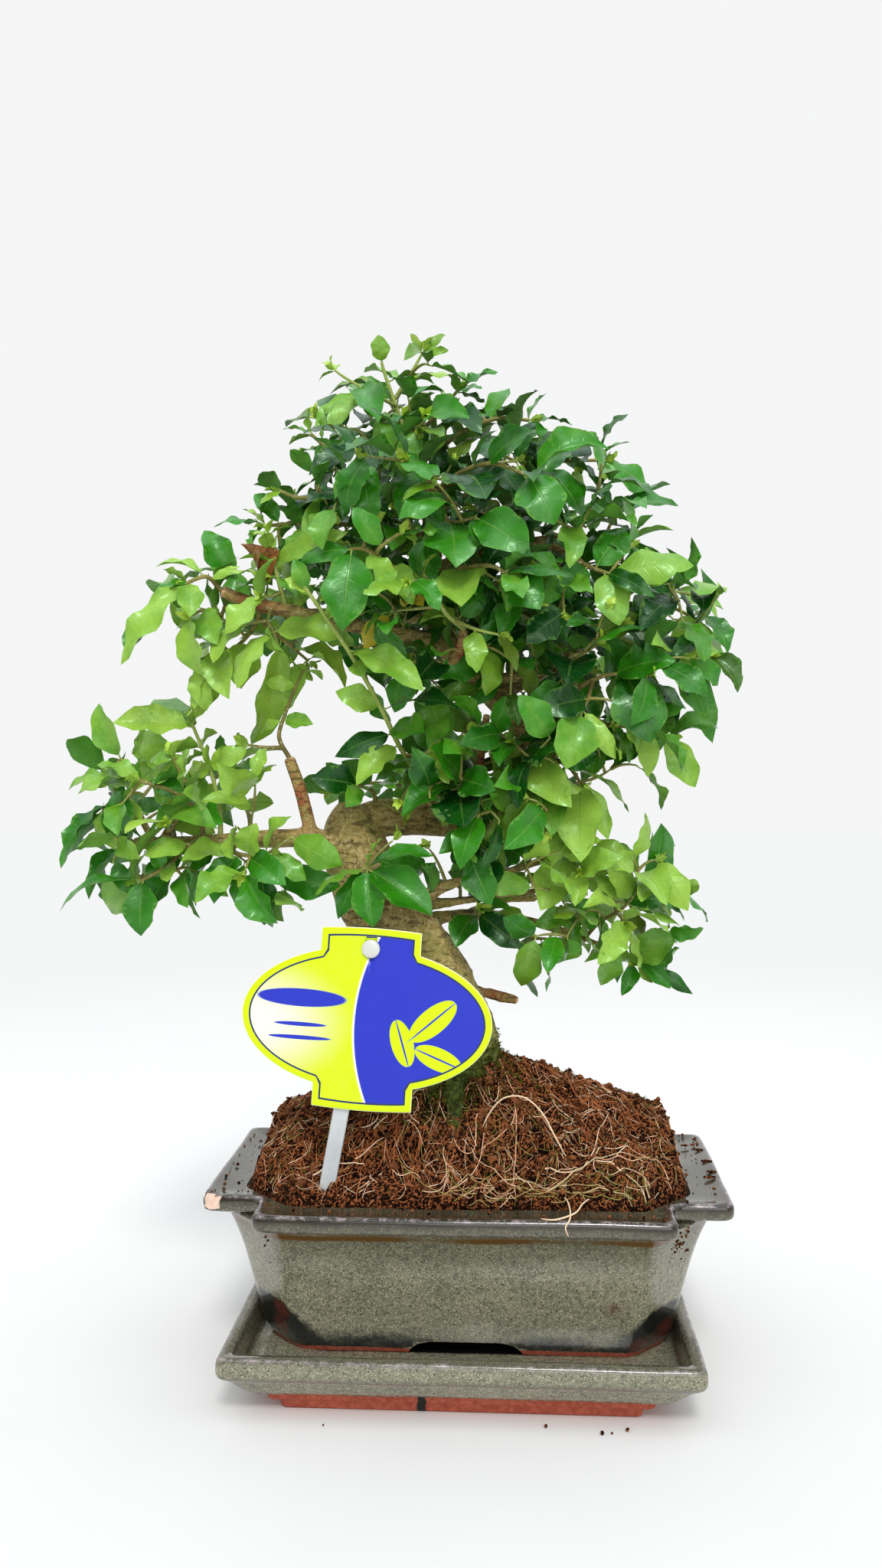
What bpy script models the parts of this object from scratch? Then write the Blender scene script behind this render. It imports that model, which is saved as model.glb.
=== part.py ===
# A chinese privet bonsai in its glazed pot, which stands on a glazed saucer, with a care tag on a stake.
# Metres, +Z up, the front towards -Y. The origin is on the floor under the middle of the saucer.
import math
import random

import bmesh
import bpy
from mathutils import Matrix, Quaternion, Vector
from mathutils.bvhtree import BVHTree

MM = 0.001
GAP = 0.3 * MM  # left between pieces that touch

# Saucer
SAUCER_HALF = (87.0 * MM, 73.0 * MM)
SAUCER_TOP = 22.7 * MM
SAUCER_FLOOR = 12.5 * MM
SAUCER_RIM_WIDTH = 5.4 * MM
SAUCER_RIM_HEIGHT = 7.0 * MM
SAUCER_FOOT_HALF = (70.0 * MM, 62.4 * MM)
SAUCER_FOOT_HEIGHT = 6.4 * MM
POT_SHIFT = 1.2 * MM  # the pot and all in it stand this far right of the saucer's middle

# Pot
POT_BASE = SAUCER_FLOOR + GAP
POT_TOP = 71.3 * MM
POT_RIM_HALF = (100.0 * MM, 65.7 * MM)
POT_RIM_NOTCH = (23.2 * MM, 20.6 * MM)
POT_RIM_NOTCH_FILLET = 3.0 * MM
POT_FLOOR = 21.0 * MM
POT_FOOT_HEIGHT = 5.2 * MM
FOOT_WIDTH = 7.5 * MM
FOOT_ARCH_WIDTH = 43.0 * MM
FOOT_SIDE_ARCH_WIDTH = 27.0 * MM
FOOT_ARCH_REACH = 90.0 * MM  # past the foot on both sides
FOOT_ARCH_HEIGHT = 5.0 * MM
DRAIN_RADIUS = 5.5 * MM
DRAIN_X = 36.0 * MM
SCREEN_SIDE = 18.0 * MM
SCREEN_THICKNESS = 1.0 * MM
SCREEN_HOLE = 4.2 * MM
SCREEN_PITCH = 6.4 * MM

# Soil and the hole that the trunk stands in
ROOT_CENTRE = (-7.0 * MM, 0.0)
ROOT_RADIUS = 18.5 * MM
ROOT_BOTTOM = 76.0 * MM
SOIL_BOTTOM = POT_FLOOR + GAP
SOIL_EDGE = 69.6 * MM
SOIL_CREST = 115.0 * MM

# Care tag and stake
TAG_CENTRE = (-37.0 * MM, -41.5 * MM, 138.0 * MM)
TAG_HALF = (47.4 * MM, 27.3 * MM)
TAG_TAB_HALF = (18.9 * MM, 33.6 * MM)
TAG_THICKNESS = 0.9 * MM
TAG_TURN = math.radians(3.65)
TAG_LEAN = math.radians(1.8)
PEG_UP = 26.6 * MM
PEG_HEAD_RADIUS = 3.5 * MM
PEG_PIN_RADIUS = 2.2 * MM
STAKE_TURN = math.radians(10.6)
STAKE_WIDTH = 6.0 * MM
STAKE_THICKNESS = 1.3 * MM
STAKE_LENGTH = 112.0 * MM

# Leaves
BLADE = 0.75 * MM
LARGE_LEAF = 18.0 * MM  # shorter ones have fewer sides
SHORT_LEAF = 13  # millimetres, below which a spray's twigs are thin
LEAF_STEP = 1.3 * MM  # between leaves that share a place on a twig
LEAF_CLEARANCE = 1.2 * GAP
TWIG_RADIUS = 1.25 * MM
THIN_TWIG_RADIUS = 1.05 * MM
TWIG_SIDES = 3
SEAT_STEP = 0.05 * MM  # how finely a twig's start is moved out of its branch
SEAT_STEPS = 400
TRIES = 14


def mm(x, y, z):
    """A point given in millimetres."""
    return Vector((x, y, z)) * MM


def material(name, colour, roughness, coat=0.0):
    made = bpy.data.materials.new(name)
    made.use_nodes = True
    shader = made.node_tree.nodes["Principled BSDF"]
    shader.inputs["Base Color"].default_value = (*colour, 1.0)
    shader.inputs["Roughness"].default_value = roughness
    shader.inputs["Metallic"].default_value = 0.0
    shader.inputs["Coat Weight"].default_value = coat
    made.diffuse_color = (*colour, 1.0)
    return made


def new_object(name, points, faces, look=None):
    mesh = bpy.data.meshes.new(name)
    mesh.from_pydata([tuple(point) for point in points], [], faces)
    mesh.validate()
    made = bpy.data.objects.new(name, mesh)
    bpy.context.scene.collection.objects.link(made)
    if look:
        mesh.materials.append(look)
    return made


def discard(made):
    mesh = made.data
    bpy.data.objects.remove(made)
    bpy.data.meshes.remove(mesh)


def apply_modifiers(made):
    graph = bpy.context.evaluated_depsgraph_get()
    mesh = bpy.data.meshes.new_from_object(made.evaluated_get(graph))
    old = made.data
    made.modifiers.clear()
    made.data = mesh
    mesh.name = made.name
    bpy.data.meshes.remove(old)


def fuse(body, others):
    """Joins the others to the body with one Boolean union on their collection, then removes them."""
    repeats = bpy.data.collections.new("repeats")
    bpy.context.scene.collection.children.link(repeats)
    for other in others:
        bpy.context.scene.collection.objects.unlink(other)
        repeats.objects.link(other)
    union = body.modifiers.new("union", "BOOLEAN")
    union.operation = "UNION"
    union.operand_type = "COLLECTION"
    union.collection = repeats
    apply_modifiers(body)
    for other in list(repeats.objects):
        discard(other)
    bpy.data.collections.remove(repeats)


def cut(body, cutter):
    """Cuts the cutter from the body and removes it."""
    cutter.hide_render = True
    cutter.display_type = "WIRE"
    difference = body.modifiers.new("cut", "BOOLEAN")
    difference.operation = "DIFFERENCE"
    difference.object = cutter
    apply_modifiers(body)
    discard(cutter)


def loft(name, rings, look=None):
    """A closed body through rings of points, all with the same count, the first and last ring capped."""
    count = len(rings[0])
    points = [point for ring in rings for point in ring]
    faces = []
    for level in range(len(rings) - 1):
        for i in range(count):
            j = (i + 1) % count
            low = level * count
            faces.append((low + i, low + j, low + count + j, low + count + i))
    faces.append(tuple(range(count - 1, -1, -1)))
    faces.append(tuple(range((len(rings) - 1) * count, len(rings) * count)))
    made = new_object(name, points, faces, look)
    face_outwards(made)
    return made


def face_outwards(made):
    mesh = bmesh.new()
    mesh.from_mesh(made.data)
    bmesh.ops.recalc_face_normals(mesh, faces=mesh.faces)
    if mesh.calc_volume(signed=True) < 0:
        bmesh.ops.reverse_faces(mesh, faces=mesh.faces)
    mesh.to_mesh(made.data)
    mesh.free()


def box(name, centre, size):
    mesh = bmesh.new()
    bmesh.ops.create_cube(mesh, size=1.0, matrix=Matrix.Translation(centre) @ Matrix.Diagonal((*size, 1.0)))
    made = new_object(name, [], [])
    mesh.to_mesh(made.data)
    mesh.free()
    return made


def cylinder(name, low, high, radius, sides):
    mesh = bmesh.new()
    axis = Vector(high) - Vector(low)
    turn = axis.to_track_quat("Z", "Y").to_matrix().to_4x4()
    bmesh.ops.create_cone(
        mesh,
        cap_ends=True,
        segments=sides,
        radius1=radius,
        radius2=radius,
        depth=axis.length,
        matrix=Matrix.Translation((Vector(low) + Vector(high)) / 2) @ turn,
    )
    made = new_object(name, [], [])
    mesh.to_mesh(made.data)
    mesh.free()
    return made


# Saucer: a rectangular tray on a stepped foot


def rectangle(half_x, half_y, z):
    return [Vector((sx * half_x, sy * half_y, z)) for sx, sy in ((-1, -1), (1, -1), (1, 1), (-1, 1))]


def build_saucer(look):
    wide, deep = SAUCER_HALF
    foot_wide, foot_deep = SAUCER_FOOT_HALF
    band = SAUCER_TOP - SAUCER_RIM_HEIGHT
    profile = [  # how far in from the outer edge across and along, and the height
        (wide - foot_wide + 5.3 * MM, deep - foot_deep + 2.0 * MM, 0.0),
        (wide - foot_wide + 4.5 * MM, deep - foot_deep + 1.2 * MM, 0.8 * MM),
        (wide - foot_wide + 4.3 * MM, deep - foot_deep + 1.0 * MM, 3.4 * MM),
        (wide - foot_wide + 0.4 * MM, deep - foot_deep + 0.2 * MM, 3.8 * MM),
        (wide - foot_wide, deep - foot_deep, SAUCER_FOOT_HEIGHT),
        (12.0 * MM, 7.6 * MM, SAUCER_FOOT_HEIGHT + 1.0 * MM),
        (5.0 * MM, 4.0 * MM, band - 3.0 * MM),
        (1.6 * MM, 1.6 * MM, band - 1.0 * MM),
        (0.4 * MM, 0.4 * MM, band + 0.4 * MM),
        (0.0, 0.0, band + 1.8 * MM),
        (0.3 * MM, 0.3 * MM, SAUCER_TOP - 0.8 * MM),
        (1.3 * MM, 1.3 * MM, SAUCER_TOP),
        (SAUCER_RIM_WIDTH - 0.8 * MM, SAUCER_RIM_WIDTH + 0.4 * MM, SAUCER_TOP - 0.3 * MM),
        (SAUCER_RIM_WIDTH, SAUCER_RIM_WIDTH + 1.4 * MM, SAUCER_TOP - 1.4 * MM),
        (SAUCER_RIM_WIDTH + 1.2 * MM, SAUCER_RIM_WIDTH + 3.6 * MM, SAUCER_FLOOR + 1.0 * MM),
        (SAUCER_RIM_WIDTH + 3.0 * MM, SAUCER_RIM_WIDTH + 5.4 * MM, SAUCER_FLOOR),
    ]
    return loft("saucer", [rectangle(wide - x, deep - y, z) for x, y, z in profile], look)


# Pot: a deep rectangle with bevelled corners that flares to a wide rim, cut in at each corner


def cornered(half_x, half_y, corner_x, corner_y, z, notch=False):
    """Twenty points round the pot: five at each corner, on a bevel or round a square notch."""
    if notch:
        fillet = POT_RIM_NOTCH_FILLET
        near = 0.29 * fillet
        steps = [(0, 0), (corner_x - fillet, 0), (corner_x - near, near), (corner_x, fillet)]
    else:
        steps = [(corner_x * share, corner_y * share) for share in (0, 0.25, 0.5, 0.75)]
    steps.append((corner_x, corner_y))
    ring = []
    for sx, sy in ((1, -1), (-1, -1), (-1, 1), (1, 1)):
        points = [(sx * (half_x - x), sy * (half_y - corner_y + y), z) for x, y in steps]
        ring += points if sx * sy < 0 else reversed(points)
    return [Vector(point) for point in ring]


POT_WALL = [  # height, half width, half depth and corner bevel, from the foot to under the rim
    (POT_BASE, 75.5 * MM, 42.5 * MM, 13.5 * MM),
    (16.5 * MM, 78.0 * MM, 44.2 * MM, 14.2 * MM),
    (20.5 * MM, 79.4 * MM, 45.2 * MM, 14.6 * MM),
    (25.0 * MM, 80.4 * MM, 46.0 * MM, 15.0 * MM),
    (33.0 * MM, 82.4 * MM, 47.2 * MM, 15.8 * MM),
    (42.0 * MM, 84.8 * MM, 49.0 * MM, 17.0 * MM),
    (51.0 * MM, 87.6 * MM, 51.2 * MM, 18.8 * MM),
    (58.5 * MM, 90.6 * MM, 54.2 * MM, 21.2 * MM),
    (63.0 * MM, 92.8 * MM, 57.0 * MM, 23.2 * MM),
]
POT_RIM = [  # inset from the rim's outer edge and height, up and over it
    (2.2 * MM, POT_TOP - 6.4 * MM),
    (0.3 * MM, POT_TOP - 5.2 * MM),
    (0.0, POT_TOP - 1.2 * MM),
    (1.4 * MM, POT_TOP),
]
POT_CAVITY = [  # height, half width, half depth and corner bevel, from the rim's inner edge to the floor
    (69.8 * MM, 86.0 * MM, 50.0 * MM, 20.0 * MM),
    (66.5 * MM, 84.6 * MM, 48.6 * MM, 19.4 * MM),
    (50.0 * MM, 80.0 * MM, 44.0 * MM, 17.0 * MM),
    (28.0 * MM, 76.0 * MM, 40.5 * MM, 15.0 * MM),
    (POT_FLOOR, 73.0 * MM, 37.5 * MM, 14.0 * MM),
]


def foot_arch(width, front):
    """A cutter for an arch through the foot, from front to back or from side to side."""
    rings = []
    for slope, rise in ((0.0, -2.0 * MM), (1.5 * MM, 2.2 * MM), (8.0 * MM, FOOT_ARCH_HEIGHT)):
        half = width / 2 - slope
        across, deep = (half, FOOT_ARCH_REACH) if front else (FOOT_ARCH_REACH, half)
        rings.append(rectangle(across, deep, POT_BASE + rise))
    return loft("arch", rings)


def build_pot(look):
    rings = [cornered(x, y, corner, corner, z) for z, x, y, corner in POT_WALL]
    (rim_x, rim_y), (notch_x, notch_y) = POT_RIM_HALF, POT_RIM_NOTCH
    rings += [cornered(rim_x - inset, rim_y - inset, notch_x, notch_y, z, notch=True) for inset, z in POT_RIM]
    rings += [cornered(x, y, corner, corner, z) for z, x, y, corner in POT_CAVITY]
    pot = loft("pot", rings, look)
    under = POT_BASE + POT_FOOT_HEIGHT
    _, foot_x, foot_y, foot_corner = POT_WALL[0]
    recess = [
        cornered(foot_x - FOOT_WIDTH + slope, foot_y - FOOT_WIDTH + slope, foot_corner, foot_corner, z)
        for slope, z in ((1.0 * MM, POT_BASE - 2.0 * MM), (0.0, under))
    ]
    cut(pot, loft("recess", recess))
    cut(pot, foot_arch(FOOT_ARCH_WIDTH, front=True))
    cut(pot, foot_arch(FOOT_SIDE_ARCH_WIDTH, front=False))
    for side in (-1, 1):
        x = side * DRAIN_X
        cut(pot, cylinder("drain", (x, 0, POT_BASE), (x, 0, POT_FLOOR + 4 * MM), DRAIN_RADIUS, 12))
    return pot


def build_screen(name, x, look):
    """A square of plastic mesh over a drain hole."""
    z = POT_FLOOR + GAP + SCREEN_THICKNESS / 2
    screen = box(name, (x, 0, z), (SCREEN_SIDE, SCREEN_SIDE, SCREEN_THICKNESS))
    screen.data.materials.append(look)
    for row in (-0.5, 0.5):
        for column in (-0.5, 0.5):
            centre = (x + column * SCREEN_PITCH, row * SCREEN_PITCH, z)
            cut(screen, box("mesh_hole", centre, (SCREEN_HOLE, SCREEN_HOLE, 4 * SCREEN_THICKNESS)))
    return screen


# Soil: fills the pot to its rim and rises in a mound round the trunk


FRONT_MIDDLE = 3  # which point of the soil's outline is the middle of the front


def soil_outline(half_x, half_y, corner, z):
    """28 points round the pot's bevelled inside, closer together at the corners."""
    corners = [
        (-half_x + corner, -half_y, 6),
        (half_x - corner, -half_y, 2),
        (half_x, -half_y + corner, 4),
        (half_x, half_y - corner, 2),
        (half_x - corner, half_y, 6),
        (-half_x + corner, half_y, 2),
        (-half_x, half_y - corner, 4),
        (-half_x, -half_y + corner, 2),
    ]
    ring = []
    for i, (x, y, count) in enumerate(corners):
        next_x, next_y, _ = corners[(i + 1) % len(corners)]
        for k in range(count):
            ring.append(Vector((x + (next_x - x) * k / count, y + (next_y - y) * k / count, z)))
    return ring


def lumps(x, y):
    """The crumbly surface, in metres up or down."""
    x, y = x / MM, y / MM
    wave = math.sin(x * 0.31 + 1.3) * math.cos(y * 0.27) + 0.7 * math.sin(x * 0.11 - y * 0.17 + 0.5)
    return (wave + 0.6 * math.sin(x * 0.53 + y * 0.71)) * MM


def mound(x, y, inward):
    """Height of the soil at a place, with inward 0 at the pot's wall and 1 at the trunk."""
    front = max(0.0, -y / POT_CAVITY[0][2])
    step = (17.0 - 15.0 * front) * MM
    rise = SOIL_CREST - 12.0 * MM * front - SOIL_EDGE - step
    side = 1.2 * MM * (x / POT_CAVITY[0][1]) * (1.0 - inward)
    fade = min(1.0, inward * 6.0) * min(1.0, (1.0 - inward) * 5.0 + 0.25)
    steep = 1.0 - math.exp(-inward * 55.0)
    return SOIL_EDGE + step * steep + rise * inward ** (1.15 + 0.6 * front) + side + lumps(x, y) * fade


def build_soil(look):
    rings = []
    for z, x, y, corner in reversed(POT_CAVITY[1:]):
        level = SOIL_BOTTOM if z == POT_FLOOR else z
        rings.append(soil_outline(x - GAP, y - GAP, corner - 0.1 * MM, level))
    wall = soil_outline(84.2 * MM, 48.2 * MM, 19.6 * MM, SOIL_EDGE)
    count = len(wall)
    hole_radius = (ROOT_RADIUS + GAP) / math.cos(math.pi / count)
    hole = []
    for k in range(count):
        angle = 2 * math.pi * (k - FRONT_MIDDLE) / count - math.pi / 2
        hole.append(Vector((*ROOT_CENTRE, 0.0)) + hole_radius * Vector((math.cos(angle), math.sin(angle), 0.0)))
    for inward in (0.0, 0.035, 0.12, 0.25, 0.4, 0.55, 0.7, 0.85, 1.0):
        ring = []
        for start, end in zip(wall, hole):
            place = start.lerp(Vector((end.x, end.y, start.z)), inward)
            ring.append(Vector((place.x, place.y, mound(place.x, place.y, inward))))
        rings.append(ring)
    rings.append([Vector((point.x, point.y, ROOT_BOTTOM - GAP)) for point in hole])
    return loft("soil", rings, look)


# Trunk, branches and cut stubs: x, y, z and radius of each point, in millimetres

LOWER_TRUNK = [
    (-7, 0, 76, 18.5),
    (-7, 0, 117, 18.5),
    (-8, -1, 124, 17.6),
    (-10, -2, 134, 16.8),
    (-14, -3, 145, 16.2),
    (-21, -4, 157, 16.0),
    (-29, -5, 168, 15.8),
    (-36, -5, 179, 15.6),
    (-42, -5, 190, 14.6),
    (-46, -4, 200, 13.2),
    (-48, -2, 209, 11.0),
    (-48, 1, 216, 7.5),
]
UPPER_TRUNK = [
    (-47, 0, 208, 8.5),
    (-36, 6, 212, 8.0),
    (-20, 11, 212, 7.3),
    (-1, 12, 211, 7.0),
    (14, 10, 214, 7.1),
    (25, 8, 222, 7.4),
    (30, 7, 233, 7.1),
    (27, 6, 245, 6.6),
    (17, 4, 257, 6.2),
    (4, 2, 270, 6.0),
    (-8, 1, 283, 5.6),
    (-14, 0, 298, 5.0),
    (-15, 2, 318, 4.4),
    (-15, 3, 338, 3.8),
    (-20, 4, 356, 3.0),
    (-26, 3, 372, 2.4),
]
BRANCHES = {
    "low_left": [
        (-40, -8, 193, 5.0),
        (-54, -18, 202, 4.2),
        (-61, -20, 205, 4.0),
        (-79, -22, 205, 3.4),
        (-94, -22, 204, 3.0),
        (-112, -20, 203, 2.6),
        (-133, -18, 203, 2.3),
    ],
    "left_stub": [(-61, -20, 205, 2.6), (-65, -20, 222, 2.4), (-70, -20, 237, 2.3)],
    "left_fork": [(-125, -18, 203, 1.6), (-131, -17, 214, 1.4), (-137, -16, 222, 1.2)],
    "left_fork_inner": [(-122, -18, 203, 1.6), (-115, -22, 213, 1.3), (-108, -24, 218, 1.1)],
    "high_left": [
        (-12, 0, 284, 4.0),
        (-26, -12, 286, 3.6),
        (-49, -20, 290, 3.4),
        (-68, -24, 294, 3.4),
        (-83, -25, 297, 3.0),
        (-95, -26, 302, 2.6),
    ],
    "right_middle": [(20, 4, 254, 3.0), (30, -10, 258, 2.3), (44, -20, 264, 1.9)],
    "right_front": [(5, 0, 268, 2.4), (20, -10, 269, 1.8), (35, -14, 271, 1.5)],
    "right_up": [(-15, 2, 312, 2.8), (12, -8, 319, 2.1), (29, -18, 321, 1.7), (45, -25, 311, 1.5)],
    "right_far": [(12, 4, 262, 3.0), (30, 16, 272, 2.3), (44, 25, 282, 2.0), (66, 30, 296, 1.7)],
    "low_right": [
        (-26, 0, 168, 4.5),
        (-10, 8, 171, 3.2),
        (4, 14, 171, 2.5),
        (21, 18, 169, 2.2),
        (44, 20, 162, 1.8),
    ],
    "low_twig": [
        (-28, -6, 172, 4.0),
        (-14, -14, 183, 3.0),
        (-2, -14, 188, 1.9),
        (11, -10, 190, 1.6),
        (31, 0, 195, 1.3),
    ],
    "low_twig_inner": [(-26, -2, 176, 3.0), (6, -4, 180, 1.7), (43, 8, 184, 1.3)],
    "cut_knob": [(8, 8, 213, 3.4), (12, 2, 206, 2.6), (14, -4, 202, 2.3)],
    "broken_stub": [(3, 8, 213, 2.2), (5, -6, 234, 1.7), (8, -12, 254, 1.5)],
    "shoot_base": [(-14, 10, 214, 2.6), (-18, -4, 223, 1.9), (-20, -14, 231, 1.5)],
    "curled_stub": [(-4, 2, 272, 3.0), (-7, -18, 272, 2.2), (-2, -30, 278, 2.0), (0, -35, 285, 1.7)],
    "dead_stub": [(-14, 2, 147, 3.0), (9, 12, 138, 1.8), (20, 14, 135, 1.4)],
    "back_low": [(-6, 12, 212, 3.4), (-8, 36, 219, 2.5), (-14, 60, 228, 1.8)],
    "back_middle": [(16, 4, 258, 3.0), (14, 34, 270, 2.2), (8, 60, 284, 1.7)],
    "back_left": [(-12, 1, 292, 3.0), (-38, 26, 300, 2.3), (-62, 42, 303, 1.8)],
    "back_high": [(-15, 3, 322, 2.6), (-4, 30, 334, 1.9), (8, 52, 346, 1.5)],
    "back_top": [(-17, 4, 346, 2.2), (-22, 26, 362, 1.6), (-24, 40, 372, 1.3)],
    "back_right_low": [(0, 14, 171, 2.4), (14, 28, 176, 1.8), (28, 36, 176, 1.5)],
}


def tube(name, points, radii, sides, ridge=0.0, look=None):
    """A tube with rings square to its path; ridge swells and pinches the rings like old bark."""
    rings = []
    turn = None
    for i, point in enumerate(points):
        ahead = points[min(i + 1, len(points) - 1)] - points[max(i - 1, 0)]
        if i < 2 and ridge:
            ahead = Vector((0.0, 0.0, 1.0))
        ahead.normalize()
        if turn is None:
            turn = ahead.to_track_quat("Z", "Y")
            before = ahead
        turn = before.rotation_difference(ahead) @ turn
        before = ahead
        ring = []
        for k in range(sides):
            angle = 2 * math.pi * k / sides
            swell = 0.0 if i < 2 else ridge * (math.cos(3 * angle + 0.5 * i) + 0.6 * math.cos(5 * angle - 0.9 * i))
            reach = radii[i] * (1.0 + swell)
            ring.append(point + turn @ Vector((reach * math.cos(angle), reach * math.sin(angle), 0.0)))
        rings.append(ring)
    return loft(name, rings, look)


def path_of(rows):
    return [mm(x, y, z) for x, y, z, _ in rows], [radius * MM for *_, radius in rows]


def build_trunk(look):
    trunk = tube("trunk", *path_of(LOWER_TRUNK), 12, ridge=0.05, look=look)
    limbs = [tube("upper", *path_of(UPPER_TRUNK), 8)]
    limbs += [tube(name, *path_of(rows), 6) for name, rows in BRANCHES.items()]
    fuse(trunk, limbs)
    return trunk


# Leafy sprays. Each has one or more twigs, the points of which are in millimetres. A single leaf is given
# by its twig, how far along that twig it sits, where its tip is, its width to length and the way that its
# upper face looks. Pairs are opposite leaves set by rule along each twig, of about the size given.

FRONT = (0.0, -1.0, 0.4)
UP = (0.0, -0.35, 1.0)

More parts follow.
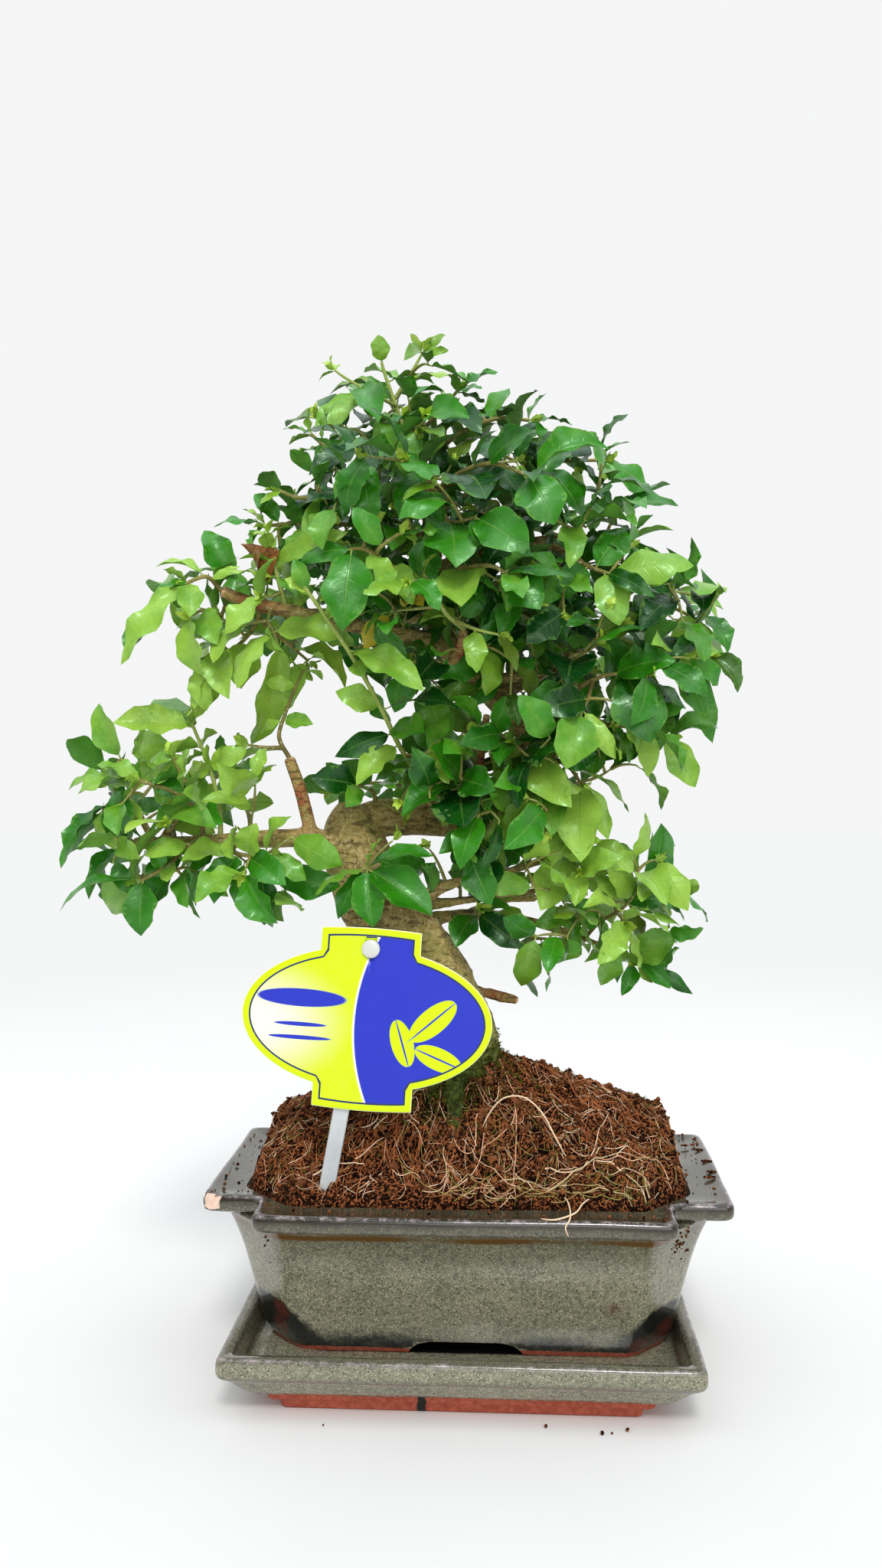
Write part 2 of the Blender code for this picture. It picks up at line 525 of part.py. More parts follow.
SPRAYS = {
    "left_end": {
        "twigs": [[(-137, -16, 222), (-141, -18, 221), (-145, -20, 216)]],
        "pairs": [1],
        "size": 15,
        "leaves": [
            (0, 0.6, (-160, -26, 198), 0.36, UP),
            (0, 1.0, (-164, -18, 193), 0.34, UP),
            (0, 0.3, (-140, -23, 201), 0.7, FRONT),
            (0, 0.3, (-147, -8, 236), 0.5, UP),
        ],
    },
    "left_low": {
        "twigs": [[(-110, -20, 203), (-118, -27, 194), (-127, -30, 189)]],
        "pairs": [1],
        "size": 14,
        "leaves": [
            (0, 1.0, (-157, -38, 180), 0.3, UP),
            (0, 1.0, (-126, -34, 168), 0.6, FRONT),
            (0, 0.55, (-120, -34, 204), 0.5, FRONT),
            (0, 0.3, (-114, -38, 190), 0.5, FRONT),
        ],
    },
    "left_hang": {
        "twigs": [[(-92, -22, 204), (-90, -29, 200), (-83, -32, 199), (-76, -31, 200)]],
        "pairs": [0],
        "size": 14,
        "leaves": [
            (0, 0.35, (-96, -40, 182), 0.6, FRONT),
            (0, 0.55, (-68, -42, 189), 0.55, FRONT),
            (0, 0.2, (-108, -40, 198), 0.55, UP),
            (0, 0.6, (-79, -40, 212), 0.7, FRONT),
            (0, 1.0, (-61, -34, 190), 0.5, FRONT),
            (0, 1.0, (-68, -33, 215), 0.55, UP),
        ],
    },
    "left_shoot_outer": {
        "twigs": [[(-104, -21, 204), (-105, -26, 219), (-110, -30, 229), (-113, -32, 237)]],
        "pairs": [3],
        "size": 17,
        "leaves": [(0, 0.25, (-93, -37, 212), 0.6, FRONT)],
    },
    "left_shoot_inner": {
        "twigs": [[(-97, -22, 204), (-98, -20, 217), (-102, -18, 232), (-110, -16, 251)]],
        "pairs": [3],
        "size": 17,
        "leaves": [
            (0, 1.0, (-97, -10, 281), 0.34, FRONT),
            (0, 1.0, (-139, -26, 251), 0.42, FRONT),
            (0, 0.92, (-130, 0, 263), 0.5, UP),
            (0, 0.6, (-87, -22, 239), 0.6, FRONT),
        ],
    },
    "left_back_outer": {
        "twigs": [[(-116, -19, 203), (-126, 6, 215), (-138, 24, 226), (-146, 34, 234)]],
        "pairs": [4],
        "size": 20,
        "leaves": [],
    },
    "left_back_inner": {
        "twigs": [[(-85, -22, 204), (-92, 6, 214), (-104, 32, 224), (-112, 50, 236)]],
        "pairs": [4],
        "size": 20,
        "leaves": [],
    },
    "left_fork": {
        "twigs": [[(-108, -24, 218), (-113, -35, 224), (-124, -38, 228)]],
        "pairs": [1],
        "size": 14,
        "leaves": [(0, 1.0, (-142, -36, 234), 0.42, UP)],
    },
    "stub_twig": {
        "twigs": [
            [(-70, -20, 237), (-74, -20, 245), (-72, -18, 254), (-68, -16, 265), (-65, -15, 272)],
            [(-72, -20, 241), (-79, -21, 241), (-86, -22, 242)],
        ],
        "pairs": [1, 1],
        "size": 12,
        "leaves": [
            (0, 0.42, (-60, -22, 250), 0.5, FRONT),
            (0, 0.4, (-83, -14, 247), 0.4, FRONT),
            (0, 0.8, (-80, -18, 267), 0.5, FRONT),
            (1, 0.5, (-83, -26, 229), 0.45, FRONT),
            (1, 1.0, (-98, -24, 233), 0.5, FRONT),
        ],
    },
    "high_end": {
        "twigs": [[(-95, -26, 302), (-100, -31, 307), (-107, -34, 304)]],
        "pairs": [1],
        "size": 13,
        "leaves": [
            (0, 0.5, (-119, -34, 312), 0.36, UP),
            (0, 1.0, (-130, -46, 273), 0.26, FRONT),
            (0, 0.35, (-87, -30, 311), 0.3, FRONT),
            (0, 1.0, (-118, -38, 300), 0.45, UP),
            (0, 0.9, (-104, -42, 290), 0.6, FRONT),
        ],
    },
    "high_top": {
        "twigs": [[(-70, -24, 294), (-72, -29, 305), (-75, -30, 316), (-76, -30, 323)]],
        "pairs": [3],
        "size": 13,
        "leaves": [
            (0, 0.55, (-44, -40, 322), 0.28, FRONT),
            (0, 0.35, (-90, -36, 308), 0.5, UP),
        ],
    },
    "high_under": {
        "twigs": [
            [(-80, -25, 296), (-84, -16, 290), (-90, -12, 284), (-96, -10, 280)],
            [(-82, -19, 292), (-72, -13, 283), (-64, -9, 276)],
        ],
        "pairs": [1, 1],
        "size": 18,
        "leaves": [
            (0, 0.7, (-89, -20, 265), 0.75, FRONT),
            (0, 0.5, (-111, -16, 289), 0.35, UP),
            (0, 1.0, (-115, -12, 264), 0.4, FRONT),
            (1, 0.25, (-88, -6, 248), 0.3, FRONT),
            (1, 0.7, (-47, -18, 266), 0.45, UP),
            (1, 1.0, (-76, 0, 257), 0.5, FRONT),
        ],
    },
    "front_left": {
        "twigs": [
            [(-13, 0, 305), (-25, -34, 308), (-32, -48, 312), (-23, -54, 318)],
            [(-31, -46, 311), (-37, -47, 314), (-42, -46, 314)],
        ],
        "pairs": [0, 0],
        "size": 14,
        "leaves": [
            (0, 1.0, (-6, -56, 319), 0.28, UP),
            (0, 0.85, (-40, -54, 328), 0.5, FRONT),
            (0, 0.6, (-18, -52, 292), 0.45, FRONT),
            (1, 1.0, (-44, -53, 283), 0.56, FRONT),
            (1, 0.3, (-29, -53, 295), 0.5, FRONT),
            (1, 1.0, (-62, -42, 311), 0.4, FRONT),
        ],
    },
    "long_shoot": {
        "twigs": [
            [(-20, -14, 231), (-26, -21, 241), (-33, -30, 257), (-43, -40, 276), (-56, -48, 296), (-59, -50, 300)]
        ],
        "pairs": [0],
        "size": 14,
        "leaves": [
            (0, 0.36, (-49, -36, 262), 0.55, FRONT),
            (0, 0.36, (-1, -46, 256), 0.38, UP),
            (0, 0.66, (-14, -56, 262), 0.36, FRONT),
            (0, 0.6, (-37, -46, 267), 0.7, FRONT),
            (0, 0.22, (-51, -26, 237), 0.4, FRONT),
            (0, 0.16, (-42, -30, 226), 0.45, FRONT),
            (0, 0.25, (-15, -38, 246), 0.7, FRONT),
            (0, 0.98, (-62, -52, 310), 0.5, FRONT),
            (0, 0.98, (-66, -50, 303), 0.5, FRONT),
        ],
    },
    "second_shoot": {
        "twigs": [
            [(0, -35, 285), (-7, -40, 291), (-12, -43, 301), (-17, -44, 308), (-18, -45, 317)],
            [(-3, -38, 288), (5, -44, 284), (13, -45, 282)],
        ],
        "pairs": [2, 0],
        "size": 10,
        "leaves": [
            (0, 0.4, (6, -48, 296), 0.4, UP),
            (1, 1.0, (20, -50, 268), 0.38, UP),
            (1, 0.5, (5, -50, 268), 0.5, FRONT),
        ],
    },
    "crown_top": {
        "twigs": [
            [(-26, 3, 372), (-31, 2, 386), (-34, 2, 395), (-35, 1, 399)],
            [(-29, 2, 381), (-40, -6, 385), (-49, -8, 390), (-53, -8, 393)],
            [(-30, 3, 384), (-22, 4, 397), (-18, 2, 403)],
        ],
        "pairs": [0, 1, 0],
        "size": 11,
        "leaves": [
            (0, 1.0, (-36, -2, 409), 0.7, FRONT),
            (0, 0.7, (-14, 10, 393), 0.3, UP),
            (0, 0.6, (-56, -4, 386), 0.42, UP),
            (0, 0.4, (-52, 16, 396), 0.45, UP),
            (1, 0.5, (-60, -16, 368), 0.4, FRONT),
            (1, 0.6, (-33, -28, 366), 0.4, FRONT),
            (2, 1.0, (-23, 0, 410), 0.36, FRONT),
            (2, 1.0, (-9, 4, 411), 0.36, FRONT),
            (2, 0.9, (-9, 0, 404), 0.36, FRONT),
            (2, 0.5, (-2, -4, 391), 0.36, UP),
            (2, 0.3, (-44, 22, 404), 0.34, UP),
        ],
    },
    "crown_right": {
        "twigs": [[(-24, 3, 366), (-12, 0, 377), (-4, 0, 386)]],
        "pairs": [2],
        "size": 15,
        "leaves": [
            (0, 1.0, (12, -2, 394), 0.36, UP),
            (0, 1.0, (6, -14, 384), 0.35, UP),
            (0, 0.5, (6, -22, 365), 0.5, FRONT),
        ],
    },
    "crown_left": {
        "twigs": [[(-23, 3, 364), (-39, -14, 362), (-50, -22, 356), (-60, -24, 363)]],
        "pairs": [2],
        "size": 13,
        "leaves": [
            (0, 1.0, (-71, -26, 365), 0.34, UP),
            (0, 0.5, (-60, -30, 346), 0.4, FRONT),
            (0, 0.9, (-50, -28, 374), 0.36, UP),
            (0, 0.45, (-34, -32, 348), 0.5, FRONT),
        ],
    },
    "dome_left": {
        "twigs": [[(-18, 4, 350), (-42, -14, 343), (-63, -20, 339), (-73, -20, 342)]],
        "pairs": [2],
        "size": 16,
        "leaves": [
            (0, 0.6, (-62, -34, 320), 0.36, FRONT),
            (0, 1.0, (-80, -26, 336), 0.5, UP),
            (0, 0.35, (-30, -38, 330), 0.5, FRONT),
        ],
    },
    "dome_left_low": {
        "twigs": [[(-15, 2, 328), (-44, 0, 332), (-68, -6, 332), (-81, -12, 330)]],
        "pairs": [3],
        "size": 18,
        "leaves": [
            (0, 1.0, (-101, -16, 330), 0.3, UP),
            (0, 0.9, (-86, -8, 344), 0.45, FRONT),
            (0, 0.5, (-58, 10, 350), 0.5, UP),
        ],
    },
    "dome_right_top": {
        "twigs": [[(-20, 4, 357), (-6, -12, 364), (12, -16, 370), (25, -16, 369)]],
        "pairs": [3],
        "size": 17,
        "leaves": [
            (0, 1.0, (42, -14, 367), 0.42, UP),
            (0, 0.7, (17, -8, 384), 0.6, UP),
        ],
    },
    "dome_right": {
        "twigs": [[(-17, 4, 347), (9, 8, 354), (34, 6, 358), (55, 4, 358)]],
        "pairs": [3],
        "size": 19,
        "leaves": [
            (0, 1.0, (75, 6, 346), 0.5, FRONT),
            (0, 1.0, (66, 0, 364), 0.35, UP),
            (0, 0.95, (72, 2, 336), 0.24, FRONT),
            (0, 0.6, (49, -16, 357), 0.6, FRONT),
        ],
    },
    "dome_front": {
        "twigs": [
            [(-15, 3, 340), (-5, -32, 343), (10, -50, 344), (24, -56, 338)],
            [(-10, -14, 341), (-6, -36, 326), (5, -52, 324)],
        ],
        "pairs": [2, 1],
        "size": 18,
        "leaves": [
            (0, 0.55, (9, -60, 329), 0.8, FRONT),
            (0, 0.75, (25, -62, 353), 0.55, FRONT),
            (0, 1.0, (33, -66, 319), 0.75, FRONT),
            (1, 0.6, (-2, -60, 304), 0.7, FRONT),
            (1, 1.0, (24, -66, 309), 0.6, FRONT),
            (1, 0.5, (-20, -50, 332), 0.5, FRONT),
        ],
    },
    "middle_front": {
        "twigs": [[(-14, 1, 311), (-3, -36, 308), (10, -54, 306), (16, -60, 302)]],
        "pairs": [2],
        "size": 18,
        "leaves": [
            (0, 1.0, (28, -68, 288), 0.75, FRONT),
            (0, 0.8, (16, -70, 282), 0.5, FRONT),
            (0, 1.0, (40, -64, 300), 0.6, UP),
            (0, 0.6, (0, -60, 290), 0.7, FRONT),
        ],
    },
    "right_up": {
        "twigs": [[(45, -25, 311), (50, -30, 308), (55, -32, 306)]],
        "pairs": [0],
        "size": 16,
        "leaves": [
            (0, 1.0, (86, -36, 309), 0.48, FRONT),
            (0, 0.5, (63, -24, 325), 0.6, FRONT),
            (0, 1.0, (70, -44, 296), 0.32, FRONT),
            (0, 0.8, (58, -40, 286), 0.6, FRONT),
            (0, 0.2, (34, -36, 296), 0.6, FRONT),
        ],
    },
    "right_high": {
        "twigs": [[(-14, 2, 316), (12, 6, 324), (42, 6, 328), (66, 4, 324)]],
        "pairs": [3],
        "size": 19,
        "leaves": [
            (0, 1.0, (83, 2, 330), 0.45, UP),
            (0, 0.8, (56, -6, 342), 0.5, UP),
            (0, 1.0, (82, -4, 300), 0.4, FRONT),
        ],
    },
    "right_far": {
        "twigs": [
            [(66, 30, 296), (76, 30, 301), (86, 29, 301), (95, 26, 296)],
            [(68, 30, 297), (76, 14, 290), (83, 6, 281)],
        ],
        "pairs": [1, 1],
        "size": 17,
        "leaves": [
            (0, 1.0, (108, 22, 291), 0.4, UP),
            (0, 0.8, (97, 16, 272), 0.55, FRONT),
            (0, 1.0, (105, 18, 272), 0.4, FRONT),
            (0, 1.0, (103, 30, 303), 0.5, UP),
            (1, 1.0, (99, -2, 243), 0.3, FRONT),
            (1, 0.7, (88, -8, 262), 0.4, FRONT),
            (1, 0.5, (64, 0, 274), 0.5, UP),
        ],
    },
    "right_middle": {
        "twigs": [
            [(44, -20, 264), (53, -23, 268), (62, -25, 269)],
            [(49, -22, 266), (47, -30, 259), (44, -34, 253)],
        ],
        "pairs": [1, 0],
        "size": 16,
        "leaves": [
            (0, 1.0, (70, -36, 242), 0.7, FRONT),
            (0, 0.7, (80, -34, 272), 0.6, FRONT),
            (0, 1.0, (86, -20, 256), 0.4, UP),
            (1, 1.0, (38, -42, 232), 0.7, FRONT),
            (1, 0.6, (28, -42, 254), 0.6, FRONT),
            (1, 0.9, (57, -36, 236), 0.35, FRONT),
        ],
    },
    "right_front": {
        "twigs": [[(35, -14, 271), (40, -24, 273), (50, -34, 279)]],
        "pairs": [1],
        "size": 9,
        "leaves": [
            (0, 0.5, (38, -46, 263), 0.85, FRONT),
            (0, 0.5, (25, -38, 284), 0.6, FRONT),
            (0, 0.7, (66, -44, 285), 0.4, UP),
        ],
    },
    "bend_right": {
        "twigs": [[(29, 6, 238), (40, -4, 234), (45, -8, 227)]],
        "pairs": [1],
        "size": 19,
        "leaves": [
            (0, 1.0, (44, -26, 197), 0.5, FRONT),
            (0, 0.9, (56, -12, 204), 0.36, FRONT),
            (0, 0.6, (66, -4, 216), 0.26, UP),
        ],
    },
    "bend_front": {
        "twigs": [[(29, 6, 236), (24, -14, 238), (19, -24, 242)]],
        "pairs": [0],
        "size": 18,
        "leaves": [
            (0, 1.0, (13, -42, 234), 0.55, UP),
            (0, 0.7, (38, -40, 241), 0.7, FRONT),
            (0, 1.0, (10, -36, 256), 0.6, FRONT),
            (0, 0.6, (40, -36, 218), 0.45, FRONT),
        ],
    },
    "centre_front": {
        "twigs": [[(-2, 12, 211), (-2, -12, 222), (-2, -26, 229)]],
        "pairs": [1],
        "size": 15,
        "leaves": [
            (0, 1.0, (-12, -42, 240), 0.75, FRONT),
            (0, 0.7, (0, -46, 211), 0.65, FRONT),
            (0, 0.7, (-22, -40, 216), 0.5, FRONT),
            (0, 1.0, (12, -42, 224), 0.6, FRONT),
        ],
    },
    "centre_hang": {
        "twigs": [[(6, 11, 212), (7, -8, 207), (6, -22, 205)]],
        "pairs": [0],
        "size": 14,
        "leaves": [
            (0, 1.0, (5, -33, 181), 0.58, FRONT),
            (0, 0.8, (22, -26, 208), 0.8, FRONT),
            (0, 0.9, (-10, -32, 200), 0.5, FRONT),
        ],
    },
    "trunk_front": {
        "twigs": [[(-42, -10, 194), (-39, -22, 193), (-38, -31, 194)]],
        "pairs": [0],
        "size": 16,
        "leaves": [
            (0, 1.0, (-35, -37, 172), 0.58, FRONT),
            (0, 1.0, (-14, -37, 178), 0.5, FRONT),
            (0, 0.8, (-12, -38, 200), 0.36, UP),
            (0, 1.0, (-57, -40, 185), 0.42, UP),
            (0, 0.8, (-49, -34, 175), 0.4, FRONT),
            (0, 0.9, (-32, -36, 206), 0.5, UP),
        ],
    },
    "bend_left": {
        "twigs": [[(-38, 5, 212), (-38, -8, 223), (-43, -18, 226)]],
        "pairs": [0],
        "size": 14,
        "leaves": [
            (0, 1.0, (-60, -28, 229), 0.6, FRONT),
            (0, 0.9, (-50, -34, 214), 0.6, FRONT),
            (0, 0.7, (-27, -30, 226), 0.55, UP),
        ],
    },
    "low_near": {
        "twigs": [[(-8, 9, 171), (0, -2, 172), (4, -10, 175)]],
        "pairs": [0],
        "size": 14,
        "leaves": [
            (0, 1.0, (21, -18, 162), 0.5, FRONT),
            (0, 0.8, (-4, -22, 162), 0.6, FRONT),
            (0, 0.7, (17, -16, 178), 0.5, UP),
        ],
    },
    "low_upper": {
        "twigs": [[(31, 0, 195), (36, 1, 197), (41, 1, 197)]],
        "pairs": [2],
        "size": 16,
        "leaves": [
            (0, 0.8, (29, -14, 176), 0.6, FRONT),
            (0, 1.0, (60, 6, 196), 0.3, UP),
            (0, 0.4, (22, -14, 200), 0.5, FRONT),
        ],
    },
    "low_middle": {
        "twigs": [[(43, 8, 184), (48, 9, 186), (53, 9, 189)]],
        "pairs": [2],
        "size": 15,
        "leaves": [
            (0, 0.7, (42, 16, 203), 0.5, UP),
            (0, 1.0, (60, 0, 180), 0.5, FRONT),
        ],
    },
    "low_right": {
        "twigs": [
            [(44, 20, 162), (59, 22, 156), (67, 22, 152), (72, 22, 151)],
            [(48, 20, 160), (54, 14, 168), (63, 10, 174), (69, 8, 181)],
        ],
        "pairs": [1, 1],
        "size": 15,
        "leaves": [
            (0, 1.0, (84, 17, 140), 0.45, FRONT),
            (0, 1.0, (97, 24, 135), 0.24, FRONT),
            (0, 0.8, (86, 15, 163), 0.62, FRONT),
            (0, 0.6, (62, 18, 142), 0.3, FRONT),
            (0, 0.2, (34, 12, 152), 0.3, UP),
            (1, 1.0, (88, 2, 181), 0.3, UP),
            (1, 0.8, (87, 2, 169), 0.28, UP),
            (1, 0.9, (57, -4, 193), 0.6, FRONT),
            (1, 0.4, (38, 4, 174), 0.6, FRONT),
        ],
    },
    "back_low_end": {
        "twigs": [[(-14, 60, 228), (-18, 72, 231), (-25, 86, 229)]],
        "pairs": [4],
        "size": 22,
        "leaves": [],
    },
    "back_low_left": {
        "twigs": [[(-8, 36, 219), (-28, 48, 224), (-48, 56, 226), (-64, 58, 222)]],
        "pairs": [4],
        "size": 21,
        "leaves": [],
    },
    "back_low_right": {
        "twigs": [[(-9, 42, 221), (12, 54, 226), (30, 60, 224), (42, 62, 220)]],
        "pairs": [4],
        "size": 21,
        "leaves": [],
    },
    "back_middle_end": {
        "twigs": [[(8, 60, 284), (8, 74, 291), (6, 90, 291)]],
        "pairs": [4],
        "size": 22,
        "leaves": [],
    },
    "back_middle_right": {
        "twigs": [[(13, 40, 273), (32, 52, 279), (52, 60, 276)]],
        "pairs": [4],
        "size": 21,
        "leaves": [],
    },
    "back_left_end": {
        "twigs": [[(-62, 42, 303), (-78, 48, 303), (-92, 52, 296)]],
        "pairs": [4],
        "size": 20,
        "leaves": [],
    },
    "back_left_inner": {
        "twigs": [[(-42, 28, 301), (-44, 50, 310), (-48, 70, 311)]],
        "pairs": [4],
        "size": 21,
        "leaves": [],
    },
    "back_high_end": {
        "twigs": [[(8, 52, 346), (13, 64, 347), (18, 76, 341)]],
        "pairs": [4],
        "size": 20,
        "leaves": [],
    },
    "back_high_right": {
        "twigs": [[(-3, 31, 334), (20, 42, 339), (42, 46, 335)]],
        "pairs": [4],
        "size": 20,
        "leaves": [],
    },
    "back_top": {
        "twigs": [[(-24, 40, 372), (-27, 51, 374), (-32, 62, 368)]],
        "pairs": [4],
        "size": 18,
        "leaves": [],
    },
    "back_right_low": {
        "twigs": [[(28, 36, 176), (40, 42, 175), (52, 48, 170)]],
        "pairs": [3],
        "size": 18,
        "leaves": [],
    },
}

CROWN = mm(-10, 8, 285)  # leaves turn their faces away from here, and up


def along(points, share):
    """The place a share of the way along a path, and the direction there."""
    lengths = [(b - a).length for a, b in zip(points, points[1:])]
    left = share * sum(lengths)
    for (a, b), length in zip(zip(points, points[1:]), lengths):
        if left <= length or b is points[-1]:
            return a.lerp(b, min(1.0, left / length)), (b - a).normalized()
        left -= length


def path_length(points):
    return sum((b - a).length for a, b in zip(points, points[1:]))


def square_to(vector, axis):
    """The part of a vector that is square to an axis, as a unit vector."""
    rest = vector - axis * vector.dot(axis)
    if rest.length < 1e-6:
        rest = axis.orthogonal()
    return rest.normalized()


def shaken(draw, size):
    return Vector([draw.uniform(-size, size) for _ in range(3)])


def set_leaf(draw, twig, share, tip, ratio, facing, attempt):
    """A leaf whose tip is given; later attempts move the tip and the root a little further."""
    root, ahead = along(twig, min(1.0, share + 0.02 * attempt))
    root = root - ahead * (0.6 * MM if share > 0.97 else 0.0)
    tip = mm(*tip) + shaken(draw, 0.9 * MM * attempt)
    axis = (tip - root).normalized()
    face = Vector(facing).normalized() + shaken(draw, 0.25 + 0.05 * attempt)
    return finish_leaf(draw, root, tip, ratio, square_to(face, axis))


def paired_leaf(draw, twig, share, turn, size, attempt):
    """One leaf of an opposite pair, at a turn about its twig."""
    root, ahead = along(twig, share)
    root = root - ahead * (0.6 * MM if share > 0.97 else 0.0)
    across = Quaternion(ahead, turn + draw.uniform(-0.3, 0.3) * (1 + 0.4 * attempt)) @ ahead.orthogonal().normalized()
    spread = math.radians(draw.uniform(48, 70))
    axis = ahead * math.cos(spread) + across * math.sin(spread)
    axis.z -= draw.uniform(0.0, 0.35)
    axis = (axis + shaken(draw, 0.08 * attempt)).normalized()
    length = size * draw.uniform(0.85, 1.2) * (1.0 - 0.03 * attempt)
    outward = (root - CROWN).normalized()
    face = outward * 0.8 + Vector((0.0, 0.0, 0.8)) + shaken(draw, 0.35)
    return finish_leaf(draw, root, root + axis * length, draw.uniform(0.48, 0.6), square_to(face, axis))


def finish_leaf(draw, root, tip, ratio, face):
    return {
        "root": root,
        "tip": tip,
        "face": face,
        "ratio": ratio,
        "bow": draw.uniform(0.04, 0.13),
        "fold": draw.uniform(0.15, 0.5),
        "wave": draw.uniform(-0.07, 0.07),
        "twist": draw.uniform(-0.4, 0.4),
    }


def blade(leaf, thickness=BLADE, grow=0.0, start=0.0):
    """Points and faces of a leaf: a bowed blade folded along its midrib, the same triangles on both faces."""
    root, tip, face = leaf["root"], leaf["tip"], leaf["face"]
    length = (tip - root).length
    axis = (tip - root) / length
    side = axis.cross(face)
    half = leaf["ratio"] * length / 2
    large = length > LARGE_LEAF
    stations = ((0.32, 0.96, 1), (0.68, 0.82, -1)) if large else ((0.45, 1.0, 1),)

    def place(share, across, lift):
        turned = Quaternion(axis, leaf["twist"] * (share - 0.4)) @ (side * across + face * lift)
        return root + axis * length * share + face * (leaf["bow"] * 4 * share * (1 - share) * length) + turned

    flat = [place(start, 0.0, 0.0) - axis * grow]
    for share, width, way in stations:
        reach = half * width
        for edge in (-1, 1):
            lift = leaf["fold"] * reach * 0.7 + way * edge * leaf["wave"] * length * 0.5
            flat.append(place(share, edge * (reach + grow), lift))
    flat.append(place(1.0, 0.0, 0.0) + axis * grow)
    if large:
        flat.append(place(0.5, 0.0, 0.0))
        rim = [0, 2, 4, 5, 3, 1]
        top = [(0, 2, 1), (1, 2, 6), (2, 4, 6), (4, 5, 6), (5, 3, 6), (3, 1, 6)]
    else:
        rim = [0, 2, 3, 1]
        top = [(0, 2, 1), (2, 3, 1)]
    count = len(flat)
    offset = face * thickness / 2
    points = [point + offset for point in flat] + [point - offset for point in flat]
    faces = list(top) + [(c + count, b + count, a + count) for a, b, c in top]
    for a, b in zip(rim, rim[1:] + rim[:1]):
        faces += [(b, a, a + count), (b, a + count, b + count)]
    return points, faces


def tree_of(points, faces):
    return BVHTree.FromPolygons([tuple(point) for point in points], faces)


class Obstacle:
    """A solid that others stay clear of, with its box for a quick first look."""

    def __init__(self, points, faces):
        self.tree = tree_of(points, faces)
        self.low = [min(point[k] for point in points) for k in range(3)]
        self.high = [max(point[k] for point in points) for k in range(3)]

    def meets(self, other):
        if any(self.low[k] > other.high[k] or other.low[k] > self.high[k] for k in range(3)):
            return False
        return bool(self.tree.overlap(other.tree))


def obstacle_from(made):
    mesh = made.data
    mesh.calc_loop_triangles()
    points = [made.matrix_world @ vertex.co for vertex in mesh.vertices]
    return Obstacle(points, [tuple(triangle.vertices) for triangle in mesh.loop_triangles])


def seat_twig(points, radius, trunk_tree):
    """Moves a twig's start along its first stretch until its end stands a gap clear of the branch."""
    start, ahead = points[0], (points[1] - points[0]).normalized()
    side = ahead.orthogonal().normalized()
    rim = [Quaternion(ahead, k * math.pi / 3) @ side * radius for k in range(6)]
    for k in range(SEAT_STEPS):
        centre = start + ahead * (k * SEAT_STEP)
        for corner in rim + [Vector((0.0, 0.0, 0.0))]:
            spot, normal, _, distance = trunk_tree.find_nearest(centre + corner)
            if distance < GAP or (centre + corner - spot).dot(normal) < 0:
                break
        else:
            return [centre] + points[1:]
    return points


def twig_radii(count, thick):
    return [thick * (1.0 - 0.45 * k / (count - 1)) for k in range(count)]


def plan_sprays(trunk, solids):
    """Sets every twig, then every single leaf, then the pairs, each leaf clear of all that is there."""
    trunk_tree = obstacle_from(trunk).tree
    standing = [obstacle_from(made) for made in solids]
    plans = {}
    for name, spray in SPRAYS.items():
        twigs = [[mm(*point) for point in route] for route in spray["twigs"]]
        thick = TWIG_RADIUS if spray["size"] >= SHORT_LEAF else THIN_TWIG_RADIUS
        twigs[0] = seat_twig(twigs[0], thick, trunk_tree)
        bodies = []
        for k, points in enumerate(twigs):
            radii = twig_radii(len(points), thick * (1.0 if k == 0 else 0.8))
            bodies.append(tube("twig", points, radii, TWIG_SIDES))
        plans[name] = {"twigs": twigs, "bodies": bodies, "leaves": []}
    for name, plan in plans.items():
        plan["wood"] = [obstacle_from(body) for body in plan["bodies"]]
    for paired in (False, True):
        for name, spray in SPRAYS.items():
            rivals = standing + [
                obstacle for other, plan in plans.items() if other != name for obstacle in plan["wood"]
            ]
            rivals += [shape for other, plan in plans.items() if other != name for _, shape, _ in plan["leaves"]]
            for index, build in wanted_leaves(name, spray, plans[name]["twigs"], paired):
                place_leaf(name, index, build, plans[name], rivals)
    return plans


def wanted_leaves(name, spray, twigs, paired):
    """Each leaf of a spray as its number and a function that makes it at a given attempt."""
    if not paired:
        for index, (twig, share, tip, ratio, facing) in enumerate(spray["leaves"]):
            before = sum(leaf[:2] == (twig, share) for leaf in spray["leaves"][:index])
            share -= before * LEAF_STEP / path_length(twigs[twig])
            yield index, lambda draw, n, a=(twigs[twig], share, tip, ratio, facing): set_leaf(draw, *a, n)
        return
    index = 100
    for twig, pairs in zip(twigs, spray["pairs"]):
        for pair in range(pairs):
            share = 0.3 + 0.7 * (pair + 1) / pairs if pairs > 1 else 1.0
            size = spray["size"] * MM * (1.1 - 0.35 * share)
            for half in (0, 1):
                turn = (pair % 2) * math.pi / 2 + half * math.pi + len(name) * 0.7
                yield index, lambda draw, n, a=(twig, share, turn, size): paired_leaf(draw, *a, n)
                index += 1


def place_leaf(name, index, build, plan, rivals):
    """Takes the first attempt that stands clear of everything, or leaves the leaf out."""
    for attempt in range(TRIES):
        leaf = build(random.Random(f"{name} {index} {attempt}"), attempt)
        around = Obstacle(*blade(leaf, thickness=BLADE + 2 * LEAF_CLEARANCE, grow=LEAF_CLEARANCE))
        if any(around.meets(rival) for rival in rivals):
            continue
        beyond = Obstacle(*blade(leaf, start=0.1))
        if any(beyond.meets(own) for _, _, own in plan["leaves"]):
            continue
        plan["leaves"].append((leaf, around, beyond))
        return


def build_spray(name, plan, look):
    spray = plan["bodies"][0]
    spray.name = "spray_" + name
    spray.data.materials.append(look)
    parts = plan["bodies"][1:]
    for leaf, _, _ in plan["leaves"]:
        parts.append(new_object("leaf", *blade(leaf)))
    fuse(spray, parts)
    return spray


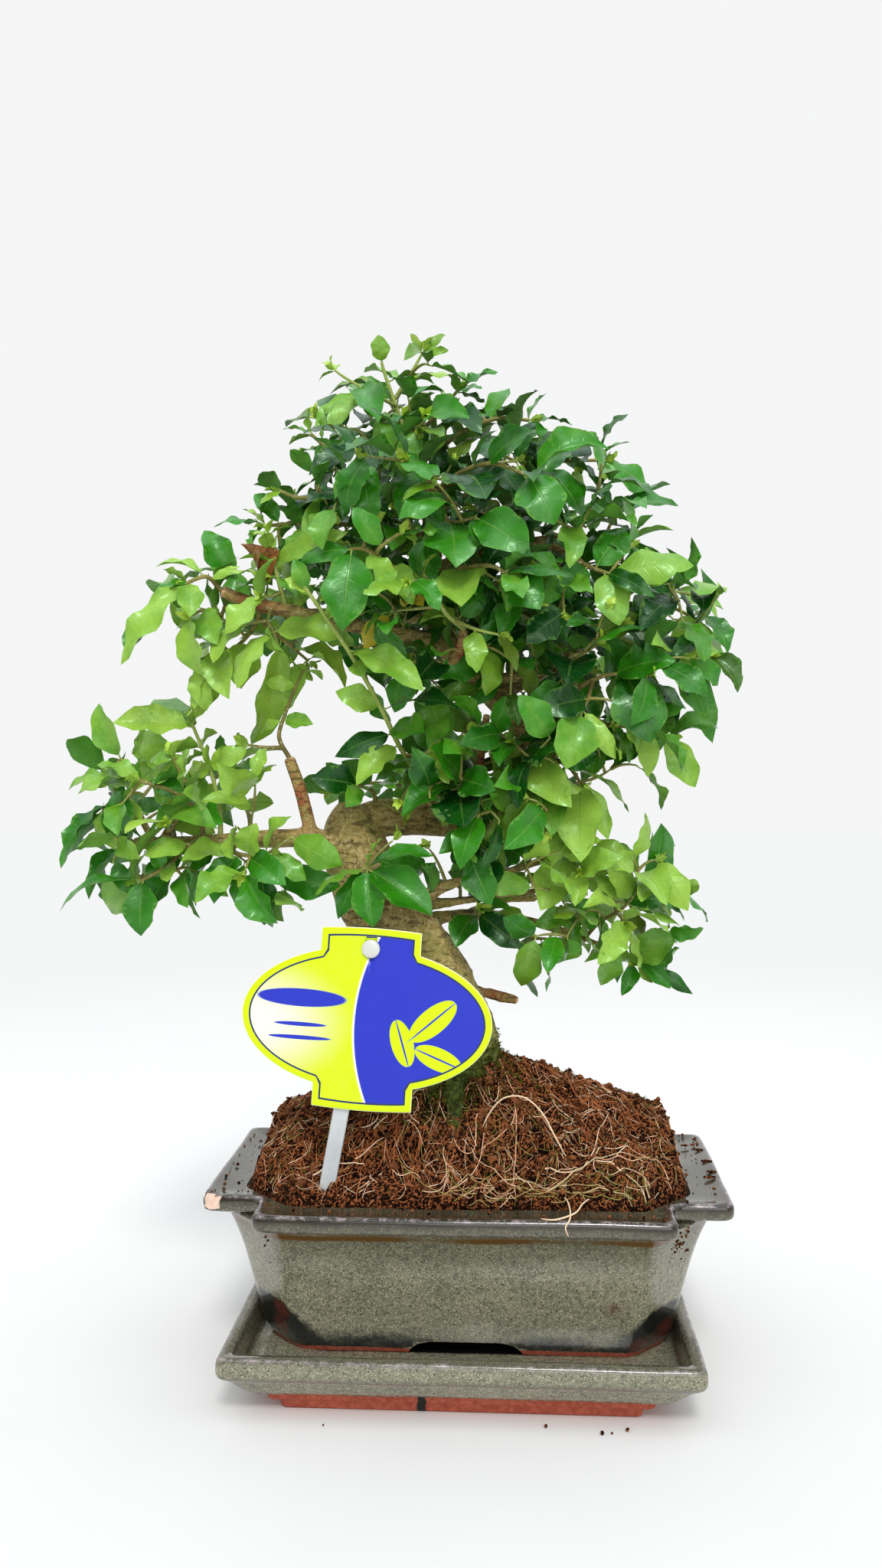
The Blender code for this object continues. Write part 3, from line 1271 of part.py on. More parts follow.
# Care tag: a flat die-cut oval with a tab above and below, hung on a stake by a peg


def tag_outline():
    """Points round the tag in its own plane: an oval's two ends between the two tabs."""
    wide, high = TAG_HALF
    tab_wide, tab_high = TAG_TAB_HALF
    first = math.acos(tab_wide / wide)
    steps = 12
    ring = []
    for side in (1, -1):
        bulge = [(-0.5, 0.0), (0.0, 0.8 * MM), (0.5, 0.0)]
        for k in range(steps + 1):
            angle = -first + 2 * first * k / steps
            ring.append((side * wide * math.cos(angle), side * high * math.sin(angle)))
        ring.append((side * tab_wide, side * tab_high))
        ring += [(-side * share * tab_wide, side * (tab_high + lift)) for share, lift in bulge]
        ring.append((-side * tab_wide, side * tab_high))
    return ring


def tag_frame(turn):
    """From the tag's plane, with its face towards -Y, to the world."""
    return (
        Matrix.Translation(TAG_CENTRE)
        @ Matrix.Rotation(-TAG_LEAN, 4, "X")
        @ Matrix.Rotation(turn, 4, "Y")
        @ Matrix.Rotation(math.pi / 2, 4, "X")
    )


def build_tag(look):
    outline = tag_outline()
    frame = tag_frame(TAG_TURN)
    rings = [[frame @ Vector((x, y, z)) for x, y in outline] for z in (-TAG_THICKNESS / 2, TAG_THICKNESS / 2)]
    tag = loft("care_tag", rings, look)
    low = frame @ Vector((0.0, PEG_UP, -4 * MM))
    high = frame @ Vector((0.0, PEG_UP, 4 * MM))
    cut(tag, cylinder("peg_hole", low, high, PEG_PIN_RADIUS + 1.1 * GAP, 12))
    return tag


def stake_bar(name, grow, reach, look=None):
    """The flat bar of the stake behind the tag, widened by grow, pointed at its lower end."""
    peg = tag_frame(TAG_TURN) @ Vector((0.0, PEG_UP, 0.0))
    down = Vector((-math.sin(STAKE_TURN), 0.0, -math.cos(STAKE_TURN)))
    down = Matrix.Rotation(-TAG_LEAN, 3, "X") @ down
    across = down.cross(Vector((0.0, 1.0, 0.0))).normalized()
    out = across.cross(down).normalized()
    if out.y > 0:
        out = -out
    behind = TAG_THICKNESS / 2 + GAP
    half = STAKE_WIDTH / 2 + grow
    rings = []
    for length, share in ((-4.0 * MM, 1.0), (STAKE_LENGTH - 8 * MM, 1.0), (STAKE_LENGTH + reach, 0.35)):
        centre = peg + down * length
        near = centre - out * (behind - grow)
        far = centre - out * (behind + STAKE_THICKNESS + grow)
        rings.append(
            [near - across * half * share, near + across * half * share]
            + [far + across * half * share, far - across * half * share]
        )
    return loft(name, rings, look), peg, out


def build_stake(look):
    stake, peg, out = stake_bar("tag_stake", 0.0, 0.0, look)
    front = TAG_THICKNESS / 2 + GAP
    pin = cylinder("pin", peg - out * (front + 0.8 * MM), peg + out * (front + 0.5 * MM), PEG_PIN_RADIUS, 12)
    head = cylinder("head", peg + out * front, peg + out * (front + 1.3 * MM), PEG_HEAD_RADIUS, 12)
    fuse(stake, [pin, head])
    return stake


def build():
    for thing in list(bpy.data.objects):
        bpy.data.objects.remove(thing)
    glaze = material("glaze", (0.165, 0.17, 0.115), 0.28, coat=0.5)
    plastic_mesh = material("screen_plastic", (0.03, 0.035, 0.03), 0.6)
    peat = material("peat", (0.11, 0.045, 0.02), 0.95)
    bark = material("bark", (0.22, 0.16, 0.09), 0.85)
    leaf_green = material("leaf", (0.045, 0.16, 0.025), 0.4, coat=0.2)
    young_green = material("young_leaf", (0.22, 0.42, 0.04), 0.45)
    tag_card = material("tag_card", (0.72, 0.98, 0.03), 0.35)
    stake_plastic = material("stake_plastic", (0.75, 0.78, 0.82), 0.4)

    saucer = build_saucer(glaze)
    pot = build_pot(glaze)
    screens = [build_screen("drain_screen_left", -DRAIN_X, plastic_mesh)]
    screens.append(build_screen("drain_screen_right", DRAIN_X, plastic_mesh))
    soil = build_soil(peat)
    for side in (-1, 1):
        size = (SCREEN_SIDE + 2 * GAP, SCREEN_SIDE + 2 * GAP, SCREEN_THICKNESS + 2 * GAP)
        centre = (side * DRAIN_X, 0, POT_FLOOR + size[2] / 2 - GAP / 2)
        cut(soil, box("screen_recess", centre, size))
    slot, _, _ = stake_bar("slot", GAP, GAP)
    cut(soil, slot)
    trunk = build_trunk(bark)
    tag = build_tag(tag_card)
    stake = build_stake(stake_plastic)

    solids = [saucer, pot, soil, trunk, tag, stake]
    plans = plan_sprays(trunk, solids)
    young = {"left_shoot_inner", "high_under", "high_top", "second_shoot", "crown_top"}
    for name, plan in plans.items():
        build_spray(name, plan, young_green if name in young else leaf_green)
    for made in list(bpy.context.scene.objects):
        if made is not saucer:
            made.data.transform(Matrix.Translation((POT_SHIFT, 0.0, 0.0)))


build()
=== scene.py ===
import math
import random

import bpy
from mathutils import Matrix, Quaternion, Vector, noise
from mathutils.bvhtree import BVHTree
from mathutils.kdtree import KDTree


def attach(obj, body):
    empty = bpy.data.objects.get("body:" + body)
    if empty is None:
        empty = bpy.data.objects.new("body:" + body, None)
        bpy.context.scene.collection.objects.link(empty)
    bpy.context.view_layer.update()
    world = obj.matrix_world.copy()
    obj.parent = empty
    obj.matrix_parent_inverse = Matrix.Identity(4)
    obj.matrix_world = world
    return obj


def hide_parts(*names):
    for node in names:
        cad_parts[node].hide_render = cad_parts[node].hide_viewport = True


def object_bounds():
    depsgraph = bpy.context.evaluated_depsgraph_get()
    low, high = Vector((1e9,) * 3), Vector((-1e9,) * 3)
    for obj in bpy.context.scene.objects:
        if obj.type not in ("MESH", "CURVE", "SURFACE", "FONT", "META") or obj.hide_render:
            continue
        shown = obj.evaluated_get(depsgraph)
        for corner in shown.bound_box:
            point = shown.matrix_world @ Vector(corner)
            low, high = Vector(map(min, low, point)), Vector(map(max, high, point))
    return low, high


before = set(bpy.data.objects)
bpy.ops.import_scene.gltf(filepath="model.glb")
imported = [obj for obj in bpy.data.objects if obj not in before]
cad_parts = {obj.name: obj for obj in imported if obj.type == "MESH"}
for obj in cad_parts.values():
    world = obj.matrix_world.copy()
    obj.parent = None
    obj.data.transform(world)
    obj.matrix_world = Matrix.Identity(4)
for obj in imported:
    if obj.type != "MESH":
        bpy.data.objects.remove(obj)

noise.seed_set(1)  # so that each run gives the same waves
cadLow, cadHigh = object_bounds()
mm = 0.001
upward = Vector((0, 0, 1))
potShift = Vector((1.2 * mm, 0, 0))  # the pot and all in it stand this far right of the saucer's middle


# nodes, materials and the effects that several of them share


def paint(red, green, blue):
    # a colour as a picture shows it, 0 to 255, for a node
    values = [part / 255 for part in (red, green, blue)]
    return (*[part / 12.92 if part <= 0.04045 else ((part + 0.055) / 1.055) ** 2.4 for part in values], 1.0)


class Nodes:
    # puts nodes into a tree and gives back what they put out
    def __init__(self, tree):
        self.tree = tree

    def put(self, kind, values=None, **settings):
        node = self.tree.nodes.new("ShaderNode" + kind)
        for name, value in settings.items():
            setattr(node, name, value)
        for socket, value in (values or {}).items():
            if isinstance(value, bpy.types.NodeSocket):
                self.tree.links.new(value, node.inputs[socket])
            else:
                node.inputs[socket].default_value = value
        return node.outputs

    def math(self, operation, *values):
        return self.put("Math", dict(enumerate(values)), operation=operation)[0]

    def plus(self, first, second):
        return self.math("ADD", first, second)

    def minus(self, first, second):
        return self.math("SUBTRACT", first, second)

    def times(self, first, second):
        return self.math("MULTIPLY", first, second)

    def over(self, first, second):
        return self.math("DIVIDE", first, second)

    def timesPlus(self, value, factor, added):
        return self.math("MULTIPLY_ADD", value, factor, added)

    def stretched(self, vector, factors):
        return self.put("VectorMath", {0: vector, 1: factors}, operation="MULTIPLY")[0]

    def blend(self, share, low, high):
        return self.put("Mix", {0: share, 6: low, 7: high}, data_type="RGBA")[2]

    def between(self, value, low, high, start=0.0, end=1.0):
        # a soft step from start to end as the value goes from low to high
        values = {0: value, 1: low, 2: high, 3: start, 4: end}
        return self.put("MapRange", values, interpolation_type="SMOOTHSTEP")[0]

    def noise(self, place, scale, detail=3.0, roughness=0.55):
        values = {"Vector": place, "Scale": scale, "Detail": detail, "Roughness": roughness}
        return self.put("TexNoise", values)["Fac"]

    def carried(self, name):
        # a number that the mesh carries on its points
        return self.put("Attribute", attribute_name=name)["Fac"]


class Effect(Nodes):
    # a node group with named inputs and outputs
    def __init__(self, name, **inputs):
        super().__init__(bpy.data.node_groups.new(name, "ShaderNodeTree"))
        for label, value in inputs.items():
            kind = "NodeSocketVector" if value is None else "NodeSocketFloat"
            socket = self.tree.interface.new_socket(label, in_out="INPUT", socket_type=kind)
            if value is not None:
                socket.default_value = value
        self.given = self.tree.nodes.new("NodeGroupInput").outputs

    def gives(self, outputs):
        for label in outputs:
            self.tree.interface.new_socket(label, in_out="OUTPUT", socket_type="NodeSocketFloat")
        result = self.tree.nodes.new("NodeGroupOutput").inputs
        for label, source in outputs.items():
            self.tree.links.new(source, result[label])
        return self.tree


class Finish(Nodes):
    # a material, with its colour so far
    def __init__(self, name, values):
        self.made = bpy.data.materials.new(name)
        self.made.use_nodes = True
        super().__init__(self.made.node_tree)
        self.shader = self.tree.nodes["Principled BSDF"].inputs
        for socket, value in values.items():
            self.shader[socket].default_value = value
        self.place = self.put("TexCoord")["Object"]

    def startWith(self, share, low, high):
        self.colour = self.blend(share, low, high)

    def cover(self, share, colour):
        self.colour = self.blend(share, self.colour, colour)

    def mottled(self, scale, fineness=5.0):
        values = {"Place": self.place, "Scale": scale, "Fineness": fineness}
        patches = self.put("Group", values, node_tree=mottle)
        return patches["Broad"], patches["Fine"]

    def grains(self, scale, share):
        grains = self.put("Group", {"Place": self.place, "Scale": scale, "Share": share}, node_tree=speckle)
        return grains["Dark"], grains["Pale"]

    def done(self, relief=None, sources=None):
        # relief is the height of the bumps, their strength and how deep they are
        links = {"Base Color": self.colour, **(sources or {})}
        if relief:
            links["Normal"] = self.put("Bump", dict(zip(("Height", "Strength", "Distance"), relief)))[0]
        for socket, source in links.items():
            self.tree.links.new(source, self.shader[socket])
        return self.made


def makeMottle():
    # broad and fine patches
    effect = Effect("mottle", Place=None, Scale=100.0, Fineness=5.0)
    place, scale = effect.given["Place"], effect.given["Scale"]
    broad = effect.noise(place, scale, 3.0, 0.6)
    fine = effect.noise(place, effect.times(scale, effect.given["Fineness"]), 2.0, 0.6)
    return effect.gives({"Broad": effect.between(broad, 0.3, 0.7), "Fine": effect.between(fine, 0.3, 0.7)})


def makeSpeckle():
    # dark and pale grains, each grain with its own size
    effect = Effect("speckle", Place=None, Scale=800.0, Share=0.5)
    grains = {}
    for label, stretch in (("Dark", 1.0), ("Pale", 1.37)):
        scale = effect.times(effect.given["Scale"], stretch)
        cells = effect.put("TexVoronoi", {"Vector": effect.given["Place"], "Scale": scale})
        chance = effect.put("SeparateColor", {0: cells["Color"]})[0]
        kept = effect.math("GREATER_THAN", effect.given["Share"], chance)
        grains[label] = effect.times(kept, effect.between(cells["Distance"], 0.45, 0.2))
    return effect.gives(grains)


mottle, speckle = makeMottle(), makeSpeckle()


# meshes


class Shape:
    # points and faces, with what each point carries and which material each face has
    def __init__(self, *carries):
        self.points, self.faces, self.looks, self.maps = [], [], [], []
        self.carries = {name: [] for name in carries}

    def addPoint(self, point, spot=(0.5, 0.5), **carried):
        self.points.append(point)
        self.maps.append(spot)
        for name, numbers in self.carries.items():
            numbers.append(carried.get(name, 0.0))

    def addFaces(self, faces, look=0, first=0):
        self.faces += [tuple(first + k for k in face) for face in faces]
        self.looks += look if isinstance(look, list) else [look] * len(faces)

    def add(self, points, faces, look=0, maps=None, **carried):
        self.addFaces(faces, look, len(self.points))
        self.points += points
        self.maps += maps if maps else [(0.5, 0.5)] * len(points)
        for name, numbers in self.carries.items():
            value = carried.get(name, 0.0)
            numbers += value if isinstance(value, list) else [value] * len(points)

    def addLoft(self, rings, look=0, **carried):
        # a list that it carries has a number for each ring
        points, wide = [point for ring in rings for point in ring], len(rings[0])
        for name, value in carried.items():
            if isinstance(value, list):
                carried[name] = [number for number in value for _ in range(wide)]
        self.add(points, loftFaces(len(rings), wide), look, **carried)

    def addTube(self, points, radii, sides, look=0, **carried):
        self.addLoft(tubeRings(points, radii, sides), look, **carried)


def makeMesh(name, shape, materials, sharp=40, shift=True):
    mesh = bpy.data.meshes.new(name)
    moved = [point + potShift for point in shape.points] if shift else shape.points
    mesh.from_pydata([tuple(point) for point in moved], [], shape.faces)
    for made in materials:
        mesh.materials.append(made)
    mesh.polygons.foreach_set("material_index", shape.looks)
    for label, numbers in shape.carries.items():
        mesh.attributes.new(label, "FLOAT", "POINT").data.foreach_set("value", numbers)
    corners = [part for loop in mesh.loops for part in shape.maps[loop.vertex_index]]
    mesh.uv_layers.new(name="surfaceMap").data.foreach_set("uv", corners)
    mesh.shade_smooth()
    mesh.set_sharp_from_angle(angle=math.radians(sharp))
    made = bpy.data.objects.new(name, mesh)
    bpy.context.scene.collection.objects.link(made)
    return made


def settle(piece, slot, *nodes):
    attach(piece, "root")
    if nodes:
        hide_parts(*nodes)
    return piece


def applyModifiers(made):
    graph = bpy.context.evaluated_depsgraph_get()
    mesh = bpy.data.meshes.new_from_object(made.evaluated_get(graph))
    made.modifiers.clear()
    old, made.data = made.data, mesh
    mesh.name = made.name
    bpy.data.meshes.remove(old)


def cutAway(made, cutter):
    difference = made.modifiers.new("cut", "BOOLEAN")
    difference.operation = "DIFFERENCE"
    difference.object = cutter
    applyModifiers(made)
    mesh = cutter.data
    bpy.data.objects.remove(cutter)
    bpy.data.meshes.remove(mesh)


def skinOf(made):
    # an object's surface in the pot's own frame
    faces = [tuple(face.vertices) for face in made.data.polygons]
    return BVHTree.FromPolygons([vertex.co - potShift for vertex in made.data.vertices], faces)


def loftFaces(levels, count):
    # quads between rings of the same count, and a cap at each end
    faces = []
    for low in range(0, (levels - 1) * count, count):
        for i in range(count):
            j = (i + 1) % count
            faces.append((low + i, low + j, low + count + j, low + count + i))
    top = (levels - 1) * count
    return faces + [tuple(range(count - 1, -1, -1)), tuple(range(top, top + count))]


def loftSolid(name, rings):
    # a plain closed solid, for cutting
    shape = Shape()
    shape.addLoft(rings)
    return makeMesh(name, shape, [])


def tubeRings(points, radii, sides, swell=None):
    rings, turn, before = [], None, None
    for i, point in enumerate(points):
        ahead = (points[min(i + 1, len(points) - 1)] - points[max(i - 1, 0)]).normalized()
        turn = ahead.to_track_quat("Z", "Y") if turn is None else before.rotation_difference(ahead) @ turn
        before = ahead
        ring = []
        for k in range(sides):
            angle = 2 * math.pi * k / sides
            reach = radii[i] * (1 + (swell(i, angle) if swell else 0))
            ring.append(point + turn @ Vector((reach * math.cos(angle), reach * math.sin(angle), 0)))
        rings.append(ring)
    return rings


def smoothPath(points, radii, steps):
    # a rounded path through the points, with the radii along it
    def bent(rows, i, share):
        a, b = rows[max(i - 1, 0)], rows[i]
        c, d = rows[i + 1], rows[min(i + 2, len(rows) - 1)]
        return 0.5 * (2 * b + (c - a) * share + (2 * a - 5 * b + 4 * c - d) * share ** 2
                      + (3 * b - a - 3 * c + d) * share ** 3)

    path, widths = [], []
    for i in range(len(points) - 1):
        for k in range(steps):
            path.append(bent(points, i, k / steps))
            widths.append(bent(radii, i, k / steps))
    return path + [points[-1]], widths + [radii[-1]]


def tapered(radius, count, loss):
    # radii that lose a share of the first along a path
    return [radius * (1 - loss * k / count) for k in range(count)]


def pointMm(x, y, z):
    return Vector((x, y, z)) * mm


def pathOf(rows):
    return [pointMm(*row[:3]) for row in rows], [row[3] * mm for row in rows]


def fourCorners(x, y, z=0.0):
    return [Vector((-x, -y, z)), Vector((x, -y, z)), Vector((x, y, z)), Vector((-x, y, z))]


def roundedRing(corners, fillets, counts, z, arc=4):
    # a closed ring with each corner rounded and each side cut into steps
    ring = []
    for i, (corner, fillet) in enumerate(zip(corners, fillets)):
        after = corners[(i + 1) % len(corners)]
        start = corner + (corners[i - 1] - corner).normalized() * fillet
        end = corner + (after - corner).normalized() * fillet
        far = after + (corner - after).normalized() * fillets[(i + 1) % len(corners)]
        for k in range(arc + 1):
            share = k / arc
            ring.append(start.lerp(corner, share).lerp(corner.lerp(end, share), share))
        ring += [end.lerp(far, k / counts[i]) for k in range(1, counts[i])]
    return [Vector((point.x, point.y, z)) for point in ring]


def uneven(point, waves, loose=1.0):
    # a point moved by waves, given by how fine they are and by their size in millimetres
    moved = point
    for scale, size in waves:
        moved = moved + noise.noise_vector(point * scale) * (size * mm * loose)
    return moved


def clamped(value, low=0.0, high=1.0):
    return max(low, min(high, value))


# light and camera

studio = {
    "floorHalf": 4,
    "floor": (paint(217, 215, 213), paint(221, 219, 217)),
    "farFloor": (0.15, 1.1, paint(203, 201, 199)),  # it is painted dimmer beyond here, as painted shade, in metres
    "backdrop": (0.915, 0.918, 0.92, 1),
    "overhead": (1.5, 1.62, 1.72, 1),
    "ceiling": (0.66, 0.8),  # sines of the heights where the room's wall ends and its ceiling starts
    "frontWall": (0.3, 0.3, 0.3, 1),
    "key": {"from": (0.1, -0.8, 1), "spread": 14, "strength": 1.35},
    "fill": {"from": (0.25, -1, 0.3), "spread": 45, "strength": 1.1},
    "camera": (19.5, -499.8, 231.8),
    "cameraTurn": (89.354, 0.166, 3.363),
    "lens": 28.125,
    "sensor": 36,
    "picture": (1152, 2048),
}


# glazed pottery

glaze = {
    "base": (paint(100, 101, 84), paint(140, 137, 114)),
    "darkGrain": paint(46, 46, 34),
    "paleGrain": paint(208, 202, 168),
    # the rim's darker glaze, also painted shade on the pottery's steps and corners and under the rim
    "rimShade": paint(38, 32, 18),
    # dark pooled glaze, also painted shade on the saucer's floor under the pot
    "pool": paint(20, 22, 20),
    # thin glaze at the edges, partly a painted highlight along them
    "thin": paint(170, 152, 156),
    "brownLine": paint(92, 64, 26),
    "rust": paint(74, 34, 28),
    "clay": (paint(150, 66, 44), paint(178, 90, 66)),
    "chip": (paint(236, 230, 220), paint(204, 136, 92)),
    "grainsPerMetre": 1000,
    "carries": ("rimShade", "pool", "rust", "brownLine", "thin", "chip", "drip"),
}


def makeGlaze(name, bareTop, unevenness):
    # bareTop is the height below which the clay is bare
    look = Finish(name, {"Coat Roughness": 0.05, "IOR": 1.5})
    broad, fine = look.mottled(55.0, 9.0)
    dark, pale = look.grains(glaze["grainsPerMetre"], 0.62)
    look.startWith(look.timesPlus(fine, 0.65, look.times(broad, 0.35)), *glaze["base"])
    look.cover(look.times(dark, 0.75), glaze["darkGrain"])
    look.cover(look.times(pale, 0.6), glaze["paleGrain"])
    # the rim's darker glaze, with painted shade on profile steps, in the cavity and on the wall under the rim
    shade = look.times(look.carried("rimShade"), look.between(broad, 0.0, 1.0, 0.84, 1.0))
    look.cover(shade, glaze["rimShade"])
    ragged = look.noise(look.place, 330.0, 4.0, 0.7)
    # pooled glaze and painted shade under the pot, rust and a brown line, each with a ragged edge
    for label in ("pool", "rust", "brownLine"):
        edge = look.plus(look.carried(label), look.timesPlus(ragged, 0.7, -0.35))
        look.cover(look.between(edge, 0.25, 0.8), glaze[label])
    # thin glaze at the edges, partly a painted highlight
    look.cover(look.times(look.carried("thin"), look.between(ragged, 0.45, 0.66, 0.0, 0.8)), glaze["thin"])
    height = look.put("SeparateXYZ", {0: look.place})[2]
    line = look.timesPlus(look.noise(look.place, 45.0, 2.0), unevenness, bareTop - unevenness / 2)
    bare = look.between(look.minus(height, line), 0.2 * mm, -0.2 * mm)
    dripped = look.between(look.plus(look.carried("drip"), look.timesPlus(ragged, 0.8, -0.4)), 0.45, 0.6)
    look.cover(bare, look.blend(dripped, look.blend(fine, *glaze["clay"]), glaze["pool"]))
    chip = look.between(look.carried("chip"), 0.35, 0.55)
    look.cover(chip, look.blend(ragged, *glaze["chip"]))
    matt = look.math("MAXIMUM", bare, chip)
    dull = look.math("MAXIMUM", matt, look.times(dark, 0.25))
    return look.done((look.timesPlus(matt, ragged, look.times(pale, 0.12)), 0.3, 0.5 * mm), {
        "Roughness": look.between(dull, 0.0, 1.0, 0.15, 0.85),
        "Coat Weight": look.between(matt, 0.5, 0.0, 0.0, 0.35),
    })


saucer = {
    "half": (87, 73),
    "cornerRadius": 2.6 * mm,
    "sideSteps": 58,
    "glazeStart": 7.2 * mm,
    "glazeWaves": 0.6 * mm,
    "top": 22.75 * mm,
    "foot": 7,
    "waves": ((28, 0.45), (130, 0.12)),
    "drip": (-14, 3.2),  # a drip of glaze on the foot's front: where it is and half its width
    "stain": (32, 1.3),  # painted shade on the floor under the pot: how far in it starts and how dark it is
    "pooled": (7, 15),  # heights between which the dark glaze pools here and there
    # how far in from the outer edge across and along, the height, rim shade (darker glaze with painted shade
    # at steps and corners) and thin glaze that is partly a painted highlight
    "profile": [
        (22.3, 12.6, 0, 0, 0), (21.5, 11.8, 0.8, 0, 0), (21.3, 11.6, 3.4, 0, 0), (20.6, 11.2, 3.7, 0, 0),
        (17.4, 10.8, 3.8, 0, 0), (17, 10.6, 4.4, 0, 0), (17, 10.6, 6, 0, 0), (15.6, 9.8, 6.7, 0.3, 0),
        (12, 7.6, 7.4, 0, 0), (8.4, 5.8, 9.6, 0, 0), (5, 4, 12.5, 0, 0), (3, 2.8, 14, 0, 0),
        (1.6, 1.6, 14.8, 0.9, 0), (0.6, 0.6, 15.8, 0.4, 0.2), (0.1, 0.1, 17, 0, 0), (0, 0, 18.5, 0, 0),
        (0, 0, 20, 0, 0), (0.1, 0.1, 21.2, 0.3, 0.1), (0.4, 0.4, 22.1, 0.7, 0.5), (1, 1, 22.6, 0.8, 1),
        (1.8, 1.8, 22.75, 0.8, 0.1), (3.2, 3.4, 22.6, 0.6, 0), (4.5, 5.6, 22.3, 0.7, 0.1),
        (5.2, 6.5, 21.6, 0.9, 0.4), (5.6, 7.4, 20, 0.5, 0), (6.1, 8.2, 16.5, 0.5, 0),
        (6.8, 9.2, 13.6, 0.9, 0), (8.4, 10.8, 12.55, 0.3, 0), (12, 14, 12.5, 0.1, 0),
        (29.5, 29.5, 12.5, 0.1, 0), (32.5, 32.5, 12.5, 0.1, 0),
    ],
}


def buildSaucer(look):
    shape = Shape(*glaze["carries"])
    halfX, halfY = saucer["half"]
    dripAt, dripHalf = saucer["drip"]
    stainStart, stain = saucer["stain"]
    for insetX, insetY, z, shade, thin in saucer["profile"]:
        corners = fourCorners(halfX * mm - insetX * mm, halfY * mm - insetY * mm)
        ring = roundedRing(corners, [saucer["cornerRadius"]] * 4, [saucer["sideSteps"]] * 4, z * mm)
        for point in ring:
            moved = uneven(point, saucer["waves"], min(1.0, z / saucer["foot"]))  # the foot stands flat
            moved.z = min(moved.z, saucer["top"]) if z > 1 else point.z
            pool, drip = 0.0, 0.0
            # the floor under the pot gets painted shade; elsewhere the dark glaze pools here and there
            if insetX > stainStart:
                pool = stain
            elif saucer["pooled"][0] < z < saucer["pooled"][1]:
                pool = max(0.0, 0.8 * noise.noise(point * 38 + Vector((3, 0, 0))))
            if z < saucer["foot"] and point.y < 0:
                drip = max(0.0, 1 - abs(point.x / mm - dripAt) / dripHalf)
            shape.addPoint(moved, rimShade=shade * 0.8, thin=thin, pool=pool, drip=drip)
    shape.addFaces(loftFaces(len(saucer["profile"]), len(ring)))
    piece = makeMesh("glazedSaucer", shape, [look], sharp=60, shift=False)
    return settle(piece, "glaze", "saucer")


pot = {
    "base": 12.8,
    "rimHalf": (100, 65.7),
    "notch": (23.2, 20.6),
    "sideSteps": (16, 30),  # on its ends and on its front and back
    "cornerSteps": 3,
    "rimFillets": (4, 5.4),
    "wallFillet": 3.6,
    "glazeStart": 14.7 * mm,
    "glazeWaves": 1.4 * mm,
    "waves": ((24, 0.5), (110, 0.14)),
    # height, half width, half depth and corner bevel
    "wall": [
        (12.8, 75.5, 42.5, 13.5), (16.5, 78, 44.2, 14.2), (20.5, 79.4, 45.2, 14.6), (25, 80.4, 46, 15),
        (33, 82.4, 47.2, 15.8), (42, 84.8, 49, 17), (51, 87.6, 51.2, 18.8), (58.5, 90.6, 54.2, 21.2),
        (63, 92.8, 57, 23.2),
    ],
    "wallSteps": 5,
    # inset from the rim's outer edge, height, rim shade (darker glaze with painted shade on the rim's steps)
    # and thin glaze that is partly a painted highlight
    "rim": [
        (3.2, 64.3, 1, 0), (2.2, 64.8, 1, 0.1), (1.1, 65.25, 0.8, 0.5), (0.4, 65.9, 0.64, 0.35),
        (0.1, 66.8, 0.62, 0), (0, 68, 0.78, 0), (0, 69.2, 1.05, 0), (0.1, 70, 1.3, 0),
        (0.4, 70.7, 1.2, 0.5), (1, 71.15, 1, 1), (1.8, 71.3, 1.2, 0.3), (2.8, 71.3, 0.95, 0),
    ],
    "rimDip": 0.5 * mm,
    "cavity": [
        (69.8, 86, 50, 20), (68.6, 85.2, 49.2, 19.7), (66.5, 84.6, 48.6, 19.4), (50, 80, 44, 17),
        (28, 76, 40.5, 15), (21, 73, 37.5, 14),
    ],
    "footWidth": 7.5,
    "footHeight": 5.2,
    "arches": ((43, True), (27, False)),  # how wide, and whether in the front and back or in the ends
    "archProfile": ((-0.5, -2), (0.2, 0.6), (1.5, 2.2), (3.6, 3.9), (8, 5)),
    "drain": (36, 5.5, 25),  # how far from the middle, its radius and how high the cut goes
    "brownLine": (60.2, 1.7),  # its height and how far it spreads
    # height up to which the wall is darker towards the bottom, and how much higher it is at the left and
    # right corners
    "poolTop": (25, 8, 6.5),
    "poolFade": (8.5, 5),
    "chip": ((-99, -46, 70), 5.2, (1, 0.55, -0.35)),  # where, how wide and which way it goes in
    # centre, reach and strength of each rusty patch
    "rustAt": [((78, -38, 17), 13, 1.3), ((66, -44, 15), 9, 1.3), ((55, -47.5, 32.5), 12, 0.55),
               ((-70, -43, 28), 7, 1.3), ((-72, -41, 20), 8, 1.3), ((-82, -33, 27), 5, 1.3)],
}


def potRing(halfX, halfY, cornerX, cornerY, z, notch=False):
    # a ring with bevelled corners, or with corners cut in as the rim's are
    hx, hy, cx, cy = (part * mm for part in (halfX, halfY, cornerX, cornerY))
    inner = (hx - cx, hy - cy) if notch else (hx - cx / 2, hy - cy / 2)
    corners = []
    for sx, sy, flip in ((1, -1, False), (1, 1, True), (-1, 1, False), (-1, -1, True)):
        three = [(hx - cx, hy), inner, (hx, hy - cy)]
        corners += [Vector((sx * x, sy * y)) for x, y in (three[::-1] if flip else three)]
    outerFillet, innerFillet = pot["rimFillets"] if notch else (pot["wallFillet"],) * 2
    fillets = [outerFillet * mm, innerFillet * mm, outerFillet * mm] * 4
    few, (ends, fronts) = pot["cornerSteps"], pot["sideSteps"]
    return roundedRing(corners, fillets, [few, few, ends, few, few, fronts] * 2, z * mm)


def denser(rows, steps):
    # more rows between those given, on a smooth curve
    columns = [smoothPath([row[k] for row in rows], [0.0] * len(rows), steps)[0] for k in range(len(rows[0]))]
    return list(zip(*columns))


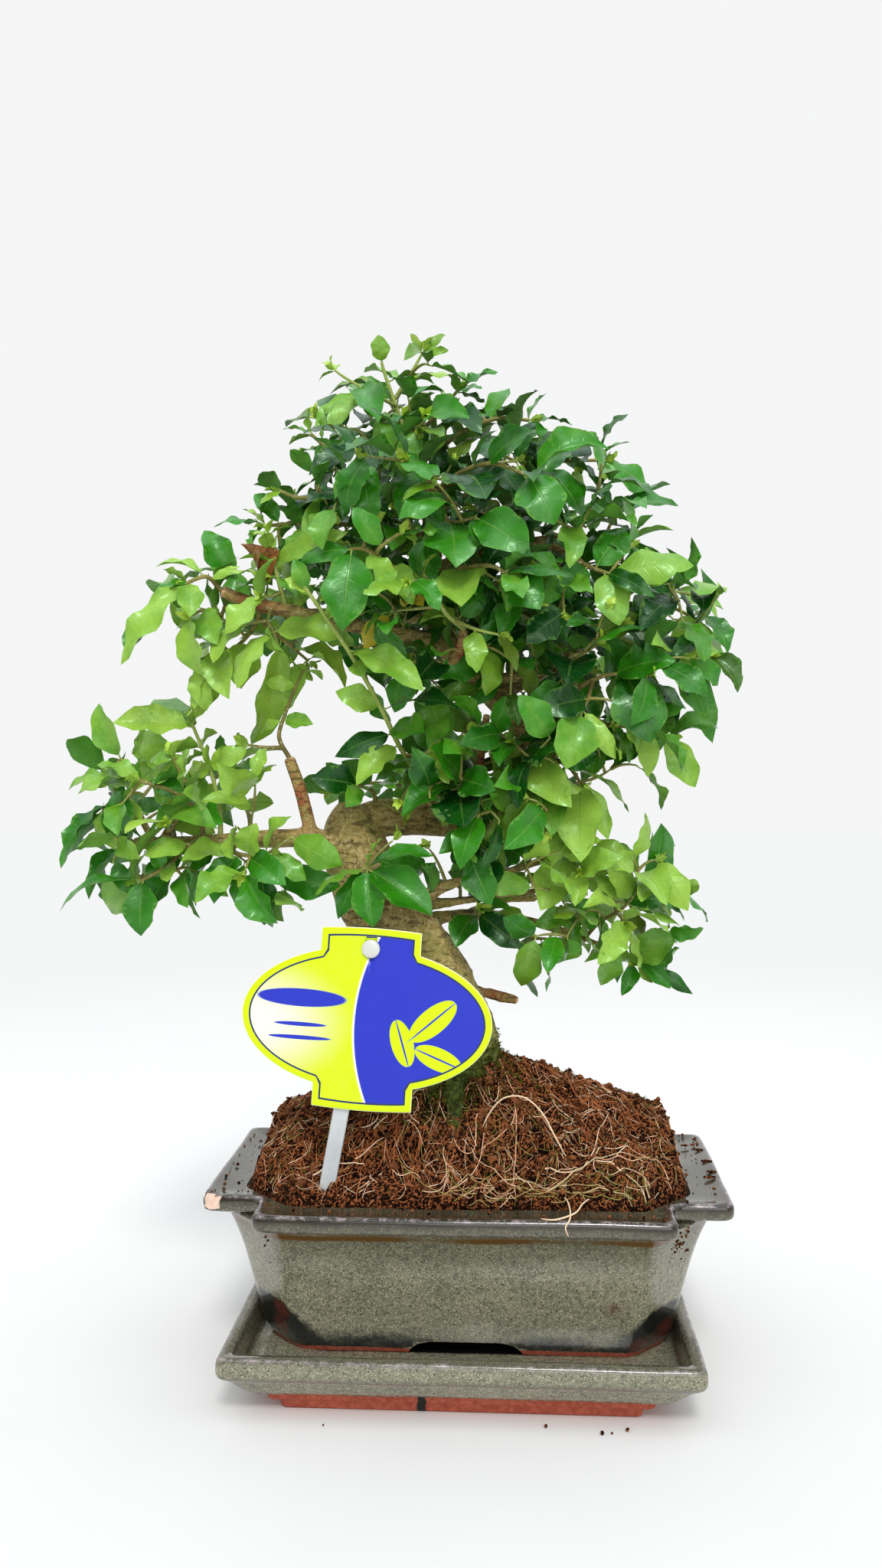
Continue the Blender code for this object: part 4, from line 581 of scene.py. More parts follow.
def potRows():
    # each ring from the foot over the rim to the bottom of the cavity, with its rim shade (darker glaze and
    # painted shade) and its thin glaze (partly a painted highlight)
    rows = []
    for z, x, y, corner in denser(pot["wall"], pot["wallSteps"]):
        # the wall is painted darker just under the rim: painted shade
        rows.append((potRing(x, y, corner, corner, z), 0.42 * max(0.0, (z - 47) / 16), 0.0))
    (rimX, rimY), notch = pot["rimHalf"], pot["notch"]
    for inset, z, shade, thin in pot["rim"]:
        rows.append((potRing(rimX - inset, rimY - inset, *notch, z, notch=True), shade, thin))
    outer, inside = rows[-1][0], [potRing(x, y, corner, corner, z) for z, x, y, corner in pot["cavity"]]
    for share in (0.2, 0.45, 0.7, 0.88):  # the flat top dips a little
        dip = Vector((0, 0, pot["rimDip"] * math.sin(math.pi * share)))
        rows.append(([a.lerp(b, share) - dip for a, b in zip(outer, inside[0])], 0.85, 0.0))
    return rows + [(inside[0], 0.9, 0.15)] + [(ring, 0.6, 0.0) for ring in inside[1:]]


def glazeMarks(point):
    # marks on the glaze at a place on the pot, as numbers that the mesh carries: darker towards the bottom, a
    # brown line and rust
    z = point.z / mm
    wave = 1.6 * noise.noise(point * 33)
    atCorner = clamped((abs(point.x) / mm - 54) / 15) if abs(point.y) > 29 * mm else 0.0
    top, left, right = pot["poolTop"]
    low = top + (left if point.x < 0 else right) * atCorner
    fade, sooner = pot["poolFade"]
    pool = clamped((low + 2 * wave - z) / (fade - sooner * atCorner)) * (0.72 + 0.28 * atCorner)
    lineAt, spread = pot["brownLine"]
    line = math.exp(-((z - lineAt) / spread) ** 2) * (0.7 + 0.5 * wave)
    rust = 0.0
    for at, size, most in pot["rustAt"]:
        rust = max(rust, most * (1 - (point - pointMm(*at)).length / (size * mm)))
    return {"pool": pool if z < 38 else 0.0, "brownLine": line if z < 64 else 0.0,
            "rust": min(1.0, rust) if z < 60 else 0.0}


def buildPot(look):
    shape, rows = Shape(*glaze["carries"]), potRows()
    at, wide, inward = pointMm(*pot["chip"][0]), pot["chip"][1] * mm, Vector(pot["chip"][2]).normalized()
    for ring, shade, thin in rows:
        for point in ring:
            # the foot and the walls over it stay flat, where the arches and the recess are cut
            flat = point.z < 21.5 * mm and abs(point.y) < 41 * mm and abs(point.x) < 74 * mm
            moved = uneven(point, pot["waves"], 0.0 if flat else 1.0)
            chip = 1 - ((point - at).length / wide + 0.5 * noise.noise(point * 420))
            if chip > 0:
                rough = noise.noise_vector(point * 900) * (0.5 * mm)
                moved += inward * (1.9 * mm * min(1.0, chip * 2.2)) + rough
            if abs(point.z - pot["base"] * mm) < 1e-6:
                moved.z = point.z
            shape.addPoint(moved, rimShade=shade, thin=thin, chip=clamped(chip * 4), **glazeMarks(point))
    shape.addFaces(loftFaces(len(rows), len(rows[0][0])))
    piece = makeMesh("glazedPot", shape, [look], sharp=50)
    base, (_, footX, footY, footCorner), inset = pot["base"], pot["wall"][0], pot["footWidth"]
    cutAway(piece, loftSolid("recess", [
        potRing(footX - inset + slope, footY - inset + slope, footCorner, footCorner, base + rise)
        for slope, rise in ((1.0, -2.0), (0.0, pot["footHeight"]))
    ]))
    reach = 90 * mm  # beyond the pot
    for width, front in pot["arches"]:
        rings = []
        for slope, rise in pot["archProfile"]:
            half = (width / 2 - slope) * mm
            rings.append(fourCorners(*((half, reach) if front else (reach, half)), (base + rise) * mm))
        cutAway(piece, loftSolid("arch", rings))
    drainX, radius, top = pot["drain"]
    for side in (-1, 1):
        ends = [pointMm(side * drainX, 0, z) for z in (base, top)]
        cutAway(piece, loftSolid("drain", tubeRings(ends, [radius * mm] * 2, 32)))
    piece.data.set_sharp_from_angle(angle=math.radians(50))
    return settle(piece, "glaze", "pot")


print("pottery")
buildSaucer(makeGlaze("saucerGlaze", saucer["glazeStart"], saucer["glazeWaves"]))
potPiece = buildPot(makeGlaze("potGlaze", pot["glazeStart"], pot["glazeWaves"]))

screen = {"threadsPerMetre": 900, "colours": (paint(28, 31, 28), paint(58, 62, 55))}


def makeScreenPlastic():
    look = Finish("screenPlastic", {"Roughness": 0.55})
    threads = look.put("TexWave", {"Vector": look.place, "Scale": screen["threadsPerMetre"]})["Fac"]
    look.startWith(look.times(*look.mottled(300.0)), *screen["colours"])
    return look.done((threads, 0.4, 0.2 * mm))


screenPlastic = makeScreenPlastic()
for node in ("drain_screen_left", "drain_screen_right"):
    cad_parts[node].material_slots[0].material = screenPlastic


# soil, crumbs, loose roots and moss

soil = {
    "edge": 69.6,
    "crest": 115,
    "step": (17, 15),  # how steeply it rises from the pot's wall, and how much less at the front
    "frontFall": 12,
    "wallRing": (84.2, 48.2, 19.6),
    "rootCentre": (-7, 0),
    "rootRadius": 18.5,
    "holeDepth": 90,
    # height, half width, half depth and corner bevel of the rings below the edge
    "below": [(21.3, 72.7, 37.2, 13.9), (28, 75.7, 40.2, 14.9), (50, 79.7, 43.7, 16.9),
              (66.5, 84.3, 48.3, 19.3)],
    "ringSteps": 300,
    "inwardSteps": 84,
    "crumb": 3.4,  # height of the crumbly surface
    "carries": ("mossy", "tone", "deepness"),
    "colours": (paint(4, 1, 0), paint(31, 11, 4), paint(146, 86, 50)),
    "green": paint(52, 62, 26),
    "tan": paint(156, 98, 60),
    # painted shade for the pits between lumps
    "pit": paint(16, 6, 2),
}


def soilOutline(halfX, halfY, corner, z):
    # points round the pot's bevelled inside, evenly spaced, from the middle of the front
    x, y = halfX - corner, halfY - corner
    right = [(0, -halfY), (x, -halfY), (halfX, -y), (halfX, y), (x, halfY)]
    marks = [Vector(mark) for mark in right] + [Vector((-across, back)) for across, back in right[::-1]]
    spans = [(b - a).length for a, b in zip(marks, marks[1:])]
    total, ring = sum(spans), []
    for k in range(soil["ringSteps"]):
        left, i = total * k / soil["ringSteps"], 0
        while left > spans[i]:
            left -= spans[i]
            i += 1
        place = marks[i].lerp(marks[i + 1], left / spans[i])
        ring.append(pointMm(place.x, place.y, z))
    return ring


def mound(x, y, inward):
    # height of the soil, with inward 0 at the pot's wall and 1 at the trunk, all in millimetres
    front = max(0.0, -y / 50.0)
    step = soil["step"][0] - soil["step"][1] * front
    rise = soil["crest"] - soil["frontFall"] * front - soil["edge"] - step
    wave = math.sin(x * 0.31 + 1.3) * math.cos(y * 0.27) + 0.7 * math.sin(x * 0.11 - y * 0.17 + 0.5)
    lumps = wave + 0.6 * math.sin(x * 0.53 + y * 0.71)
    fade = min(1.0, inward * 6.0) * min(1.0, (1.0 - inward) * 5.0 + 0.25)
    steep = 1.0 - math.exp(-inward * 55.0)
    side = 1.2 * (x / 86.0) * (1.0 - inward)
    return soil["edge"] + step * steep + rise * inward ** (1.15 + 0.6 * front) + side + lumps * fade


def crumble(place, inward):
    # small lumps and pits over the mound
    rough = noise.fractal(place * 230, 0.9, 2.1, 4) + 0.5 * abs(noise.noise(place * 520))
    return rough * soil["crumb"] * mm * min(1.0, inward * 50)


def makePeat():
    look = Finish("dampPeat", {"Roughness": 0.93, "Specular IOR Level": 0.08})
    broad, fine = look.mottled(190.0, 5.5)
    dark, mid, pale = soil["colours"]
    look.startWith(broad, dark, mid)
    look.cover(look.between(fine, 0.46, 0.8), pale)
    green = look.plus(look.carried("mossy"), look.timesPlus(fine, 0.5, -0.25))
    look.cover(look.between(green, 0.35, 0.7), soil["green"])
    look.cover(look.carried("tone"), soil["tan"])
    # the pits between lumps get painted shade
    look.cover(look.carried("deepness"), soil["pit"])
    return look.done((fine, 0.9, 0.6 * mm))


def buildSoil(look):
    shape = Shape(*soil["carries"])
    for z, x, y, corner in soil["below"]:
        for point in soilOutline(x, y, corner, z):
            shape.addPoint(point)
    wall = soilOutline(*soil["wallRing"], soil["edge"])
    centre, hole = pointMm(*soil["rootCentre"], 0), []
    for k in range(len(wall)):
        angle = 2 * math.pi * k / len(wall) - math.pi / 2
        hole.append(centre + (soil["rootRadius"] - 1.0) * mm * Vector((math.cos(angle), math.sin(angle), 0)))
    for step in range(soil["inwardSteps"] + 1):
        inward = (step / soil["inwardSteps"]) ** 1.25
        for start, end in zip(wall, hole):
            x, y = start.x + (end.x - start.x) * inward, start.y + (end.y - start.y) * inward
            place = Vector((x, y, mound(x / mm, y / mm, inward) * mm))
            lump = crumble(Vector((x, y, 0)), inward)
            place.z += lump
            nearTrunk = max(0.0, 1.25 - (place.xy - centre.xy).length / (32 * mm))
            patch = 0.28 * max(0.0, noise.noise(place * 55 + Vector((7, 1, 0))))
            mossy = nearTrunk * (0.4 + 0.6 * (0.5 - 0.5 * y / (50 * mm))) + patch
            moved = uneven(place, ((400, 0.35),), min(1, inward * 30))
            # deeper pits carry more painted shade
            shape.addPoint(moved, mossy=mossy, deepness=clamped(0.2 - lump / (0.8 * mm), high=0.97))
    for point in hole:
        shape.addPoint(Vector((point.x, point.y, soil["holeDepth"] * mm)))
    shape.addFaces(loftFaces(len(shape.points) // len(wall), len(wall)))
    return settle(makeMesh("pottedSoil", shape, [look], sharp=80), "soil", "soil")


def ground(piece):
    # gives the height and slope of a surface at a place, in the pot's own frame
    tree = skinOf(piece)
    return lambda x, y: tree.ray_cast(Vector((x, y, 0.2)), -upward)[:2]


def insideSoil(x, y, margin):
    # whether a place, in metres, lies on the soil and not under the trunk
    halfX, halfY, corner = (part * mm for part in soil["wallRing"])
    ax, ay = abs(x) + margin, abs(y) + margin
    if ax > halfX or ay > halfY or ax + ay > halfX + halfY - corner:
        return False
    return (Vector((x, y)) - Vector(soil["rootCentre"]) * mm).length > soil["rootRadius"] * mm * 0.96


def onRim(x, y):
    # whether a place, in metres, lies on the rim's flat top
    (wide, deep), (notchX, notchY), margin = pot["rimHalf"], pot["notch"], 2.5
    ax, ay = abs(x) / mm, abs(y) / mm
    inNotch = ax >= wide - notchX - margin and ay >= deep - notchY - margin
    return ax < wide - margin and ay < deep - margin and not inNotch


crumbs = {
    "count": 2100,
    "sizes": (0.5, 0.7, 0.9, 1.2, 1.7),
    "tones": (0, 0, 0.15, 0.4, 0.75),
    "strays": 640,  # tries for crumbs spilt on the rim
    "straySizes": (0.25, 0.35, 0.5, 0.8),
    "rimTop": 71.3 * mm,
    # across, back and size of larger bits on the rim, and of those on the table
    "rimBits": [(96, 20, 1.3), (97, 5, 1.5), (97, -8, 1.3), (95, -15, 1.6), (91, 26, 1.1)],
    "spilt": [(30.5, -69.5, 1.6), (50, -73.2, 1.8), (53.5, -72.6, 1.1), (59, -70.5, 1.7), (-48, -72.5, 0.9)],
    "clinging": 60,  # specks that cling to the bevels under the rim
    "clingingFrom": (Vector((-106, -80, 56)), Vector((110, -74, 57))),
    "clingingSizes": (0.25, 0.35, 0.5, 0.7),
}

# a lump with twelve corners: the top, five, five turned the other way, and the bottom
knob = [(0.9, 0), (0.28, 0.85), (-0.72, 0.53), (-0.72, -0.53), (0.28, -0.85)]
knob = [(x, y, 0.45) for x, y in knob] + [(-knob[k][0], knob[k][1], -0.45) for k in (2, 1, 0, 4, 3)]
knob = [Vector(corner).normalized() for corner in [(0, 0, 1)] + knob + [(0, 0, -1)]]
knobFaces = [(0, k + 1, (k + 1) % 5 + 1) for k in range(5)]
knobFaces += [(k + 1, (k - 1) % 5 + 6, k + 6) for k in range(5)]
knobFaces += [(k + 1, k + 6, (k + 1) % 5 + 1) for k in range(5)]
knobFaces += [(11, (k + 1) % 5 + 6, k + 6) for k in range(5)]


def buildCrumbs(look, surface):
    draw = random.Random("crumbs")
    shape = Shape(*soil["carries"])

    def addBit(spot, size, low, high, corners=knob, tone=0.0):
        points = [spot + corner * size * draw.uniform(low, high) for corner in corners]
        shape.add(points, knobFaces, tone=tone)

    while len(shape.points) < crumbs["count"] * len(knob):
        x, y = draw.uniform(-84, 84) * mm, draw.uniform(-48, 48) * mm
        size = draw.choice(crumbs["sizes"]) * mm
        if not insideSoil(x, y, 1.5 * mm):
            continue
        spot = surface(x, y)[0]
        if spot is None:
            continue
        turn = Quaternion((draw.uniform(-1, 1), draw.uniform(-1, 1), draw.uniform(-1, 1)), draw.uniform(0, 3))
        stretch = Vector((draw.uniform(0.6, 1.3), draw.uniform(0.6, 1.3), draw.uniform(0.5, 1.0)))
        lump = []
        for corner in knob:
            reach = size * draw.uniform(0.7, 1.25)
            stretched = Vector([corner[k] * stretch[k] * reach for k in range(3)])
            lump.append(spot + turn @ stretched + Vector((0, 0, size * 0.25)))
        mossy = 0.3 * draw.random() if draw.random() < 0.2 else 0.0
        shape.add(lump, knobFaces, mossy=mossy, tone=draw.choice(crumbs["tones"]))
    for x, y, size in crumbs["spilt"]:
        addBit(pointMm(x, y, size * 0.5) - potShift, size * 0.5 * mm, 0.7, 1.0)
    for _ in range(crumbs["strays"]):
        x, y = draw.uniform(-97, 97) * mm, draw.uniform(-63, 63) * mm
        if insideSoil(x, y, -1.5 * mm) or not onRim(x, y):
            continue
        size = draw.choice(crumbs["straySizes"]) * mm
        spot = Vector((x, y, crumbs["rimTop"] + size * 0.3))
        corners = [corner * size * draw.uniform(0.6, 1.2) for corner in knob]
        shape.add([spot + corner for corner in corners], knobFaces, tone=draw.choice((0.0, 0.0, 0.4)))
    flat = [Vector((corner[0] * 2.0, corner[1] * 0.8, corner[2] * 0.5)) for corner in knob]
    for x, y, size in crumbs["rimBits"]:
        addBit(Vector((x * mm, y * mm, crumbs["rimTop"] + size * 0.2 * mm)), size * mm, 0.85, 1.0, flat)
    skin = skinOf(potPiece)
    left, right = crumbs["clingingFrom"]
    for n in range(crumbs["clinging"]):
        away = Vector((draw.gauss(0, 3.4), draw.gauss(0, 3.4), draw.gauss(0, 4.2)))
        start = (left if n % 6 == 0 else right) + away
        spot = skin.ray_cast(start * mm, Vector((-start.x / 160, 0.7, 0)).normalized())[0]
        if spot is not None:
            addBit(spot, draw.choice(crumbs["clingingSizes"]) * mm, 0.5, 1.2)
    return settle(makeMesh("peatCrumbs", shape, [look], sharp=30), "soil")


roots = {
    "fibres": 2900,
    "fibreTones": (0, 0.05, 0.15, 0.25, 0.3, 0.4, 0.5, 0.7, 1),
    "fibreRadii": (0.1, 0.12, 0.15, 0.21),
    # one fibre in so many rises out of the soil: how much at each step, in front and behind
    "standing": (16, 0.45, 0.08),
    # thicker pale roots at the front: start, heading and steps
    "thick": [((6, -33), 0.3, 26), ((30, -38), 0.15, 22), ((44, -30), -0.4, 20), ((18, -20), -1.2, 14),
              ((8, -44), 0.02, 24), ((26, -45), 0.06, 26), ((-36, -28), 0.9, 12), ((70, -30), 2.9, 20),
              ((-60, -40), 0.3, 12), ((40, -46), 0.02, 22)],
    "thickRadius": 0.31 * mm,
    "edge": 34,  # thin green ones along the front edge
    "edgeRadius": 0.2 * mm,
    "arching": [
        [(37, -45, 73), (38, -52, 73.8), (38.5, -60, 73), (38, -64.8, 72), (36.5, -65.6, 69.5),
         (37.5, -65.6, 66.5)],
        [(46, -46, 73), (43, -55, 74.2), (40, -62, 73.4), (33, -64.6, 71.9), (28, -63.8, 71.9)],
        [(5, -27, 89), (8, -29, 98), (14, -30, 105.5), (22, -31, 106.5), (29, -32, 101), (34, -33, 92),
         (38, -34, 85)],
    ],
    "pale": paint(236, 206, 172),
    "tan": paint(172, 98, 50),
    "dark": paint(34, 13, 5),
    "green": paint(116, 122, 40),
}


def makeRootSkin():
    look = Finish("rootSkin", {"Roughness": 0.7, "Specular IOR Level": 0.2})
    broad, fine = look.mottled(260.0)
    tone = look.timesPlus(fine, 0.2, look.carried("tone"))
    look.startWith(look.between(tone, 0.1, 0.5), roots["dark"], roots["tan"])
    look.cover(look.between(tone, 0.5, 1.1), roots["pale"])
    look.cover(look.carried("green"), roots["green"])
    return look.done((broad, 0.3, 0.2 * mm))


def wanderingRoot(draw, surface, start, heading, steps, stride, bend, lift):
    # points of a root that wanders over the soil
    x, y = start
    path, swing = [], 0.0
    phase = draw.uniform(0, 6.28)
    for k in range(steps):
        spot = surface(x, y)[0]
        if spot is None or not insideSoil(x, y, 0.0):
            break
        arch = math.sin(math.pi * k / max(1, steps - 1)) * lift
        path.append(spot + Vector((0, 0, 0.15 * mm + arch * (0.6 + 0.4 * math.sin(phase + k * 1.3)))))
        swing = 0.7 * swing + draw.uniform(-bend, bend)
        heading += swing
        x += math.cos(heading) * stride
        y += math.sin(heading) * stride
    for _ in range(2):  # it spans the pits
        for before, point, after in zip(path, path[1:], path[2:]):
            point.z = max(point.z, (before.z + after.z) / 2)
    return path


def buildRoots(look, surface):
    draw = random.Random("fibres")
    shape = Shape("tone", "green")
    each, rise, riseBehind = roots["standing"]
    made = 0
    while made < roots["fibres"]:
        x, y = draw.uniform(-83, 83) * mm, draw.uniform(-47.5, 47.5) * mm
        if not insideSoil(x, y, 0.2 * mm):
            continue
        tone = draw.choice(roots["fibreTones"])
        steps = draw.randint(4, 9) if made % 3 else draw.randint(9, 15)
        stride, heading = draw.uniform(1.1, 2.0) * mm, draw.uniform(0, 6.28)
        lift = draw.uniform(0.05, 0.8) * mm
        path = wanderingRoot(draw, surface, (x, y), heading, steps, stride, 0.34, lift)
        if len(path) < 3:
            continue
        if made % each == 0:
            up = (rise if y < -12 * mm else riseBehind) * mm
            path = [point + Vector((0, 0, up * k)) for k, point in enumerate(path)]
        radii = tapered(draw.choice(roots["fibreRadii"]) * mm, len(path), 0.5)
        front = clamped((-y / mm - 26) / 14) * clamped((x / mm - 5) / 30)
        green = 0.75 if draw.random() < 0.05 + 0.4 * front else 0.0
        shape.addTube(path, radii, 3, tone=tone, green=green)
        made += 1
    for (x, y), heading, steps in roots["thick"]:
        place, lift = (x * mm, y * mm), draw.uniform(0.8, 2.4) * mm
        path = wanderingRoot(draw, surface, place, heading, steps, 2.0 * mm, 0.16, lift)
        if len(path) > 4:
            path, radii = smoothPath(path, tapered(roots["thickRadius"], len(path), 0.5), 2)
            shape.addTube(path, radii, 5, tone=draw.uniform(0.65, 1.0), green=0.4 if y < -43 else 0.0)
    for _ in range(roots["edge"]):
        place = (draw.uniform(-6, 74) * mm, draw.uniform(-48.5, -42) * mm)
        heading, steps = draw.choice((0.0, math.pi)) + draw.uniform(-0.3, 0.3), draw.randint(8, 16)
        lift = draw.uniform(0.3, 2.2) * mm
        path = wanderingRoot(draw, surface, place, heading, steps, 1.8 * mm, 0.12, lift)
        if len(path) > 4:
            path, radii = smoothPath(path, tapered(roots["edgeRadius"], len(path), 0.4), 2)
            shape.addTube(path, radii, 4, tone=draw.uniform(0.5, 1.0), green=draw.choice((0.0, 0.5, 0.8)))
    for rows in roots["arching"]:
        radii = [0.3 * mm] * (len(rows) - 1) + [0.14 * mm]
        shape.addTube(*smoothPath([pointMm(*row) for row in rows], radii, 4), 6, tone=0.95)
    return settle(makeMesh("looseRoots", shape, [look], sharp=70), "soil")


moss = {
    "colours": (paint(34, 40, 12), paint(84, 98, 26), paint(160, 164, 60)),
    "tufts": 900,
    "tones": (0.1, 0.3, 0.5, 0.9),
    "climbing": 1500,  # tries for tufts that creep up the trunk
    "climbingTones": (0.05, 0.3, 0.7),
}


def makeMoss():
    look = Finish("mossGreen", {"Roughness": 0.9, "Specular IOR Level": 0.1})
    dark, mid, pale = moss["colours"]
    look.startWith(look.carried("tone"), dark, mid)
    look.cover(look.times(look.times(*look.mottled(120.0)), 0.5), pale)
    return look.done()


def shaken(draw, size):
    return Vector([draw.uniform(-size, size) for _ in range(3)])


def addTuft(shape, draw, spot, normal, size, blades, tone):
    # a tuft of short pointed blades
    for _ in range(blades):
        lean = (normal + shaken(draw, 0.9)).normalized()
        side = lean.orthogonal().normalized()
        foot = spot + Vector([draw.uniform(-1, 1) * size * 0.5 for _ in range(3)])
        width = size * draw.uniform(0.12, 0.22)
        ring = [foot + Quaternion(lean, angle) @ side * width for angle in (0.0, 2.1, 4.2)]
        top = foot + lean * size * draw.uniform(0.6, 1.3)
        shade = tone * draw.uniform(0.6, 1.3)
        shape.add(ring + [top], [(0, 1, 3), (1, 2, 3), (2, 0, 3), (2, 1, 0)], tone=shade)


def buildMoss(look, surface, bark):
    draw = random.Random("moss")
    shape = Shape("tone")
    centre = Vector(soil["rootCentre"]) * mm
    tufts = 0
    while tufts < moss["tufts"]:
        if draw.random() < 0.62:  # round the foot of the trunk
            angle, reach = draw.uniform(0, 6.28), (16 + abs(draw.gauss(0, 9))) * mm
            if math.sin(angle) > 0 and draw.random() < 0.55:
                continue
            x, y = centre.x + math.cos(angle) * reach, centre.y + math.sin(angle) * reach
        else:
            x, y = draw.uniform(-82, 82) * mm, draw.uniform(-47, 47) * mm
            if noise.noise(Vector((x, y, 0.31)) * 60) < 0.12:
                continue
        if not insideSoil(x, y, 1.5 * mm):
            continue
        spot, normal = surface(x, y)
        if spot is None:
            continue
        size, blades = draw.uniform(0.7, 1.7) * mm, draw.randint(5, 9)
        addTuft(shape, draw, spot, normal, size, blades, draw.choice(moss["tones"]))
        tufts += 1
    for _ in range(moss["climbing"]):
        angle, z = draw.uniform(-3.2, 0.1), draw.uniform(88, 130) * mm
        if draw.random() < (z / mm - 100) / 32:
            continue
        outward = Vector((math.cos(angle), math.sin(angle), 0))
        spot, normal = bark.ray_cast(Vector((centre.x, centre.y, z)) + 45 * mm * outward, -outward)[:2]
        if spot is not None:
            size, blades = draw.uniform(0.8, 1.9) * mm, draw.randint(4, 7)
            addTuft(shape, draw, spot, normal, size, blades, draw.choice(moss["climbingTones"]))
    return settle(makeMesh("mossTufts", shape, [look], sharp=30), "soil")


# trunk and branches, x, y, z and radius in millimetres

trunk = {
    "voxel": 0.84 * mm,
    "lower": [
        (-7, 0, 84, 18.5), (-7, 0, 117, 18.5), (-8, -1, 124, 17.6), (-10, -2, 134, 16.8),
        (-14, -3, 145, 16.2), (-21, -4, 157, 16), (-29, -5, 168, 15.8), (-36, -5, 179, 15.6),
        (-42, -5, 190, 14.6), (-46, -4, 200, 13.2), (-48, -2, 209, 11), (-48, 1, 216, 7.5),
    ],
    "lowerSides": 48,
    "upper": [
        (-47, 0, 208, 8.5), (-36, 6, 212, 8), (-20, 11, 212, 7.3), (-1, 12, 211, 7), (14, 10, 214, 7.1),
        (25, 8, 222, 7.4), (30, 7, 233, 7.1), (27, 6, 245, 6.6), (17, 4, 257, 6.2), (4, 2, 270, 6),
        (-8, 1, 283, 5.6), (-14, 0, 298, 5), (-15, 2, 318, 4.4), (-15, 3, 338, 3.8), (-20, 4, 356, 3),
        (-26, 3, 372, 2.4),
    ],
    "branches": [
        [(-40, -8, 193, 5), (-54, -18, 202, 4.2), (-61, -20, 205, 4), (-79, -22, 205, 3.4),
         (-94, -22, 204, 3), (-112, -20, 203, 2.6), (-133, -18, 203, 2.3)],
        [(-61, -20, 205, 2.6), (-65, -20, 222, 2.4), (-70, -20, 237, 2.3)],
        [(-125, -18, 203, 1.6), (-131, -17, 214, 1.4), (-137, -16, 222, 1.2)],
        [(-122, -18, 203, 1.6), (-115, -22, 213, 1.3), (-108, -24, 218, 1.1)],
        [(-12, 0, 284, 3.9), (-26, -12, 286, 3.2), (-49, -20, 290, 2.8), (-68, -24, 294, 2.8),
         (-83, -25, 297, 2.6), (-95, -26, 302, 2.3)],
        [(20, 4, 254, 3), (30, -10, 258, 2.3), (44, -20, 264, 1.9)],
        [(5, 0, 268, 2.4), (20, -10, 269, 1.8), (35, -14, 271, 1.5)],
        [(-15, 2, 312, 2.8), (12, -8, 319, 2.1), (29, -18, 321, 1.7), (45, -25, 311, 1.5)],
        [(12, 4, 262, 3), (30, 16, 272, 2.3), (44, 25, 282, 2), (66, 30, 296, 1.7)],
        [(-26, 0, 168, 4.4), (-10, 8, 171, 2.8), (4, 14, 171, 2.1), (21, 18, 169, 1.8), (44, 20, 162, 1.5)],
        [(-28, -6, 172, 4), (-14, -14, 183, 2.7), (-2, -14, 188, 1.7), (11, -10, 190, 1.4),
         (31, 0, 195, 1.1)],
        [(-26, -2, 176, 2.8), (6, -4, 180, 1.4), (43, 8, 184, 1.1)],
        [(8, 8, 213, 3.4), (12, 2, 206, 2.6), (14, -4, 202, 2.3)],
        [(3, 8, 213, 2.2), (5, -6, 234, 1.7), (8, -12, 254, 1.5)],
        [(-14, 10, 214, 2.6), (-18, -4, 223, 1.9), (-20, -14, 231, 1.5)],
        [(-4, 2, 272, 3), (-7, -18, 272, 2.2), (-2, -30, 278, 2), (0, -35, 285, 1.7)],
        [(-14, 2, 147, 3), (9, 12, 138, 1.8), (20, 14, 135, 1.4)],
        [(-6, 12, 212, 3.4), (-8, 36, 219, 2.5), (-14, 60, 228, 1.8)],
        [(16, 4, 258, 3), (14, 34, 270, 2.2), (8, 60, 284, 1.7)],
        [(-12, 1, 292, 3), (-38, 26, 300, 2.3), (-62, 42, 303, 1.8)],
        [(-15, 3, 322, 2.6), (-4, 30, 334, 1.9), (8, 52, 346, 1.5)],
        [(-17, 4, 346, 2.2), (-22, 26, 362, 1.6), (-24, 40, 372, 1.3)],
        [(0, 14, 171, 2.4), (14, 28, 176, 1.8), (28, 36, 176, 1.5)],
    ],
    # roots that flare into the soil
    "flare": [
        [(-9, -6, 126, 8), (-14, -15, 109, 4.4), (-17, -21, 95, 2.8), (-19, -25, 84, 2)],
        [(-5, -6, 126, 8), (-5, -17, 108, 4.6), (-4, -24, 96, 3.2), (-3, -29, 84, 2.2)],
        [(-12, 0, 126, 8), (-24, -3, 107, 4.6), (-33, -6, 92, 2.6)],
        [(0, 0, 124, 8), (9, -4, 108, 4.8), (17, -8, 95, 2.6)],
        [(-2, 6, 127, 9), (4, 17, 112, 6), (9, 27, 102, 3.5)],
        [(-12, 6, 127, 9), (-20, 17, 112, 6), (-27, 25, 102, 3.5)],
    ],
    "branchSides": 20,
    "skin": 0.12 * mm,  # what the branches gain, because making one skin of them thins them
    # where wood is cut or broken, and how wide
    "cuts": [((-70, -20, 237), 3.2), ((14, -4, 202), 3.2), ((8, -12, 254), 2.4), ((20, 14, 135), 2.2),
             ((-95, -26, 302), 3.4)],
    # reddish peeling stubs
    "red": [((-65, -20, 222), 16), ((5, -6, 236), 20), ((-19, -6, 224), 10), ((-2, -30, 278), 12),
            ((12, 0, 205), 9), ((-82, -25, 298), 14), ((12, 12, 137), 12)],
    "bark": (paint(106, 90, 42), paint(172, 150, 84), paint(210, 190, 130)),
    "dots": (paint(66, 54, 28), paint(208, 196, 150)),
    "algae": paint(104, 116, 52),
    "peeling": paint(146, 84, 50),
    "greenFoot": paint(88, 124, 34),
    "moss": (paint(34, 42, 14), paint(88, 104, 40)),
    "cutWood": paint(206, 168, 122),
    # painted shade in the bark's creases
    "crease": paint(62, 52, 26),
}


